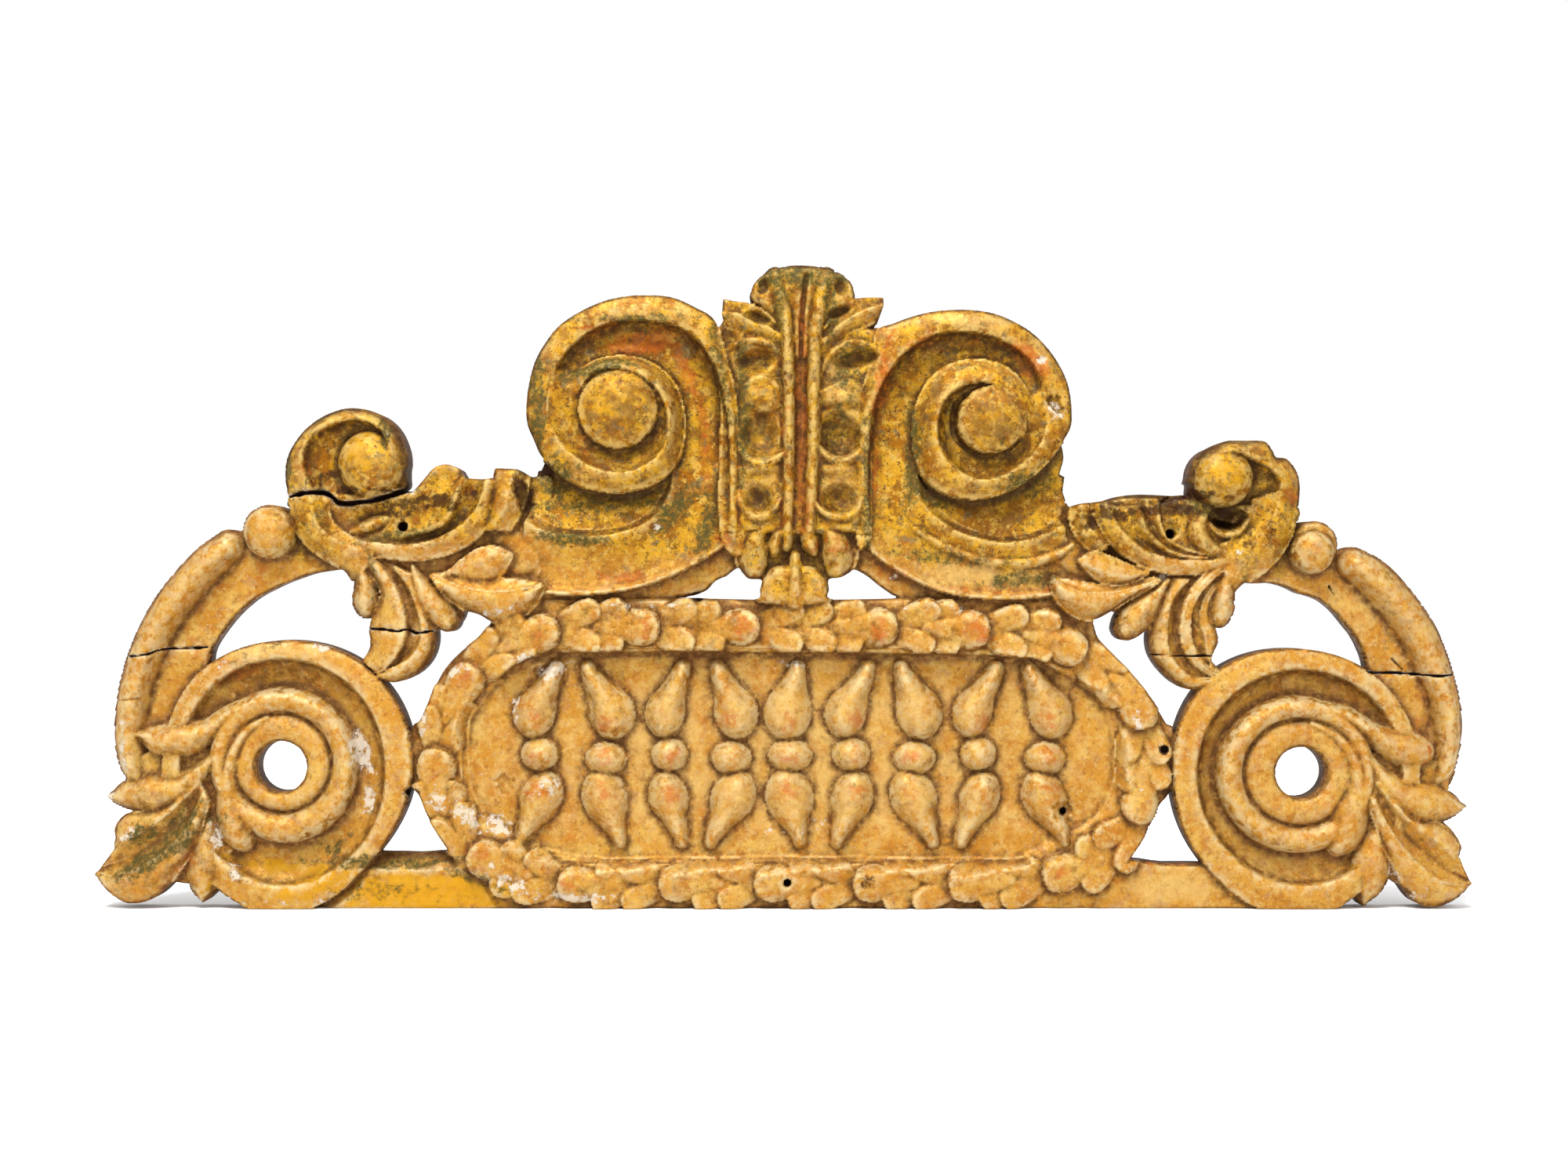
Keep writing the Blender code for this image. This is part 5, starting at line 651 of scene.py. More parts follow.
# Each group of lines is lofted from one to the next; the sags go with the surfaces between them.
LEAVES = (
    # Left hanging leaf: the half before the rib, then the half behind it.
    ((-3.0,),
        ((-340, 273, 39), (-332, 262, 38), (-328, 252, 37), (-330, 243, 36), (-335, 234, 35),
        (-338, 223, 34), (-337, 211, 34), (-340, 203, 34), (-344, 198, 34)),
        ((-338, 283, 42), (-326, 270, 44), (-317, 256, 45), (-311.5, 242, 46), (-309, 228, 46),
        (-310, 216, 45), (-315, 205, 44), (-322, 196, 42), (-332, 189, 37))),
    ((3.5, -2.5),
        ((-340, 282, 38), (-328, 269, 37), (-319, 255, 36), (-314, 241, 35), (-312, 227, 35),
        (-313, 215, 34), (-318, 203, 34), (-326, 193, 34), (-335, 189, 34)),
        ((-316, 272, 41), (-305, 258, 41), (-300, 245, 41), (-296, 232, 41), (-294, 220, 42),
        (-297, 208, 43), (-305, 198, 43), (-317, 192, 42), (-331, 188, 36)),
        ((-300, 264, 36), (-296, 250, 35), (-291, 238, 34), (-287, 226, 33), (-286, 214, 33),
        (-289, 202, 33), (-296, 192, 33), (-306, 185, 33), (-319, 181, 33), (-333, 184, 33))),
    # Left low lobe and the small leaf over it.
    ((0.0, -5.0), ((-272, 268, 39), (-250, 264, 40), (-232, 263, 40), (-215, 261, 40), (-201, 259, 38)),
        ((-288, 266, 42), (-266, 257, 44), (-248, 253, 45), (-230, 252.5, 45), (-215, 254, 44),
        (-200.5, 257.5, 39)),
        ((-278, 252, 37), (-264, 240, 35), (-250, 235, 34), (-240, 229.5, 34), (-228, 229, 34),
        (-214, 235, 34), (-205, 243, 34), (-199.5, 255, 35))),
    ((-2.0, -2.0), ((-274, 268.5, 40), (-262, 279, 42), (-250, 286.5, 42), (-237, 288, 42), (-225, 283, 39)),
        ((-274, 268, 41), (-258, 273, 47), (-244, 277, 48), (-232, 281, 45), (-224.5, 282, 40)),
        ((-273, 267, 39), (-258, 262, 40), (-244, 261, 40), (-233, 266, 40), (-224.5, 280, 39))),
    # Left sweeping leaf: lower edge, its ridge, and the ridge and back of the round lobe.
    ((-1.5, 8.0, 5.0),
        ((-352, 283, 37), (-335, 282, 40), (-318, 280, 42), (-300, 279, 43), (-282, 281.5, 43),
        (-264, 288, 43), (-251, 297, 43), (-243, 308, 43), (-239, 320, 43), (-236, 338, 42)),
        ((-354, 292, 41), (-335, 291, 45), (-315, 289, 47), (-297, 290, 48), (-280, 295, 49),
        (-265, 303, 50), (-254, 313, 50), (-247, 325, 50), (-243, 342, 48)),
        ((-312, 297, 42), (-299, 300, 45), (-287, 303.5, 48), (-276, 309, 50), (-270, 320, 51),
        (-267, 330, 52), (-262, 343, 50)),
        ((-318, 306, 40), (-312, 318, 41), (-303, 331, 43), (-293, 342, 45), (-285, 351, 45),
        (-275, 354, 44), (-266, 350, 45))),
    # Left broken lobe.
    ((-1.5, -1.0), ((-246, 303, 40), (-243, 320, 41), (-240, 335, 41), (-237, 351, 40)),
        ((-238, 304, 46), (-230, 318, 49), (-225, 335, 49), (-219, 350, 46)),
        ((-225, 303, 38), (-218, 315, 38), (-213, 330, 38), (-211, 345, 37))),
    # Left outer band of the bowl.
    ((-3.0, 0.0),
        ((-401.5, 329, 36), (-399, 312, 36), (-393, 297, 36), (-383, 286, 36), (-371, 278, 36),
        (-358, 270, 36), (-352, 262, 36)),
        ((-384, 329, 47), (-380, 310, 47), (-371, 298, 47), (-358, 291, 46), (-345, 285, 45),
        (-336, 277, 43)),
        ((-372, 327, 38), (-369, 311, 38), (-361, 302, 40), (-348, 294, 42), (-334, 289, 43))),
    # Right hanging leaf.
    ((-2.0, 4.0, -2.5),
        ((342, 276, 41), (328, 266, 42), (319, 256, 42), (313, 243, 42), (310, 228, 42), (311, 212, 41),
        (318, 199, 40), (327, 191, 38), (337, 186, 35)),
        ((345, 273, 40), (332, 262, 44), (323, 252, 45), (317, 240, 45), (315, 226, 45), (317, 212, 44),
        (323, 201, 42), (332, 192, 38), (342, 187, 35)),
        ((340, 262, 38), (332, 252, 38), (327, 241, 38), (326, 229, 39), (330, 217, 41), (331, 207, 40),
        (333, 199, 37), (340, 191, 34)),
        ((350, 262, 35), (338, 252, 35), (333, 243, 35), (333, 232, 35), (338, 222, 35), (339.5, 213, 34),
        (336, 205, 34), (334, 198, 34), (338, 191, 34), (346, 188, 33))),
    ((-2.5, 3.0),
        ((302, 262, 35), (296, 250, 34), (291, 238, 34), (287, 226, 33), (285.5, 214, 33), (288, 202, 33),
        (296, 190, 33), (307, 180, 33), (320, 175, 33), (338, 180, 33)),
        ((314, 262, 42), (304, 252, 43), (299, 240, 43), (297, 226, 43), (297, 212, 43), (301, 200, 43),
        (309, 190, 42), (320, 183, 40), (338, 184, 35)),
        ((330, 266, 38), (319, 254, 36), (313, 242, 35), (311, 228, 34), (312, 214, 34), (317, 201, 34),
        (326, 192, 34), (336, 188, 34))),
    # Right low lobe and the small leaf over it.
    ((0.0, -5.0), ((288, 264, 40), (265, 259, 40), (245, 258, 40), (225, 261, 40), (208, 264, 38)),
        ((292, 262, 42), (268, 254, 44), (247, 251, 45), (226, 253, 45), (208, 261, 39)),
        ((284, 257, 38), (266, 246, 35), (253, 237, 34), (240, 231, 34), (228, 232.5, 34), (217, 240, 34),
        (210, 249, 34), (206.5, 260, 35))),
    ((-1.5, -2.0), ((283, 269, 41), (268, 274, 42), (254, 280, 42), (240, 284, 42), (229, 278, 39)),
        ((283, 268.5, 42), (268, 267, 46), (254, 268, 48), (241, 272, 47), (230, 277, 40)),
        ((283, 268, 39), (270, 261.5, 40), (256, 259.5, 40), (243, 263, 40), (230, 276, 39))),
    # Right sweeping leaf: lower edge and three ridges, with a hollow panel between each two.
    ((-1.5, 6.0, 6.0),
        ((352, 270, 37), (335, 268, 40), (318, 267.5, 42), (300, 268.5, 43), (283, 272.5, 43),
        (268, 280, 43), (256, 290, 43), (247, 302, 43), (241, 314, 43), (238, 323, 42)),
        ((354, 279, 41), (335, 277, 45), (318, 276, 47), (300, 278, 48), (284, 283, 49), (270, 291, 50),
        (259, 302, 50), (252, 314, 49), (249, 325, 46)),
        ((330, 280, 44), (312, 281, 47), (298, 286, 49), (287, 294, 50), (280, 303, 50), (276, 314, 49),
        (274, 326, 45)),
        ((338, 282, 43), (322, 284, 45), (309, 288, 46), (300, 294, 46), (294, 302, 45), (291, 312, 44),
        (291, 326, 41))),
    # Right broken lobe.
    ((-1.0, 0.0), ((222, 319, 36), (222, 310, 37), (225, 300, 38), (231, 292, 38), (240, 285, 38)),
        ((230, 322, 44), (231, 312, 46), (235, 303, 46), (241, 295, 45), (249, 288, 42)),
        ((241, 322, 41), (242, 313, 40), (246, 304, 40), (253, 295, 41))),
    # Right outer band of the bowl.
    ((-3.0, 0.0),
        ((403.5, 332, 36), (402, 318, 36), (399, 302, 36), (393, 288, 36), (384, 276, 36), (372, 266, 36),
        (360, 260, 36), (352, 252, 36)),
        ((388, 332, 47), (385, 316, 47), (377, 301, 47), (366, 290, 46), (355, 282, 45), (344, 272, 42)),
        ((368, 326, 38), (367, 312, 38), (362, 302, 40), (350, 294, 42), (336, 286, 43))),
)
# Rounded lobes and curls: each point is (x, z, half width, height).
CURLS = (
    ((-345, 281, 3, 40), (-343, 268, 7, 43), (-341, 256, 9.5, 45), (-341.5, 246, 10.5, 45),
        (-341, 240, 8.5, 43)),
    ((-303, 274, 3, 41), (-298, 260, 8, 44), (-291, 248, 11, 46), (-283, 238, 11.5, 46), (-276, 230, 9, 43)),
    ((350, 278, 4, 40), (346, 262, 7, 43), (344, 250, 9, 45), (343, 240, 10, 45), (341, 233, 9, 43)),
    ((299, 262, 4, 41), (290, 251, 8, 44), (281, 240, 11.5, 46), (272, 230, 12.5, 46), (267, 224, 10, 43)),
    ((-352, 301, 4, 41), (-341, 304, 7, 43), (-331, 308, 8, 43), (-322, 312, 5, 41)),
    ((348, 284, 5, 43), (333, 288, 8, 47), (324, 297, 9.5, 49), (323, 306, 9, 48), (328, 313, 5, 45)),
)


def clusters(relief):
    relief.flat(LEFT_CLUSTER, 29)
    relief.flat(RIGHT_CLUSTER, 29)
    relief.pillow(((-399, 331), (-398, 310), (-385, 290), (-345, 287), (-312, 292), (-290, 302), (-292, 320),
        (-303, 333), (-350, 331)), 40, 3, 6)
    relief.pillow(((401, 322), (398, 300), (375, 280), (345, 277), (318, 280), (300, 287), (290, 300),
        (291, 320), (312, 327), (350, 322)), 40, 3, 6)
    relief.pillow(((-350, 290), (-300, 288), (-262, 296), (-240, 312), (-205, 300), (-203, 272), (-230, 262),
        (-262, 262), (-283, 252), (-300, 240), (-318, 250), (-335, 270)), 34, 6, 20)
    relief.pillow(((350, 282), (300, 276), (262, 288), (240, 306), (216, 300), (212, 276), (235, 262),
        (262, 260), (285, 250), (300, 236), (318, 248), (335, 266)), 34, 6, 20)
    for x, z, half_x, half_z, low, rise in ((-349, 312, 32, 19, 32, 9), (-303, 312, 14, 15, 37, 7),
                                            (302, 303, 11, 13, 36, 11), (349, 294, 14, 8, 36, 11)):
        relief.oval(x, z, half_x, half_z, low, carve=True, rise=rise)
    for sags, *lines in LEAVES:
        relief.loft(*lines, sags=sags)
    for points in CURLS:
        relief.stroke(points, "soft", 11)
    relief.oval(347, 312, 16, 10, 14, carve=True, rise=24)
    # The lip in front of the right bowl.
    relief.stroke(((331, 308, 2.5, 42), (338, 300.5, 3.5, 44), (347, 298.5, 4, 45), (356, 301, 4, 45),
        (362, 309, 3, 43)), "soft", 7)


# Small scrolls over the clusters: edge, arris and the foot of the hollow round each ball.
LEFT_SMALL_SCROLL = (
    ((-401.5, 325, 36), (-404.5, 345, 37), (-402.5, 360, 38), (-396.5, 372, 38), (-388, 382.5, 38),
        (-376, 391.5, 38), (-362, 397.5, 38), (-350, 399, 38), (-337, 397, 39), (-325, 391.5, 41),
        (-315.5, 381, 43), (-309.5, 366, 44), (-308.5, 354, 43)),
    ((-381, 326, 46), (-387, 342, 46.5), (-391, 355, 47.5), (-389, 368, 48.5), (-382, 378, 49),
        (-372, 385, 49.5), (-360, 389.5, 50), (-348, 391, 50.5), (-337, 389.5, 52), (-329, 385, 54),
        (-322, 377, 56), (-318, 366, 56), (-317, 352, 54)),
    ((-364, 324, 37), (-368, 342, 34), (-369, 356, 34), (-365.5, 367, 35), (-358, 376, 36),
        (-348, 380.5, 38), (-338, 380.5, 41), (-329, 376, 47)),
)
RIGHT_SMALL_SCROLL = (
    ((316, 340, 42), (320, 352, 43), (328, 363, 43), (343, 372, 42), (360, 373, 40), (376, 372.5, 38),
        (382, 366, 38), (385.5, 360, 38), (394, 358.5, 38), (401.5, 349, 38), (404, 338, 38),
        (403.5, 322, 37)),
    ((325, 345, 50), (330, 355, 53), (338, 362, 54), (348, 365.5, 54), (358, 363.5, 53), (367, 358.5, 52),
        (377, 354, 50.5), (385, 347, 49.5), (389, 338, 48.5), (387, 327, 47), (381, 317, 45)),
    ((360, 352, 44), (365, 351, 38), (367.5, 342, 34), (365, 332, 33), (359, 325, 33)),
)


def small_scrolls(relief):
    relief.flat(((-398, 330), (-400, 350), (-385, 378), (-350, 392), (-320, 384), (-311, 360), (-309, 345),
        (-313, 334), (-350, 326), (-380, 326)), 34)
    relief.stroke(((-366, 326, 3, 38), (-350, 325, 4, 41), (-333, 328, 5, 42), (-318, 334, 5, 41)), "soft",
        8)
    relief.flat(((319, 325), (320, 345), (332, 362), (360, 369), (380, 356), (398, 350), (400, 325),
        (385, 305), (340, 310)), 33)
    edge, arris, foot = LEFT_SMALL_SCROLL
    relief.loft(edge, arris, sags=(-1.0,))
    relief.loft(arris[:10], foot, sags=(5.0,), shape="cavetto")
    relief.oval(-335.5, 355, 27, 27, BALL_TOP, rise=26)
    edge, arris, foot = RIGHT_SMALL_SCROLL
    relief.loft(edge, arris, sags=(-1.0,))
    relief.loft(arris[4:], foot, sags=(5.0,), shape="cavetto")
    relief.oval(342, 344.5, 25, 25, BALL_TOP, rise=26)


# Great volutes. Each line is a visible arris or foot, as (x, z, height): the rim's outer edge and its inner
# arris wind in to the button, and the hollow between runs down the stem and out along the foot.
LEFT_VOLUTE_PLATE = (
    (-212, 258), (-215, 300), (-209, 330), (-201, 352), (-190, 380), (-190, 440), (-130, 470), (-80, 460),
    (-48, 430), (-41, 380), (-41, 300), (-45, 272), (-62, 262), (-80, 250), (-150, 243), (-200, 243),
)
RIGHT_VOLUTE_PLATE = (
    (70, 440), (100, 460), (150, 460), (190, 440), (205, 400), (217, 366), (215, 350), (211, 337),
    (213, 328), (221, 319), (230, 310), (232, 280), (215, 246), (150, 243), (84, 247.5), (66, 260),
    (48, 271), (50, 300), (50, 400),
)
RIM = 43.0
ARRIS = 48.0
LEFT_RIM = (
    (-43, 296, 36), (-43, 320, 38), (-43.5, 350, 40), (-44.5, 380, 41), (-47, 412, 42), (-54, 440, RIM),
    (-62, 468, RIM), (-78, 479, RIM), (-95, 486.5, RIM), (-112, 488.5, RIM), (-130, 488, RIM),
    (-150, 484, RIM), (-170, 475, RIM), (-186, 464, RIM), (-197, 450, RIM), (-205, 435, RIM),
    (-210, 415, RIM), (-211.5, 398, RIM), (-210.5, 386, RIM), (-206, 375, RIM),
)
LEFT_ARRIS = (
    (-49, 296, 38), (-48.5, 320, 42), (-48.5, 350, 44), (-49, 380, 45), (-54, 412, 46), (-63, 438, ARRIS),
    (-78, 458, ARRIS), (-98, 468, ARRIS), (-120, 470.5, ARRIS), (-145, 469, ARRIS), (-165, 460, ARRIS),
    (-180, 446, ARRIS), (-191, 427, ARRIS), (-196, 405, ARRIS), (-195, 388, 49), (-188, 374, 50),
)
LEFT_WHORL_EDGE = (
    (-205, 435, RIM), (-210, 415, RIM), (-211.5, 398, RIM), (-210.5, 386, RIM), (-206, 375, RIM),
    (-200, 362, 44), (-190, 351, 44), (-175, 341, 45), (-160, 335.5, 45), (-142, 333, 45), (-125, 335, 45),
    (-110, 340.5, 44), (-98, 349.5, 42), (-90.5, 362, 38), (-87, 380, 36), (-88, 398, 36), (-93, 415, 37),
    (-103, 428, 38), (-118, 437, 39), (-137, 440, 40), (-155, 437, 41), (-170, 428, 43), (-180, 414, 45),
)
LEFT_WHORL_ARRIS = (
    (-191, 427, ARRIS), (-196, 405, ARRIS), (-195, 388, 49), (-188, 374, 50), (-177, 362, 52),
    (-163, 352, 54), (-148, 347, 55), (-134, 346, 55), (-120, 350, 55), (-108, 358, 55), (-100, 371, 55),
    (-97.5, 386, 55), (-100, 402, 55), (-108, 416, 54), (-121, 426.5, 53), (-137, 431.5, 52),
    (-152, 430.5, 51), (-164, 424, 50), (-171.5, 412, 50),
)
LEFT_BUTTON = (
    (-166, 418, 48), (-172, 402, 47), (-170, 386, 44), (-160, 373, 42), (-147, 367, 41), (-132, 367, 41),
    (-119, 373, 42), (-110, 384, 44), (-107, 398, 48), (-110, 412, 50), (-120, 423, 51), (-137, 428, 51),
    (-152, 426, 50), (-164, 416, 49),
)
LEFT_FOOT = (
    (-213, 255, 33, 8), (-190, 252, 36, 9), (-170, 251.5, 37, 9), (-150, 253, 37, 9), (-130, 256, 37, 9),
    (-110, 262, 37, 9), (-92, 269, 37, 9), (-76, 277.5, 37, 8), (-62, 286, 37, 7), (-53, 295, 38, 6),
    (-48.5, 320, 42, 7), (-48.5, 350, 44, 8), (-49, 380, 45, 10), (-54, 412, 46, 13), (-63, 438, ARRIS, 15),
    (-78, 458, ARRIS, 15), (-98, 468, ARRIS, 15), (-120, 470.5, ARRIS, 15), (-145, 469, ARRIS, 14),
    (-165, 460, ARRIS, 13), (-180, 446, ARRIS, 11), (-191, 427, ARRIS, 8), (-196, 405, ARRIS, 6),
    (-195, 388, 49, 5), (-188, 374, 50, 4.5), (-177, 362, 52, 4),
)
LEFT_HOLLOW_EDGE = (
    (-213, 308, 38), (-200, 301, 39), (-185, 298, 39.5), (-168, 296.5, 40), (-148, 297, 40), (-130, 301, 39),
    (-115, 308, 38), (-104, 319, 36), (-97, 333, 34), (-95, 350, 33), (-92, 368, 33), (-91, 385, 34),
    (-92, 400, 35), (-96, 413, 36), (-105, 425, 37), (-119, 433, 38.5), (-137, 436, 40), (-153, 433, 42),
    (-166, 425, 44), (-172, 412, 45), (-172, 400, 46), (-170, 386, 44), (-160, 373, 42),
)
LEFT_RECESS_TOP = (
    (-204, 350, 23), (-188, 346, 23), (-165, 336, 23), (-140, 333, 23), (-115, 338, 23), (-97, 348, 26),
)
LEFT_RECESS_FOOT = (
    (-209, 314, 31), (-190, 304.5, 33), (-168, 301.5, 33.5), (-148, 302, 33.5), (-130, 306, 33),
    (-117, 314, 32), (-108, 324, 30), (-102, 336, 28),
)

RIGHT_RIM = (
    (55, 296, 36), (52, 320, 38), (51, 350, 40), (52, 380, 41), (55, 405, 42), (60, 425, RIM),
    (66, 445, RIM), (68, 461, RIM), (80, 466, RIM), (95, 471.5, RIM), (112, 475.5, RIM), (130, 477, RIM),
    (145, 476.5, RIM), (160, 474, RIM), (175, 468, RIM), (190, 459, RIM), (203, 446, RIM), (213, 431, RIM),
    (218.5, 418, RIM), (221, 405, RIM), (221.5, 395, RIM), (221, 385, RIM), (216, 375, RIM),
)
RIGHT_ARRIS = (
    (61, 296, 38), (59, 320, 42), (58, 345, 44), (59, 370, 45), (62, 398, 46), (70, 420, ARRIS),
    (82, 438, ARRIS), (95, 450, ARRIS), (110, 458, ARRIS), (130, 462, ARRIS), (150, 460.5, ARRIS),
    (170, 453, ARRIS), (185, 443, ARRIS), (195, 431, ARRIS), (200, 416, ARRIS), (202, 400, ARRIS),
    (203, 388, 49), (200, 374, 51),
)
RIGHT_WHORL_EDGE = (
    (218.5, 418, RIM), (221, 405, RIM), (221.5, 395, RIM), (221, 385, RIM), (216, 375, RIM), (208, 364, 44),
    (198, 352, 45), (185, 341.5, 45), (170, 333.5, 45), (155, 329, 45), (140, 328, 45), (125, 331, 45),
    (112, 337.5, 44), (103, 348, 42), (98, 362, 38), (96.5, 380, 37), (98.5, 398, 37), (105, 415, 38),
    (116, 428, 39), (132, 435.5, 40), (150, 437, 41), (166, 433, 43), (178, 424, 44), (186, 412, 46),
    (189, 400, 47),
)
RIGHT_WHORL_ARRIS = (
    (200, 416, ARRIS), (202, 400, ARRIS), (203, 388, 49), (200, 374, 51), (192, 362, 53), (180, 351, 54),
    (165, 343, 55), (150, 340, 55), (137, 344, 55), (125, 352, 55), (117, 363, 55), (113, 377, 55),
    (114, 392, 55), (119, 405, 54), (129, 415, 53), (143, 420, 52), (158, 419.5, 51), (170, 412, 51),
    (178, 401, 51),
)
RIGHT_BUTTON = (
    (186, 398, 49), (187, 386, 49), (182, 372, 45), (172, 363, 42), (158, 359, 41), (144, 361, 40),
    (132, 368, 40), (125, 379, 40), (125, 393, 41), (131, 405, 43), (142, 413, 45), (155, 415, 48),
    (168, 408, 50),
)
RIGHT_FOOT = (
    (222, 256, 33, 8), (205, 251, 35, 8), (190, 249, 36, 8), (165, 248, 37, 8), (140, 250, 37, 8),
    (120, 254, 37, 8), (100, 262, 37, 8), (82, 272, 37, 8), (68, 282, 37, 7), (61, 292, 38, 6),
    (59, 320, 42, 7), (58, 345, 44, 8), (59, 370, 45, 10), (62, 398, 46, 12), (70, 420, ARRIS, 15),
    (82, 438, ARRIS, 15), (95, 450, ARRIS, 15), (110, 458, ARRIS, 15), (130, 462, ARRIS, 14),
    (150, 460.5, ARRIS, 13), (170, 453, ARRIS, 12), (185, 443, ARRIS, 10), (195, 431, ARRIS, 8),
    (200, 416, ARRIS, 6), (202, 400, ARRIS, 5), (203, 388, 49, 4.5), (200, 374, 51, 4),
)
RIGHT_HOLLOW_EDGE = (
    (216, 305, 38), (200, 297, 39), (185, 292.5, 40), (165, 291, 40), (145, 295, 39.5), (127, 302, 38),
    (112, 313, 36), (101, 328, 34), (99, 345, 33), (99, 362, 33), (100, 380, 34), (102, 397, 35),
    (109, 412, 36), (119, 424.5, 37), (134, 431, 38.5), (150, 432.5, 40), (164, 429, 42), (175, 420, 44),
    (182, 409, 46), (185, 398, 47), (186, 386, 48), (182, 373, 45),
)
RIGHT_RECESS_TOP = (
    (218, 345, 23), (200, 352, 23), (185, 342, 23), (170, 334, 23), (155, 330, 23), (140, 329, 23),
    (125, 332, 24), (110, 339, 26),
)
RIGHT_RECESS_FOOT = (
    (212, 310, 31), (200, 303, 33), (185, 298, 33.5), (165, 296.5, 33.5), (147, 300, 33), (131, 307, 32),
    (118, 317, 30), (108, 330, 28),
)


def volutes(relief):
    relief.flat(LEFT_VOLUTE_PLATE, 24)
    relief.flat(RIGHT_VOLUTE_PLATE, 24)
    relief.oval(-140, 396, 44, 44, 41, "soft", 5)
    relief.oval(155, 388, 40, 40, 41, "soft", 5)
    for rim, arris, edge, turn, button, foot, hollow, recess_top, recess_foot in (
            (LEFT_RIM, LEFT_ARRIS, LEFT_WHORL_EDGE, LEFT_WHORL_ARRIS, LEFT_BUTTON, LEFT_FOOT,
             LEFT_HOLLOW_EDGE, LEFT_RECESS_TOP, LEFT_RECESS_FOOT),
            (RIGHT_RIM, RIGHT_ARRIS, RIGHT_WHORL_EDGE, RIGHT_WHORL_ARRIS, RIGHT_BUTTON, RIGHT_FOOT,
             RIGHT_HOLLOW_EDGE, RIGHT_RECESS_TOP, RIGHT_RECESS_FOOT)):
        relief.loft(rim, arris, sags=(-1.5,))
        relief.loft(edge, turn, sags=(-1.5,))
        relief.loft(turn, button, sags=(4.0,))
        relief.loft(foot, hollow, shape="cavetto")
        relief.loft(recess_top, recess_foot, sags=(-1.0,))
        relief.loft(recess_foot, hollow[:len(recess_foot) + 1], sags=(1.0,))
    relief.oval(-139, 397.5, 31.5, 31, 62, "soft", 11)
    relief.oval(158, 388, 28, 28.5, 62, "soft", 11)
    relief.groove(((140, 412, 2, 42), (131, 404, 3.5, 38), (127.5, 392, 4, 36), (128, 379, 3.5, 36),
        (134, 370, 3, 37), (146, 362.5, 2.5, 39), (158, 360.5, 2.5, 40), (171, 364.5, 2.2, 41),
        (181, 374, 1.5, 44)), 9)
    for x, z in ((-80, 308), (88, 300)):
        relief.wear(x, z, 34, 28, 6.0)
    for x, z, half in ((-182, 418, 20), (192, 400, 18)):
        relief.wear(x, z, half, half, 4.0)
    # Second moulding below the right recess.
    relief.stroke(((98, 303, 3, 34), (120, 290, 4, 35.5), (145, 281, 5, 36), (168, 277, 5, 36),
        (192, 277.5, 5, 36), (214, 284, 4, 36), (224, 291, 3, 36)), "soft", 4)


# Palmette on the middle line: a split stem with leaves to either side, under a flared cap.
PALMETTE_BODY = (
    (-46, 452), (-43, 444), (-46, 430), (-46, 412), (-45, 398), (-45, 384), (-45, 366), (-44, 350),
    (-45, 336), (-45, 320), (-42, 308), (-30, 300), (28, 299), (50, 304), (58, 322), (58, 338), (57, 350),
    (57, 362), (57, 380), (57, 396), (61, 410), (66, 424), (74, 440), (72, 452), (60, 464), (8, 466),
    (-45, 466),
)
PALMETTE_SCOOPS = (
    # x, z, half width, half height, floor, turned
    (-32, 437, 20, 11, 31, 8), (-26, 379, 15.5, 19, 30, -4), (-27, 328, 14, 13, 32, 0),
    (50, 438, 19, 9, 32, 14), (37, 378, 17, 19, 29, 6), (37, 328, 17, 14, 32, 0), (-28, 472, 15, 6, 35, -20),
    (38, 476, 14, 6, 35, 25), (-24, 497, 8, 11, 37, -15), (39, 496, 9, 11, 37, 15),
)
PALMETTE_RIDGES = (
    # Brows over the scoops and crescents under them: x, z, half width, height.
    ((-52, 446, 2, 40), (-42, 452, 3, 44), (-30, 453.5, 3.5, 46), (-18, 450, 3.5, 46), (-12, 444, 2.5, 45)),
    ((-40, 408, 2.5, 42), (-38, 416, 3.5, 45), (-29, 422.5, 4, 47), (-19, 422, 4, 47), (-11, 415, 2.5, 46)),
    ((-42, 368, 2.5, 43), (-36, 359, 4, 46), (-26, 355, 5, 47), (-15, 358, 5, 47), (-5, 365, 3, 46)),
    ((-43, 335, 2, 42), (-42, 325, 3, 44), (-35, 315, 4, 45), (-25, 312, 4.5, 45), (-16, 317, 4.5, 45),
        (-9, 328, 3, 44)),
    ((22, 421, 2, 44), (25, 433, 3, 45), (33, 445, 3.5, 46), (46, 451, 4, 47), (60, 450, 3.5, 46),
        (70, 443, 3, 45), (72, 434, 2, 43)),
    ((18, 409, 2, 45), (26, 413.5, 3, 46), (38, 418, 4, 47), (50, 418, 4, 47), (56, 411, 2.5, 44)),
    ((15, 385, 2.5, 44), (18, 373, 3, 45), (25, 363, 3.5, 46), (36, 357.5, 4, 47), (47, 359, 4, 46),
        (54, 367, 2.5, 44)),
    ((13, 350, 2.5, 45), (14, 335, 3, 46), (19, 322, 3.5, 46), (29, 314, 4, 46), (42, 312.5, 4, 46),
        (52, 319, 3.5, 45), (55, 332, 2, 43)),
)
PALMETTE_LOBES = (
    # x, z, half width, half height, top, turned
    (-24, 410, 18, 14, 48, -10), (38, 408, 19, 9.5, 48, 6), (-25, 351, 20, 5, 45, 3),
    (36, 351, 19, 6, 45, 0), (38, 305, 20, 5, 42, -4), (-30, 305, 14, 5, 41, 0),
)
PALMETTE_DROPS = (
    ((-22, 303, 5, 40), (-29, 295, 9, 43), (-31, 281, 11.5, 44), (-30, 271, 9, 42)),
    ((-6, 303, 3, 42), (-11, 298, 6, 45), (-14, 290, 6, 45), (-15, 284, 4, 43)),
    ((26, 302, 5, 41), (33, 294, 10, 44), (36, 281, 12, 44), (35, 271, 9, 42)),
    ((9, 302, 4, 42), (13, 296, 7, 45), (15, 289, 6, 45), (17, 284, 3, 43)),
)


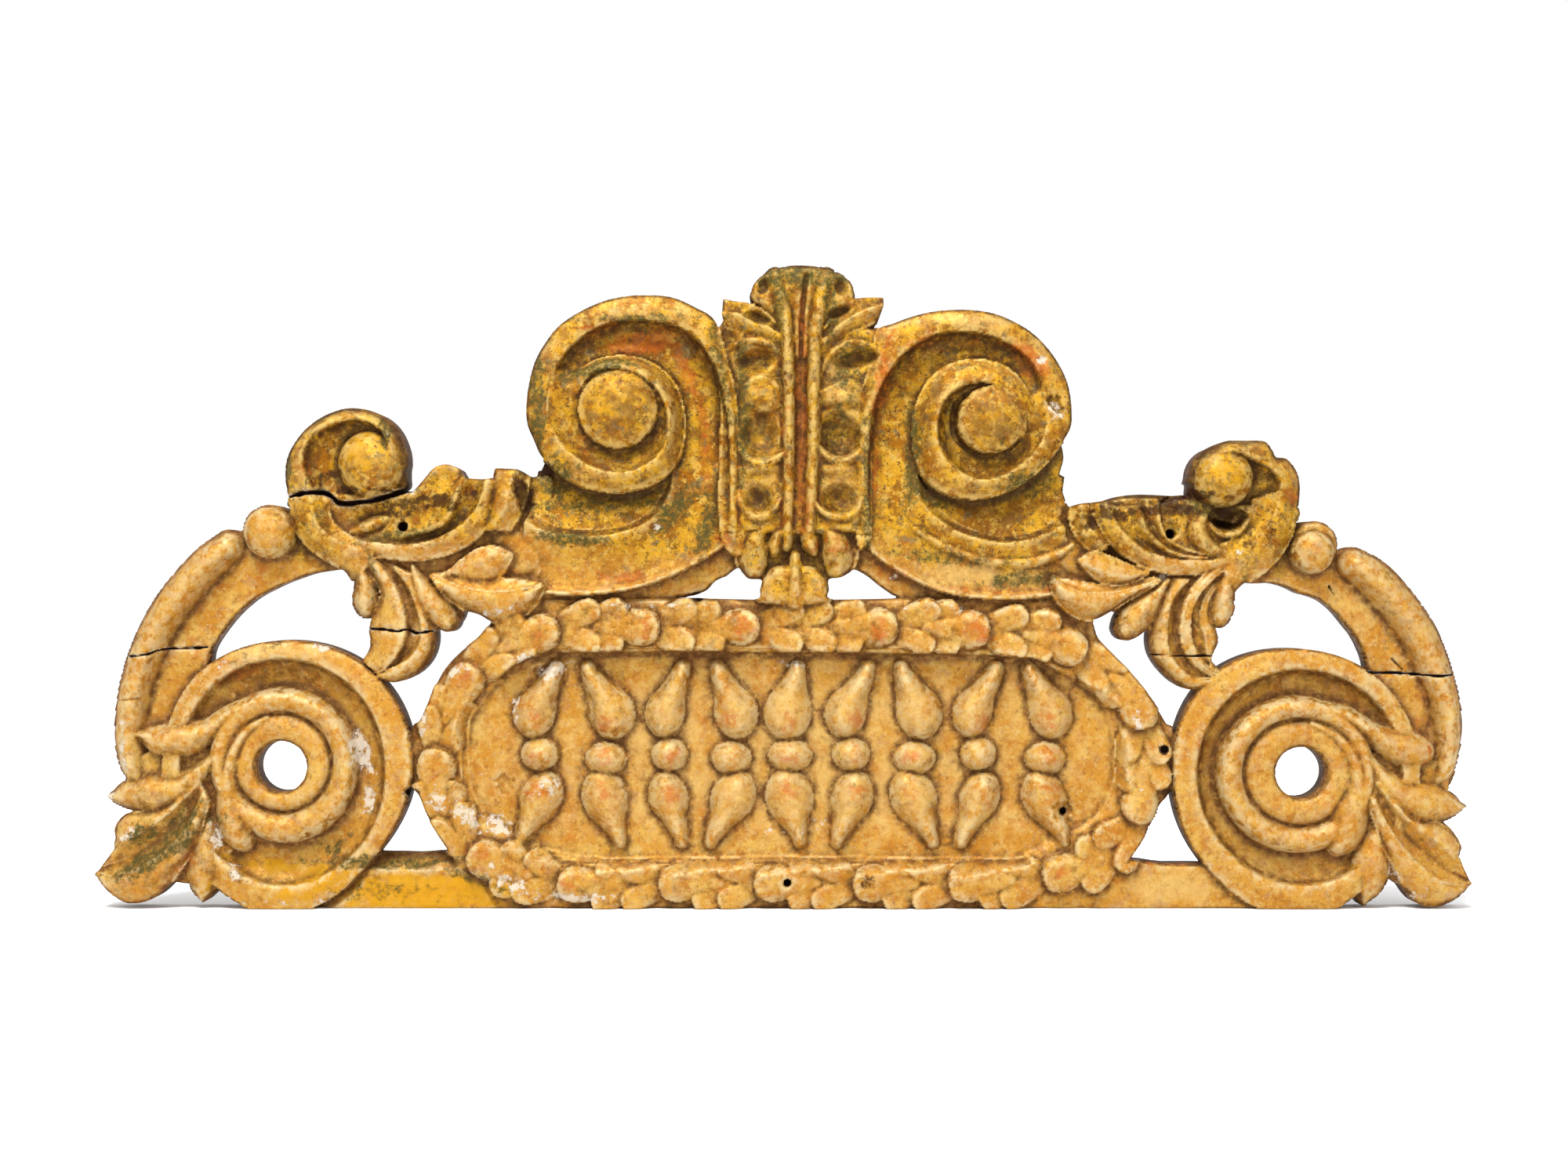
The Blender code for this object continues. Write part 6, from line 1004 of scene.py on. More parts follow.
def palmette(relief):
    relief.flat(((-55, 466), (-54, 474), (-52, 483), (-36, 480), (-33, 484), (-33, 493), (-29, 501),
        (-20, 508), (-5, 512), (10, 512.5), (25, 511), (38, 507), (46, 500), (49, 492), (49.5, 486),
        (60, 486), (70, 486), (71, 478), (68, 471), (64, 461), (60, 440), (55, 300), (48, 268), (28, 250),
        (-27, 250), (-43, 268), (-48, 300), (-50, 440)), 32)
    relief.flat(((-58, 298), (-58, 400), (-60, 440), (-60, 462), (-36, 470), (-36, 298)), 38)
    relief.flat(((50, 298), (50, 440), (60, 462), (74, 458), (72, 430), (64, 400), (63, 340), (63, 298)), 38)
    relief.pillow(PALMETTE_BODY, 41, 5, 6)
    # Flared cap.
    relief.pillow(((-33, 485), (-33, 493), (-29, 501), (-20, 508), (-5, 512.5), (10, 513), (25, 511.5),
        (38, 507), (46, 500), (49, 492), (48, 484), (30, 470), (24, 440), (-10, 440), (-16, 470)), 44, 9, 7)
    # Top leaves: upper edge, keel and lower edge.
    relief.loft(((-55, 486, 40), (-46, 484, 41), (-34, 482, 42), (-20, 473, 43), (-9, 462, 45)),
        ((-56, 474, 45), (-44, 473, 46), (-32, 469, 47), (-20, 463, 47), (-9, 455, 47)),
        ((-53, 465, 38), (-42, 460, 40), (-32, 457, 41), (-20, 452, 42), (-9, 446, 43)), sags=(4.0, 0.0))
    relief.loft(((72, 487, 40), (60, 487, 41), (48, 485, 42), (36, 475, 43), (25, 462, 45)),
        ((72, 481, 45), (58, 476, 46), (46, 470, 47), (35, 462, 47), (25, 452, 47)),
        ((68, 470, 38), (58, 465, 40), (46, 461, 41), (35, 454, 42), (25, 445, 43)), sags=(4.0, 0.0))
    for x, z, half_x, half_z, low, turned in PALMETTE_SCOOPS:
        relief.oval(x, z, half_x, half_z, low, carve=True, rise=11, turned=turned)
    for x, z, half_x, half_z, top, turned in PALMETTE_LOBES:
        relief.oval(x, z, half_x, half_z, top, "soft", 6, turned=turned)
    for points in PALMETTE_RIDGES:
        relief.stroke(points, "soft", 7)
    for x in (-27, 39):
        for z in (330, 365, 400, 435):
            relief.wear(x, z, 22, 34, 1.1)
    # Bottom leaf of three lobes, then the drops over it.
    relief.pillow(((-26, 244), (-27, 256), (-22, 266), (-12, 274), (14, 274), (24, 266), (29, 256),
        (28, 244)), 43, 8, 9)
    relief.stroke(((2, 282, 4, 44), (2, 268, 6, 46), (2, 254, 8, 46), (2, 246, 8, 43)), "soft", 6)
    for points in PALMETTE_DROPS:
        relief.stroke(points, "soft", 9)
    # Split stem that flares into the cap.
    relief.stroke(((-5, 290, 5, 44), (-4, 310, 6, 47), (-3, 360, 6, 49), (-3, 420, 6, 50), (-5, 460, 7, 50),
        (-9, 485, 9, 49), (-14, 503, 9, 46)), "soft", 9)
    relief.stroke(((12, 290, 5, 44), (14, 310, 6, 47), (16, 360, 6, 49), (17, 420, 6.5, 50),
        (18, 460, 7, 50), (22, 485, 8.5, 49), (27, 503, 9, 46)), "soft", 9)
    relief.groove(((6, 300, 2, 42), (6, 340, 3, 41), (6.5, 400, 3.5, 40), (7, 460, 3.5, 40), (9, 490, 4, 40),
        (11, 505, 4.5, 41)), 9)


# Openings between the cartouche and the volutes.
CENTRE_OPENINGS = (
    ((-79, 248.5), (-70, 254), (-60, 260.5), (-45, 272), (-40, 268), (-35, 263.5), (-25, 262.5), (-26, 255),
        (-28, 247.5), (-50, 247)),
    ((30, 247.5), (29, 255), (29, 263), (38, 264.5), (45, 268), (50, 271), (60, 266), (70, 258), (80, 251),
        (84, 248), (60, 247)),
)


def centre_openings(relief):
    for points in CENTRE_OPENINGS:
        area, inside = relief.outline(points, reach=12.0)
        relief.hole(area, inside)


FORMS = (border, field_strokes, rails, scrolls, arcs, fingers, clusters, small_scrolls, volutes, palmette,
         centre_openings, scroll_holes)


def carve(grid):
    relief = Relief(grid)
    for form in FORMS:
        form(relief)
    relief.finish()
    return relief


def body_of(relief):
    """Points and triangles of the closed body: the relief in front, walls, and the flat back."""
    inside = relief.inside.copy()
    inside[np.abs(inside) < 0.02] = 0.02
    inside[0, :] = inside[-1, :] = -1.0
    inside[:, 0] = inside[:, -1] = -1.0
    rows, columns = inside.shape
    kept = inside > 0
    number = -np.ones(inside.shape, int)
    number[kept] = np.arange(kept.sum())
    zz, xx = np.nonzero(kept)
    points = [np.column_stack([relief.x[xx], relief.z[zz], relief.height[kept]])]
    total = int(kept.sum())

    def crossings(first, second, row_step, column_step):
        """Points where the outline cuts the grid lines that run between neighbours."""
        cut = first != second
        index = -np.ones(cut.shape, int)
        z0, x0 = np.nonzero(cut)
        a = inside[z0, x0]
        b = inside[z0 + row_step, x0 + column_step]
        t = np.clip(a / (a - b), 0.04, 0.96)
        x = relief.x[x0] + t * column_step * relief.grid
        z = relief.z[z0] + t * row_step * relief.grid
        height = np.where(a > 0, relief.height[z0, x0], relief.height[z0 + row_step, x0 + column_step])
        index[z0, x0] = np.arange(len(x0))
        return index, np.column_stack([x, z, height])

    across, made = crossings(kept[:, :-1], kept[:, 1:], 0, 1)
    across[across >= 0] += total
    points.append(made)
    total += len(made)
    upward, made = crossings(kept[:-1, :], kept[1:, :], 1, 0)
    upward[upward >= 0] += total
    points.append(made)
    points = np.vstack(points)

    triangles = []
    rims = []
    code = (kept[:-1, :-1] * 1 + kept[:-1, 1:] * 2 + kept[1:, 1:] * 4 + kept[1:, :-1] * 8)
    # Corner loops of a cell, anticlockwise in x and z; C is a corner and E an edge of the cell.
    loops = {1: ["C0 E0 E3"], 2: ["C1 E1 E0"], 4: ["C2 E2 E1"], 8: ["C3 E3 E2"], 3: ["C0 C1 E1 E3"],
             6: ["C1 C2 E2 E0"], 12: ["C2 C3 E3 E1"], 9: ["C3 C0 E0 E2"], 7: ["C0 C1 C2 E2 E3"],
             14: ["C1 C2 C3 E3 E0"], 13: ["C2 C3 C0 E0 E1"], 11: ["C3 C0 C1 E1 E2"], 15: ["C0 C1 C2 C3"],
             5: ["C0 E0 E3", "C2 E2 E1"], 10: ["C1 E1 E0", "C3 E3 E2"]}
    for value, cell_loops in loops.items():
        z0, x0 = np.nonzero(code == value)
        if not len(z0):
            continue
        corner = {"C0": number[z0, x0], "C1": number[z0, x0 + 1], "C2": number[z0 + 1, x0 + 1],
                  "C3": number[z0 + 1, x0], "E0": across[z0, x0], "E1": upward[z0, x0 + 1],
                  "E2": across[z0 + 1, x0], "E3": upward[z0, x0]}
        for loop in cell_loops:
            names = loop.split()
            for k in range(1, len(names) - 1):
                triangles.append(np.column_stack([corner[names[0]], corner[names[k]], corner[names[k + 1]]]))
            for k, name in enumerate(names):
                after = names[(k + 1) % len(names)]
                if name[0] == "E" and after[0] == "E":
                    rims.append(np.column_stack([corner[name], corner[after]]))
    front = np.vstack(triangles)
    rims = np.vstack(rims)
    count = len(points)
    back_points = points.copy()
    back_points[:, 2] = 0.0
    walls = np.vstack([np.column_stack([rims[:, 1], rims[:, 0], rims[:, 0] + count]),
                       np.column_stack([rims[:, 1], rims[:, 0] + count, rims[:, 1] + count])])
    faces = np.vstack([front, front[:, ::-1] + count, walls])
    return np.vstack([points, back_points]), faces


def in_frame(points):
    """Metres: x to the right, y into the wall, z up from the middle of the cartouche."""
    return np.column_stack([points[:, 0] * UNIT_X, -points[:, 2] * UNIT_Y,
                            (points[:, 1] - MIDDLE_ABOVE_BASE) * UNIT_Z])


def mesh_from(name, points, faces):
    mesh = bpy.data.meshes.new(name)
    mesh.vertices.add(len(points))
    mesh.vertices.foreach_set("co", np.asarray(points, np.float32).ravel())
    mesh.loops.add(faces.size)
    mesh.loops.foreach_set("vertex_index", faces.astype(np.int32).ravel())
    mesh.polygons.add(len(faces))
    mesh.polygons.foreach_set("loop_start", np.arange(0, faces.size, 3, dtype=np.int32))
    mesh.polygons.foreach_set("loop_total", np.full(len(faces), 3, np.int32))
    mesh.update(calc_edges=True)
    mesh.validate()
    return mesh


def thinned(piece, triangles):
    """Fewer faces for the same form, then the back and the base drawn flat again."""
    modifier = piece.modifiers.new("Thin", "DECIMATE")
    modifier.ratio = triangles / len(piece.data.polygons)
    modifier.use_collapse_triangulate = True
    graph = bpy.context.evaluated_depsgraph_get()
    mesh = bpy.data.meshes.new_from_object(piece.evaluated_get(graph))
    piece.modifiers.clear()
    points = np.empty(len(mesh.vertices) * 3, np.float32)
    mesh.vertices.foreach_get("co", points)
    points = points.reshape(-1, 3)
    near = SNAPPED * GRID * UNIT_Y
    points[:, 1] = np.where(np.abs(points[:, 1]) < near, 0.0, points[:, 1])
    base = -MIDDLE_ABOVE_BASE * UNIT_Z
    points[:, 2] = np.where(np.abs(points[:, 2] - base) < near, base, points[:, 2])
    mesh.vertices.foreach_set("co", points.ravel())
    mesh.update()
    piece.data = mesh


def spots(relief, rows):
    """Soft patches: each row is (x, z, half width, half height, turned, strength)."""
    made = np.zeros(relief.height.shape)
    for x, z, half_x, half_z, turned, strength in rows:
        reach = 2.2 * max(half_x, half_z)
        area = relief.window(x - reach, x + reach, z - reach, z + reach)
        gx, gz = relief.places(area)
        u, v = in_oval(gx - x, gz - z, half_x, half_z, turned)
        made[area] = np.maximum(made[area], strength * np.exp(-0.7 * (u * u + v * v) ** 1.5))
    return made


def cloud(relief, size, seed):
    """Smooth random heights from -1 to 1 whose bumps are about `size` millimetres across."""
    chance = np.random.default_rng(seed)
    across = (relief.x - relief.x[0]) / size
    up = (relief.z - relief.z[0]) / size
    values = chance.uniform(-1, 1, (int(up[-1]) + 3, int(across[-1]) + 3))
    i, j = across.astype(int), up.astype(int)
    s, t = across - i, (up - j)[:, None]
    s, t = s * s * (3 - 2 * s), t * t * (3 - 2 * t)
    rows = values[:, i] * (1 - s) + values[:, i + 1] * s
    return rows[j] * (1 - t) + rows[j + 1] * t


# Cracks along the joints and the grain: breadth, depth, then points (x, z).
CRACKS = (
    (1.7, 4.0, ((-536, 201), (-515, 203), (-504, 207), (-480, 208), (-468, 209))),
    (1.3, 1.2, ((-541, 166), (-531, 167), (-520, 168))),
    (3.6, 12.0,
        ((-403, 328), (-392, 331), (-375, 332), (-367, 328), (-362, 324), (-350, 324), (-335, 326),
        (-320, 330), (-310, 333), (-302, 333.5))),
    (1.7, 4.0, ((-338, 223.5), (-325, 223), (-314, 221.5), (-308, 223), (-300, 220), (-287, 222))),
    (1.7, 4.0, ((458, 190), (465, 188), (480, 188), (500, 187), (515, 186), (530, 187))),
    (1.5, 2.0, ((430, 258), (435, 250))), (1.5, 2.0, ((480, 200), (490, 190))),
    (1.6, 3.0, ((287, 203), (310, 202), (334, 202))), (1.4, 1.2, ((-66, 300), (-56, 300.5), (-46, 300))),
    (1.4, 1.2, ((48, 299), (58, 298.5), (70, 297))),
)
# Nail holes: x, z, radius, depth.
NAIL_HOLES = (
    (-311, 305, 3.6, 12), (301, 299, 3.6, 12), (-4.4, 20.7, 2.8, 12), (217, 77, 2.8, 10), (-75, 249, 3.5, 8),
    (297, 127, 3.0, 6), (-306, 93, 3.0, 8),
)
# Chips, dents and broken edges: x, z, half width, half height, turned, depth.
CHIPS = (
    (-110, 305, 4, 3, 0, 1.5), (198, 437, 3.5, 3, 0, 1.5), (209, 402, 9, 5, -60, 4),
    (-230, 99, 7, 7, 0, 1.5), (272, 327, 28, 5, 3, 5), (232, 309, 9, 9, 0, 3), (306, 325, 8, 6, 0, 4),
    (-215, 330, 6, 14, 20, 4), (296, 265, 4, 3, 0, 1), (81, 265, 4, 3, 0, 1), (217, 77, 9, 8, 0, 2.5),
    (-203, 190, 7, 4, 20, 1.2), (-268, 186, 9, 6, 10, 0.8), (-280, 100, 8, 8, 0, 1.0),
    (-236, 66, 14, 6, -30, 1.2), (-190, 12, 14, 5, 0, 1.2), (-345, 125, 8, 20, 15, 0.7),
    (-340, 87, 7, 12, 0, 0.7), (345, 320, 10, 8, 0, 3), (-150, 28, 9, 6, 0, 0.8),
)

# Tool marks, as clouds of small heights: height, size, seed.
TOOL_MARKS = ((0.34, 9.0, 1), (0.30, 17.0, 2), (0.16, 4.5, 3))


def age(relief):
    """Tool marks, cracks, nail holes and chips; returns how dark or bare each place is left by them."""
    marks = sum(height * cloud(relief, size, seed) for height, size, seed in TOOL_MARKS)
    relief.height = relief.height + np.where(relief.inside > 2.0, marks, 0.0)
    opened = np.zeros(relief.height.shape)
    bared = np.zeros(relief.height.shape)
    for broad, depth, points in CRACKS:
        area, inside, side, _, share = relief.along([(x, z, 2.5 * broad, 0) for x, z in points], 4)
        away = np.abs(side) * 2.5 * broad + 0.5 * cloud(relief, 5.0, 4)[area]
        ends = unit(8.0 * share * (1.0 - share) + 0.3)
        cut = unit(1.35 - away / (0.5 * broad * ends)) * (inside > 0)
        relief.height[area] -= depth * ends * cut
        opened[area] = np.maximum(opened[area], cut * min(1.0, depth / 3.0))
        bared[area] = np.maximum(bared[area], 0.7 * unit(1.8 - away / broad) * (inside > 0) * (depth > 3))
    for x, z, radius, depth in NAIL_HOLES:
        area = relief.window(x - 3 * radius, x + 3 * radius, z - 3 * radius, z + 3 * radius)
        gx, gz = relief.places(area)
        away = np.hypot(gx - x, gz - z) / radius
        relief.height[area] -= depth * unit(3.0 - 2.6 * away) + 0.8 * unit(2.0 - away)
        opened[area] = np.maximum(opened[area], unit(2.2 - 1.7 * away))
    for x, z, half_x, half_z, turned, depth in CHIPS:
        hit = spots(relief, ((x, z, half_x, half_z, turned, 1.0),))
        ragged = hit + 0.28 * cloud(relief, 5.0, 5) + 0.2 * cloud(relief, 2.6, 6)
        hit = unit(2.2 * ragged - 0.7) * (hit > 0.05)
        relief.height -= depth * hit
        if depth < 2:
            bared = np.maximum(bared, 0.55 * hit)
        else:
            opened = np.maximum(opened, 0.22 * hit)
    relief.height = np.maximum(relief.height, LEAST_HEIGHT)
    return {"opened": opened, "bared": bared}


# Patches of colour, as soft ovals: x, z, half width, half height, turned, strength.
UPPER = (
    (-130, 390, 110, 110, 0, 1), (150, 380, 110, 110, 0, 1), (0, 390, 80, 140, 0, 1),
    (-110, 325, 110, 45, 0, 1), (150, 325, 100, 42, 0, 1), (-365, 360, 60, 45, 0, 1),
    (350, 330, 55, 50, 0, 1), (-290, 320, 70, 30, 0, 0.9), (270, 310, 60, 35, 0, 0.9),
    (390, 310, 20, 40, 0, 0.8), (-380, 300, 30, 30, 0, 0.7),
)
RED = (
    (-122, 452, 24, 8, 8, 1.7), (-84, 425, 6, 26, 20, 0.9), (-70, 370, 4, 50, 4, 0.6),
    (-150, 466, 30, 4, 15, 0.6), (188, 438, 18, 8, -35, 1.5), (72, 420, 7, 34, -8, 1),
    (64, 350, 5, 40, 0, 0.8), (100, 452, 16, 6, 25, 0.7), (7, 400, 4, 90, 0, 1.4), (8, 325, 9, 22, 0, 0.7),
    (-8, 350, 5, 60, 0, 0.4), (30, 290, 24, 8, 0, 0.6), (75, 268, 26, 6, -20, 0.7),
    (-60, 285, 5, 16, -20, 0.8), (-130, 265, 34, 4, 0, 0.7), (150, 255, 50, 4, 0, 0.5),
    (-118, 224, 7, 11, 0, 0.7), (-38, 225, 9, 9, 0, 0.9), (70, 222, 8, 12, 0, 0.8),
    (148, 222, 10, 11, 0, 0.9), (-200, 215, 10, 9, 0, 0.7), (-262, 190, 8, 12, 0, 0.7),
    (-285, 112, 8, 9, 0, 0.7), (-250, 42, 8, 12, 20, 0.6), (215, 25, 10, 8, 0, 0.8),
    (-180, 22, 9, 7, 0, 0.7), (-480, 40, 14, 10, 40, 0.5), (-540, 205, 8, 14, 0, 0.6),
    (-545, 170, 6, 25, 5, 0.7), (-425, 272, 14, 8, 20, 0.5), (505, 150, 6, 40, 0, 0.5),
    (415, 285, 9, 9, 0, 0.4), (-412, 302, 8, 8, 0, 0.4), (300, 35, 40, 3, 0, 0.7),
    (-440, 190, 20, 5, 20, 0.5), (-388, 350, 5, 14, 10, 0.5), (-262, 272, 10, 6, 0, 0.5),
    (325, 130, 5, 30, 0, 0.4), (-300, 135, 5, 12, 0, 0.4), (300, 145, 6, 6, 0, 0.6),
    (400, 330, 8, 12, 0, 0.6), (420, 40, 60, 6, 5, 0.3), (-43, 320, 3, 40, 0, 0.6),
    (45, 480, 10, 6, 30, 0.4),
)
# Red ground on most of the strokes and beads of the field.
STROKE_RED = tuple((middle + 3 * (k % 3 - 1), z, 8, 8, 0, 0.75)
                   for k, (middle, _, _, _) in enumerate(STROKE_ROWS) for z in (150, 121, 93) if (k + z) % 4)
WHITE = (
    (-345, 125, 8, 22, 15, 1), (-340, 87, 7, 12, 0, 0.9), (-110, 305, 4, 3, 0, 1), (198, 437, 4, 3, 0, 1),
    (208, 398, 10, 7, -40, 0.8), (296, 265, 4, 3, 0, 1), (81, 265, 4, 3, 0, 1), (-262, 74, 18, 7, -45, 0.9),
    (-285, 85, 9, 12, 0, 0.8), (-236, 66, 14, 8, -30, 1), (-225, 20, 26, 7, -20, 0.8),
    (-170, 10, 40, 5, 0, 0.8), (-195, 190, 22, 6, 15, 0.8), (-222, 165, 4, 20, 0, 0.7),
    (-215, 200, 14, 4, 20, 0.7), (-268, 188, 9, 6, 20, 0.8), (-295, 150, 4, 16, -10, 0.7),
    (-290, 120, 8, 6, 0, 0.7), (-195, 95, 12, 10, 0, 0.6), (-155, 120, 4, 14, 0, 0.6),
    (-240, 35, 6, 14, 30, 0.6), (-530, 60, 8, 5, 40, 0.8), (-460, 55, 5, 12, 10, 0.9),
    (-445, 30, 5, 12, 20, 0.7), (-535, 130, 5, 26, 0, 0.6), (-550, 92, 10, 6, 0, 0.7),
    (-400, 5, 40, 3, 0, 0.7), (-300, 210, 5, 14, 0, 0.5), (-235, 237, 22, 4, 10, 0.7),
    (-455, 195, 12, 4, 40, 0.6), (-375, 208, 12, 4, -10, 0.7), (120, 240, 50, 3, 0, 0.5),
    (-120, 242, 40, 3, 0, 0.6), (275, 150, 8, 12, 0, 0.5), (282, 95, 9, 9, 0, 0.5), (355, 285, 4, 4, 0, 0.6),
    (-10, 60, 26, 5, 0, 0.5), (20, 68, 8, 6, 0, 0.7), (-130, 190, 14, 5, 0, 0.5), (-2, 195, 20, 5, 0, 0.5),
    (500, 10, 20, 5, 20, 0.6), (480, 30, 6, 14, 20, 0.6), (535, 90, 5, 6, 0, 0.6), (-30, 250, 8, 3, 0, 0.6),
)
YELLOW = (
    (-300, 13, 90, 16, 0, 1.2), (-375, 22, 40, 14, 15, 1), (-420, 33, 40, 7, -5, 0.8),
    (-452, 40, 8, 20, 15, 0.9), (-468, 18, 8, 12, 0, 0.8), (-478, 75, 8, 16, 40, 0.6),
    (-515, 20, 12, 6, 0, 0.5), (-350, 360, 18, 16, 0, 0.9), (-350, 385, 26, 6, 10, 0.5),
    (345, 345, 14, 14, 0, 0.7), (-140, 400, 24, 22, 0, 0.7), (155, 385, 22, 20, 0, 0.6),
    (-270, 315, 20, 16, 0, 0.5), (-130, 345, 40, 6, 10, 0.5), (-540, 92, 12, 6, 0, 0.4),
    (-235, 300, 20, 8, 0, 0.4),
)
GREEN = (
    (-203, 400, 5, 50, 0, 0.9), (-190, 345, 12, 14, -30, 0.9), (-150, 325, 60, 6, 5, 0.6),
    (-180, 296, 30, 5, -5, 0.9), (-95, 318, 22, 7, 50, 0.8), (-70, 300, 6, 30, -10, 0.8),
    (-155, 430, 30, 5, 15, 0.8), (-58, 430, 5, 40, 10, 0.7), (-40, 400, 5, 60, 0, 0.8),
    (42, 430, 10, 20, 0, 0.5), (35, 390, 9, 30, 0, 0.3), (60, 330, 4, 60, 0, 0.7), (95, 360, 5, 40, 0, 0.8),
    (110, 330, 14, 6, -30, 0.8), (190, 340, 24, 8, 0, 0.7), (185, 262, 34, 7, 3, 0.9),
    (120, 280, 50, 5, -3, 0.6), (10, 505, 45, 8, 0, 1), (-10, 490, 5, 30, 0, 0.7), (30, 480, 5, 30, 0, 0.7),
    (-505, 45, 34, 8, 32, 1.5), (-488, 66, 9, 22, -35, 1.3), (-520, 60, 12, 8, 20, 1.0),
    (-460, 72, 24, 5, 0, 0.7), (-325, 37, 60, 6, 0, 1.1), (-330, 12, 50, 8, 0, 0.5),
    (-255, 25, 30, 6, -20, 0.8), (-365, 50, 14, 7, 40, 0.7), (-320, 297, 36, 4, 8, 0.8),
    (-335, 270, 5, 26, 10, 0.7), (-380, 393, 30, 5, 25, 0.9), (-322, 385, 5, 14, 0, 0.8),
    (-405, 345, 5, 18, 0, 0.6), (330, 318, 24, 5, -10, 0.7), (-430, 205, 40, 3, 20, 0.5),
    (360, 262, 5, 20, 0, 0.5), (-120, 470, 60, 4, 0, 0.4), (-440, 25, 12, 5, -30, 0.6),
)
DARK = (
    (-215, 330, 7, 16, 15, 1), (300, 322, 14, 9, 0, 1), (255, 316, 20, 7, -10, 0.8),
    (235, 308, 10, 7, 0, 0.8), (345, 312, 14, 10, 0, 0.9), (-305, 318, 26, 6, 5, 0.7),
    (-345, 334, 40, 4, -3, 0.7), (58, 20, 9, 9, 0, 0.5), (-200, 352, 10, 8, 0, 0.8),
    (-75, 249, 8, 4, 0, 0.9), (297, 127, 5, 5, 0, 0.9), (-305, 92, 8, 6, 0, 0.9), (300, 92, 7, 5, 0, 0.8),
    (380, 300, 6, 20, 0, 0.5), (-290, 322, 50, 5, 0, 0.8), (290, 318, 46, 5, 0, 0.8),
    (-296, 326, 30, 5, 10, 0.9), (-258, 332, 14, 5, 0, 0.7), (322, 330, 12, 6, 0, 0.9),
    (-370, 345, 20, 5, 20, 0.6), (360, 300, 5, 24, 0, 0.6),
)

# Where the gold is paler, rubbed or freshly touched up, and where light is painted onto the sunk field and
# highlight along the top rims.
PALE_AND_HIGHLIGHT = (
    (0, 125, 240, 78, 0, 0.9), (302, 16, 44, 16, 0, 1), (-415, 205, 64, 9, 0, 1), (455, 240, 22, 22, 0, 0.8),
    (140, 264, 64, 13, 0, 1), (130, 468, 60, 7, 0, 0.9), (-130, 477, 60, 7, 0, 0.8),
    (38, 380, 18, 76, 0, 0.6), (-28, 352, 15, 40, 0, 0.5), (-525, 180, 14, 64, 0, 0.4),
    (400, 30, 66, 14, 0, 0.5), (-392, 354, 6, 22, 0, 0.6), (505, 190, 16, 60, 0, 0.4),
    (-205, 440, 9, 30, -20, 0.7), (200, 440, 8, 30, 30, 0.6), (-60, 460, 10, 14, 0, 0.5),
)
# Where the brown film over the gold is thicker, and where shade is painted into scoops and the recesses under
# the whorls.
BROWN_FILM_AND_SHADE = (
    (-100, 226, 150, 22, 0, 0.6), (120, 226, 150, 22, 0, 0.5), (-505, 60, 50, 50, 0, 0.8),
    (165, 312, 60, 18, 0, 1), (-155, 318, 60, 14, 0, 0.3), (-150, 395, 70, 60, 0, 0.4),
    (150, 385, 60, 55, 0, 0.4), (0, 400, 60, 110, 0, 0.5), (270, 312, 60, 22, 0, 0.7),
    (345, 325, 40, 30, 0, 0.6), (-415, 185, 50, 10, 0, 1.0), (415, 178, 46, 9, 0, 0.8),
    (-400, 56, 40, 8, 0, 0.8), (-340, 305, 60, 20, 0, 0.6), (395, 300, 14, 40, 0, 0.5),
    (-285, 30, 60, 6, 0, 0.5), (-180, 120, 60, 80, 0, 0.25), (-120, 15, 90, 14, 0, 0.4),
    (-138, 398, 26, 24, 0, 1.2), (158, 386, 24, 22, 0, 1.2), (-350, 358, 18, 14, 0, 0.7),
    (-340, 262, 20, 30, 0, 0.5), (-60, 280, 30, 30, 0, 0.5), (40, 280, 30, 20, 0, 0.4),
    (-420, 60, 60, 20, 0, 0.4),
)

PATCHES = {"upper": UPPER, "red": RED + STROKE_RED, "white": WHITE, "yellow": YELLOW, "green": GREEN,
           "dark": DARK, "brown_film_and_shade": BROWN_FILM_AND_SHADE, "pale_and_highlight": PALE_AND_HIGHLIGHT}


def coats(relief):
    """Shares of wear, dirt, painted shade, painted highlight and colour over the face, from its form and from
    where the patches lie.
    """
    kept = (relief.inside > 0).astype(float)
    wide = blurred(relief.height, kept, 6.0, relief.grid)
    near = blurred(relief.height, kept, 2.5, relief.grid)
    rims = unit((relief.height - blurred(relief.height, kept, 1.4, relief.grid) - 0.04) / 0.35)
    gz, gx = np.gradient(np.where(kept > 0, relief.height, wide), relief.grid)
    made = {name: spots(relief, rows) for name, rows in PATCHES.items()}
    # The hollows and pits carry dirt and painted shade; the proud edges carry wear and painted highlight.
    made["hollow"] = unit((wide - relief.height - 0.4) / 5.0)
    made["pit"] = unit((near - relief.height - 0.10) / 0.65)
    made["worn_and_highlit"] = np.maximum(unit((relief.height - near - 0.08) / 0.75), rims)
    made["steep"] = unit(np.hypot(gx, gz) / 1.6 - 0.15)
    return made


def read_at(relief, values, points):
    """A field of the face read at points given in the frame's metres."""
    x = np.clip((points[:, 0] / UNIT_X - relief.x[0]) / relief.grid, 0, len(relief.x) - 1.001)
    z = np.clip((points[:, 2] / UNIT_Z + MIDDLE_ABOVE_BASE - relief.z[0]) / relief.grid, 0,
                len(relief.z) - 1.001)
    i, j = x.astype(int), z.astype(int)
    s, t = x - i, z - j
    return ((values[j, i] * (1 - s) + values[j, i + 1] * s) * (1 - t)
            + (values[j + 1, i] * (1 - s) + values[j + 1, i + 1] * s) * t)


def paint_coats(piece, relief, aged):
    mesh = piece.data
    points = np.empty(len(mesh.vertices) * 3, np.float32)
    mesh.vertices.foreach_get("co", points)
    points = points.reshape(-1, 3)
    layers = dict(coats(relief), **aged)
    kept = relief.inside > 0
    outside = blurred(relief.height, kept.astype(float), 2.0, relief.grid)
    layers["below"] = np.where(kept, relief.height, outside)
    for name, values in layers.items():
        made = read_at(relief, values, points)
        if name == "below":
            made = np.maximum(made + points[:, 1] / UNIT_Y, 0.0) / 10.0
        layer = mesh.attributes.new(name, "FLOAT", "POINT")
        layer.data.foreach_set("value", made.astype(np.float32))


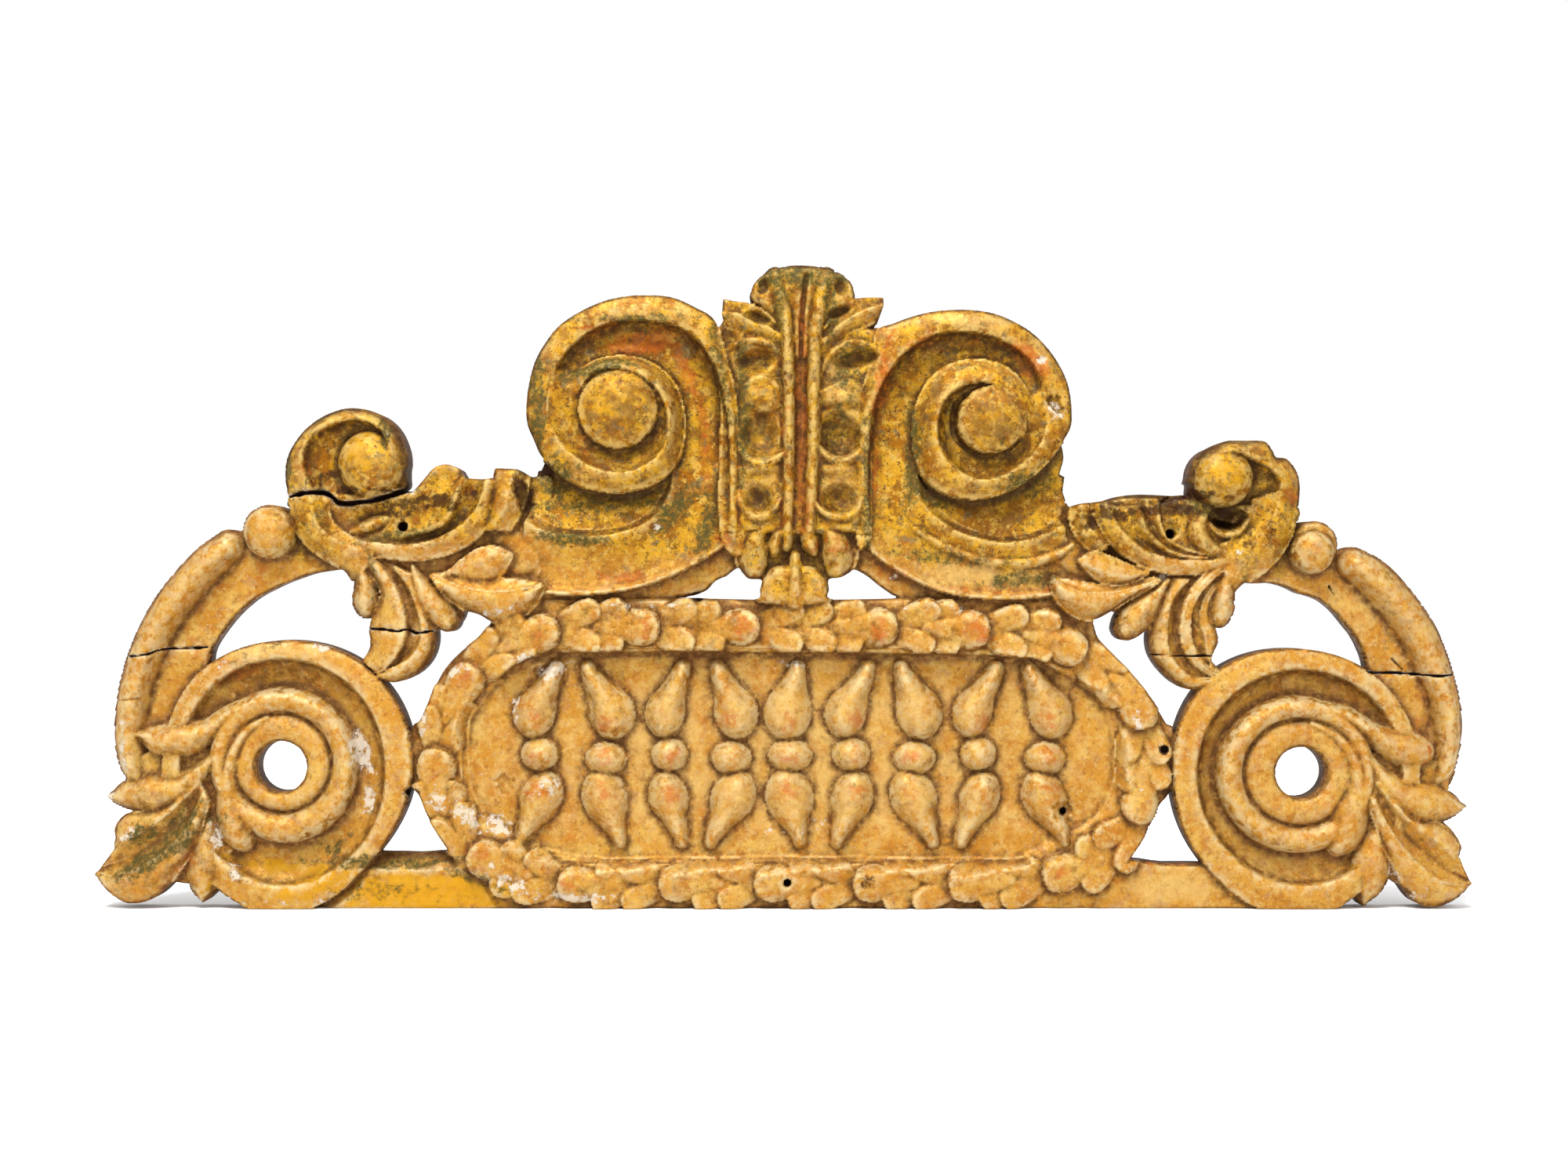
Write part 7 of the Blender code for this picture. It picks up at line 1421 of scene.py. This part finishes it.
def tint(red, green, blue):
    """The base colour of a surface that shows these values."""
    shares = [v / 255 for v in (red, green, blue)]
    linear = [((v + 0.055) / 1.055) ** 2.4 if v > 0.04 else v / 12.92 for v in shares]
    return tuple(v / LIGHT_LEVEL for v in linear) + (1.0,)


# Colours, from 0 to 255, as they show where the key light falls straight on them.
GOLD_LOW = (224, 154, 50)
GOLD_PALE = (236, 172, 66)
GOLD_CREAM = (246, 196, 94)
# Paler gold, also painted light on the field and painted highlight on the top rims.
GOLD_RUBBED_AND_HIGHLIGHT = (255, 212, 126)
GOLD_DEEP = (184, 114, 8)
GOLD_BRIGHT = (246, 184, 40)
# Brown glaze, also painted shade in scoops and recesses.
GLAZE_AND_SHADE = (122, 76, 22)
# Rubbed leaf, also a painted highlight along proud edges.
RUBBED_AND_HIGHLIGHT_LOW = (252, 222, 160)
RUBBED_AND_HIGHLIGHT_HIGH = (246, 206, 118)
BOLE = (222, 102, 34)
PATINA = (84, 80, 34)
YELLOW_PAINT = (238, 172, 0)
# Dirt, also painted shade in hollows and darkest at the foot of each form.
DIRT_AND_SHADE_LOW = (178, 126, 74)
DIRT_AND_SHADE_HIGH = (112, 84, 42)
FOOT_DIRT_AND_SHADE_LOW = (104, 64, 28)
FOOT_DIRT_AND_SHADE_HIGH = (70, 42, 16)
GESSO = (252, 240, 220)
GESSO_PINK = (255, 236, 208)
GRIME = (126, 82, 32)
# Flecks in the worn surface: size in metres, least noise that shows, strength below and above, colour below
# and above.
FLECKS = (
    (0.0130, 0.52, 0.60, 0.75, (210, 130, 38), (152, 96, 22)),
    (0.0070, 0.54, 0.55, 0.80, (246, 204, 116), (248, 198, 84)),
    (0.0110, 0.57, 0.55, 0.75, (206, 156, 104), (138, 124, 84)),
    (0.0038, 0.56, 0.50, 0.80, (170, 106, 40), (108, 66, 18)),
    (0.0026, 0.60, 0.60, 0.60, (252, 224, 164), (252, 214, 122)),
    (0.0017, 0.61, 0.55, 0.75, (122, 78, 36), (80, 50, 20)),
)
DARK_WOOD = (62, 32, 14)
CRACK_DARK = (40, 20, 10)
WOOD_DARK = (84, 54, 30)
WOOD_LIGHT = (132, 90, 54)
LIGHT_LEVEL = 2.1


class Finish:
    """A node material, put together step by step."""

    def __init__(self, name):
        self.material = bpy.data.materials.new(name)
        self.material.use_nodes = True
        self.tree = self.material.node_tree
        self.shader = self.tree.nodes["Principled BSDF"]
        self.object_place = self.add("ShaderNodeTexCoord").outputs["Object"]

    def add(self, kind):
        return self.tree.nodes.new(kind)

    def put(self, value, socket):
        if isinstance(value, bpy.types.NodeSocket):
            self.tree.links.new(value, socket)
        else:
            socket.default_value = value

    def math(self, operation, first, second=0.0):
        node = self.add("ShaderNodeMath")
        node.operation = operation
        self.put(first, node.inputs[0])
        self.put(second, node.inputs[1])
        return node.outputs[0]

    def noise(self, size, detail=3.0, roughness=0.55, stretch=(1, 1, 1), shift=0.0):
        """Cloudy values from 0 to 1 whose features are `size` metres across."""
        mapping = self.add("ShaderNodeMapping")
        mapping.inputs["Scale"].default_value = stretch
        mapping.inputs["Location"].default_value = (shift, shift, shift)
        self.put(self.object_place, mapping.inputs["Vector"])
        node = self.add("ShaderNodeTexNoise")
        self.put(mapping.outputs[0], node.inputs["Vector"])
        node.inputs["Scale"].default_value = 1.0 / size
        node.inputs["Detail"].default_value = detail
        node.inputs["Roughness"].default_value = roughness
        return node.outputs["Fac"]

    def step(self, value, low, high):
        """0 below low and 1 above high, smooth between."""
        node = self.add("ShaderNodeMapRange")
        node.interpolation_type = "SMOOTHSTEP"
        self.put(value, node.inputs["Value"])
        node.inputs["From Min"].default_value = low
        node.inputs["From Max"].default_value = high
        return node.outputs["Result"]

    def layer(self, name):
        node = self.add("ShaderNodeAttribute")
        node.attribute_name = name
        return node.outputs["Fac"]

    def over(self, factor, low, high):
        node = self.add("ShaderNodeMix")
        node.data_type = "RGBA"
        self.put(factor, node.inputs["Factor"])
        self.put(low, node.inputs[6])
        self.put(high, node.inputs[7])
        return node.outputs[2]

    def blend(self, factor, low, high):
        node = self.add("ShaderNodeMix")
        self.put(factor, node.inputs[0])
        self.put(low, node.inputs[2])
        self.put(high, node.inputs[3])
        return node.outputs[0]

    def mixed(self, *rows):
        """The sum of layers or values, each times its strength."""
        made = None
        for source, strength in rows:
            value = self.layer(source) if isinstance(source, str) else source
            part = self.math("MULTIPLY", value, strength)
            made = part if made is None else self.math("ADD", made, part)
        return made

    def most(self, *values):
        made = values[0]
        for value in values[1:]:
            made = self.math("MAXIMUM", made, value)
        return made

    def coat(self, colour, cover, strength, low, high=None, share=None):
        """Lays a colour, or a mix of two, over another where `cover` is, no stronger than `strength`."""
        over = tint(*low) if high is None else self.over(share, tint(*low), tint(*high))
        return self.over(self.math("MULTIPLY", cover, strength), colour, over)

    def patches(self, share, size, low, high, detail, roughness, shift):
        """Ragged patches that fill more of the surface where `share` is greater."""
        cloud = self.noise(size, detail, roughness, shift=shift)
        return self.step(self.math("ADD", cloud, share), low, high)


def gilding():
    f = Finish("aged_gilding")
    fine = f.noise(0.004, 5, 0.65, shift=3.0)
    cloudy = f.noise(0.022, 5, 0.62)
    broad = f.noise(0.09, 2, 0.5, shift=41.0)
    upper = f.step(f.math("ADD", f.layer("upper"), f.math("MULTIPLY", cloudy, 0.5)), 0.5, 0.95)
    # Gold leaf and gold paint: paler below, deeper and more orange above.
    lower_gold = f.over(f.step(broad, 0.35, 0.65), tint(*GOLD_LOW), tint(*GOLD_PALE))
    lower_gold = f.over(f.step(cloudy, 0.45, 0.7), lower_gold, tint(*GOLD_CREAM))
    upper_gold = f.over(f.step(cloudy, 0.38, 0.62), tint(*GOLD_DEEP), tint(*GOLD_BRIGHT))
    colour = f.over(upper, lower_gold, upper_gold)
    for turn, (size, least, weak, strong, below, above) in enumerate(FLECKS):
        fleck = f.step(f.noise(size, 6, 0.66, shift=50.0 + 7.0 * turn), least, least + 0.06)
        colour = f.coat(colour, fleck, f.blend(upper, weak, strong), below, above, upper)
    # Paler gold in patches, also painted light on the field and painted highlight along the top rims.
    pale_and_highlight = f.patches(f.mixed(("pale_and_highlight", 0.26)), 0.018, 0.54, 0.82, 6.0, 0.7, 71.0)
    colour = f.coat(colour, pale_and_highlight, 0.62, GOLD_RUBBED_AND_HIGHLIGHT)
    # Yellow paint of a later repair.
    paint = f.patches(f.mixed(("yellow", 0.42)), 0.016, 0.70, 0.86, 6.0, 0.65, 13.0)
    colour = f.coat(colour, paint, 0.82, YELLOW_PAINT)
    # Brown glaze: a thin film in soft blots, thicker on slopes and where the patches say; the patches also
    # paint shade into scoops and recesses.
    glaze_and_shade = f.patches(f.mixed(("steep", 0.12), ("brown_film_and_shade", 0.16)), 0.011, 0.54, 0.78, 8.0, 0.72, 31.0)
    colour = f.coat(colour, glaze_and_shade, 0.75, GLAZE_AND_SHADE)
    # Thin leaf rubbed away on proud edges, lightened there also as a painted highlight.
    rubbed_and_highlight = f.math("MULTIPLY", f.layer("worn_and_highlit"), f.step(f.noise(0.007, 4, 0.6, shift=7.0), 0.40, 0.58))
    colour = f.coat(colour, rubbed_and_highlight, 0.85, RUBBED_AND_HIGHLIGHT_LOW, RUBBED_AND_HIGHLIGHT_HIGH, upper)
    # Red ground under the leaf.
    bole = f.patches(f.mixed(("red", 0.28), ("pit", 0.07)), 0.008, 0.57, 0.82, 6.0, 0.7, 1.0)
    speck = f.step(f.noise(0.0030, 3, 0.5, shift=5.0), 0.66, 0.74)
    colour = f.over(f.most(f.mixed((bole, 0.6)), f.mixed((speck, 0.3))), colour, tint(*BOLE))
    # Green and grey patina, mostly on the upper half.
    high_hollow = f.math("MULTIPLY", f.layer("hollow"), upper)
    share = f.mixed(("green", 0.32), (upper, 0.07), (high_hollow, 0.08))
    patina = f.patches(share, 0.009, 0.60, 0.76, 8.0, 0.76, 11.0)
    streaks = f.step(f.noise(0.0040, 4, 0.7, shift=43.0), 0.38, 0.58)
    patina = f.math("MULTIPLY", patina, f.blend(streaks, 0.4, 0.95))
    colour = f.over(patina, colour, tint(*PATINA))
    # Brown dirt with painted shade where the relief is deep, and painted shade darkest along the foot of each
    # form.
    dirt_and_shade = f.patches(f.mixed(("hollow", 0.50)), 0.008, 0.60, 0.92, 6.0, 0.7, 17.0)
    colour = f.coat(colour, dirt_and_shade, 0.62, DIRT_AND_SHADE_LOW, DIRT_AND_SHADE_HIGH, upper)
    foot_dirt_and_shade = f.math("MULTIPLY", f.layer("pit"), f.step(f.noise(0.007, 5, 0.65, shift=67.0), 0.3, 0.6))
    colour = f.coat(colour, foot_dirt_and_shade, 0.9, FOOT_DIRT_AND_SHADE_LOW, FOOT_DIRT_AND_SHADE_HIGH, upper)
    # Bare white ground, in patches, flecks and along chips.
    chalk = f.patches(f.mixed(("white", 0.33), ("worn_and_highlit", 0.06)), 0.007, 0.70, 0.80, 6.0, 0.7, 19.0)
    crumbs = f.mixed(("bared", 1.0), (f.noise(0.0045, 5, 0.7, shift=61.0), 1.6))
    chalk = f.most(chalk, f.step(crumbs, 1.45, 1.7))
    colour = f.coat(colour, chalk, 0.9, GESSO_PINK, GESSO, f.step(fine, 0.4, 0.6))
    grain = f.step(fine, 0.3, 0.7)
    colour = f.coat(colour, grain, 0.15, GRIME)
    # Dark wood in breaks, cracks and holes.
    broken = f.patches(f.mixed(("dark", 0.40)), 0.009, 0.66, 0.82, 6.0, 0.7, 37.0)
    colour = f.coat(colour, broken, 0.85, DARK_WOOD)
    colour = f.over(f.step(f.layer("opened"), 0.15, 0.6), colour, tint(*CRACK_DARK))
    # Bare wood on the sides and the back.
    side = f.step(f.mixed(("below", 1.0), (f.noise(0.02), 0.8)), 1.5, 2.6)
    wood_grain = f.noise(0.006, 5, 0.6, stretch=(0.08, 1, 1), shift=23.0)
    wood = f.over(f.step(wood_grain, 0.35, 0.65), tint(*WOOD_DARK), tint(*WOOD_LIGHT))
    f.put(f.over(side, colour, wood), f.shader.inputs["Base Color"])
    leaf = f.math("SUBTRACT", 1.0, f.most(side, dirt_and_shade, chalk, paint, patina))
    f.put(f.math("MULTIPLY", leaf, 0.3), f.shader.inputs["Metallic"])
    f.put(f.blend(grain, f.blend(leaf, 0.64, 0.42), 0.68), f.shader.inputs["Roughness"])
    f.shader.inputs["Specular IOR Level"].default_value = 0.1
    bump = f.add("ShaderNodeBump")
    bump.inputs["Strength"].default_value = 0.55
    bump.inputs["Distance"].default_value = 0.0009
    bumps = f.mixed((fine, 1.0), (f.noise(0.0012, 3, 0.6, shift=29.0), 0.4), (f.most(chalk, bole), -0.6))
    f.put(bumps, bump.inputs["Height"])
    f.put(bump.outputs[0], f.shader.inputs["Normal"])
    return f.material


FLOOR_SIZE = 12.0
FLOOR_GAP = 0.0005
FLOOR_COLOUR = (0.97, 0.97, 0.97, 1)
FLOOR_ROUGHNESS = 0.9


def floor():
    under = -MIDDLE_ABOVE_BASE * UNIT_Z - FLOOR_GAP
    bpy.ops.mesh.primitive_plane_add(size=FLOOR_SIZE, location=(0, 0, under))
    made = bpy.context.object
    made.name = "floor"
    material = bpy.data.materials.new("pale_floor")
    material.use_nodes = True
    shader = material.node_tree.nodes["Principled BSDF"]
    shader.inputs["Base Color"].default_value = FLOOR_COLOUR
    shader.inputs["Roughness"].default_value = FLOOR_ROUGHNESS
    made.data.materials.append(material)


# The photo's size and the cartouche's middle in its pixels; distances in metres, the sensor in millimetres.
PHOTO_WIDTH = 2000
PHOTO_MIDDLE = (1000, 750)
CARTOUCHE_PIXEL = (1011, 962)
MM_PER_PIXEL = 0.6275
CAMERA_DISTANCE = 2.1
CAMERA_PLANE = 0.030
SENSOR = 36.0


def camera():
    data = bpy.data.cameras.new("camera")
    made = bpy.data.objects.new("camera", data)
    bpy.context.scene.collection.objects.link(made)
    data.sensor_width = SENSOR
    data.lens = SENSOR * (CAMERA_DISTANCE - CAMERA_PLANE) * 1000 / (PHOTO_WIDTH * MM_PER_PIXEL)
    made.location = ((PHOTO_MIDDLE[0] - CARTOUCHE_PIXEL[0]) * MM_PER_PIXEL / 1000, -CAMERA_DISTANCE,
                     (CARTOUCHE_PIXEL[1] - PHOTO_MIDDLE[1]) * MM_PER_PIXEL / 1000)
    made.rotation_euler = (math.pi / 2, 0, 0)
    data.clip_end = 50
    bpy.context.scene.camera = made


# Soft lights: name, place, side length and power.
LIGHTS = (("key", (-0.5, -1.5, 2.5), 1.3, 140), ("fill", (1.6, -2.0, 0.9), 1.6, 12))
LIT_POINT = (0, 0, 0.1)


def lights():
    world = bpy.data.worlds.new("studio")
    world.use_nodes = True
    background = world.node_tree.nodes["Background"]
    background.inputs["Color"].default_value = (1, 1, 1, 1)
    background.inputs["Strength"].default_value = 1.0
    bpy.context.scene.world = world
    for name, place, size, power in LIGHTS:
        data = bpy.data.lights.new(name, "AREA")
        data.size = size
        data.energy = power
        made = bpy.data.objects.new(name, data)
        made.location = place
        way = Vector(LIT_POINT) - Vector(place)
        made.rotation_euler = way.to_track_quat("-Z", "Y").to_euler()
        bpy.context.scene.collection.objects.link(made)


def plaque():
    relief = carve(GRID)
    aged = age(relief)
    points, faces = body_of(relief)
    piece = bpy.data.objects.new("plaque_carving", mesh_from("plaque_carving", in_frame(points), faces))
    bpy.context.scene.collection.objects.link(piece)
    bpy.context.view_layer.update()
    thinned(piece, TRIANGLES)
    least, most = cad_box
    for vertex in piece.data.vertices:
        vertex.co = [min(max(v, low), high) for v, low, high in zip(vertex.co, least, most)]
    paint_coats(piece, relief, aged)
    piece.data.materials.append(gilding())
    piece.data.shade_smooth()
    return piece


bpy.context.scene.view_settings.view_transform = "Standard"
carving = plaque()
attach(carving, "root")
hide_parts("carved_plaque")
floor()
lights()
camera()
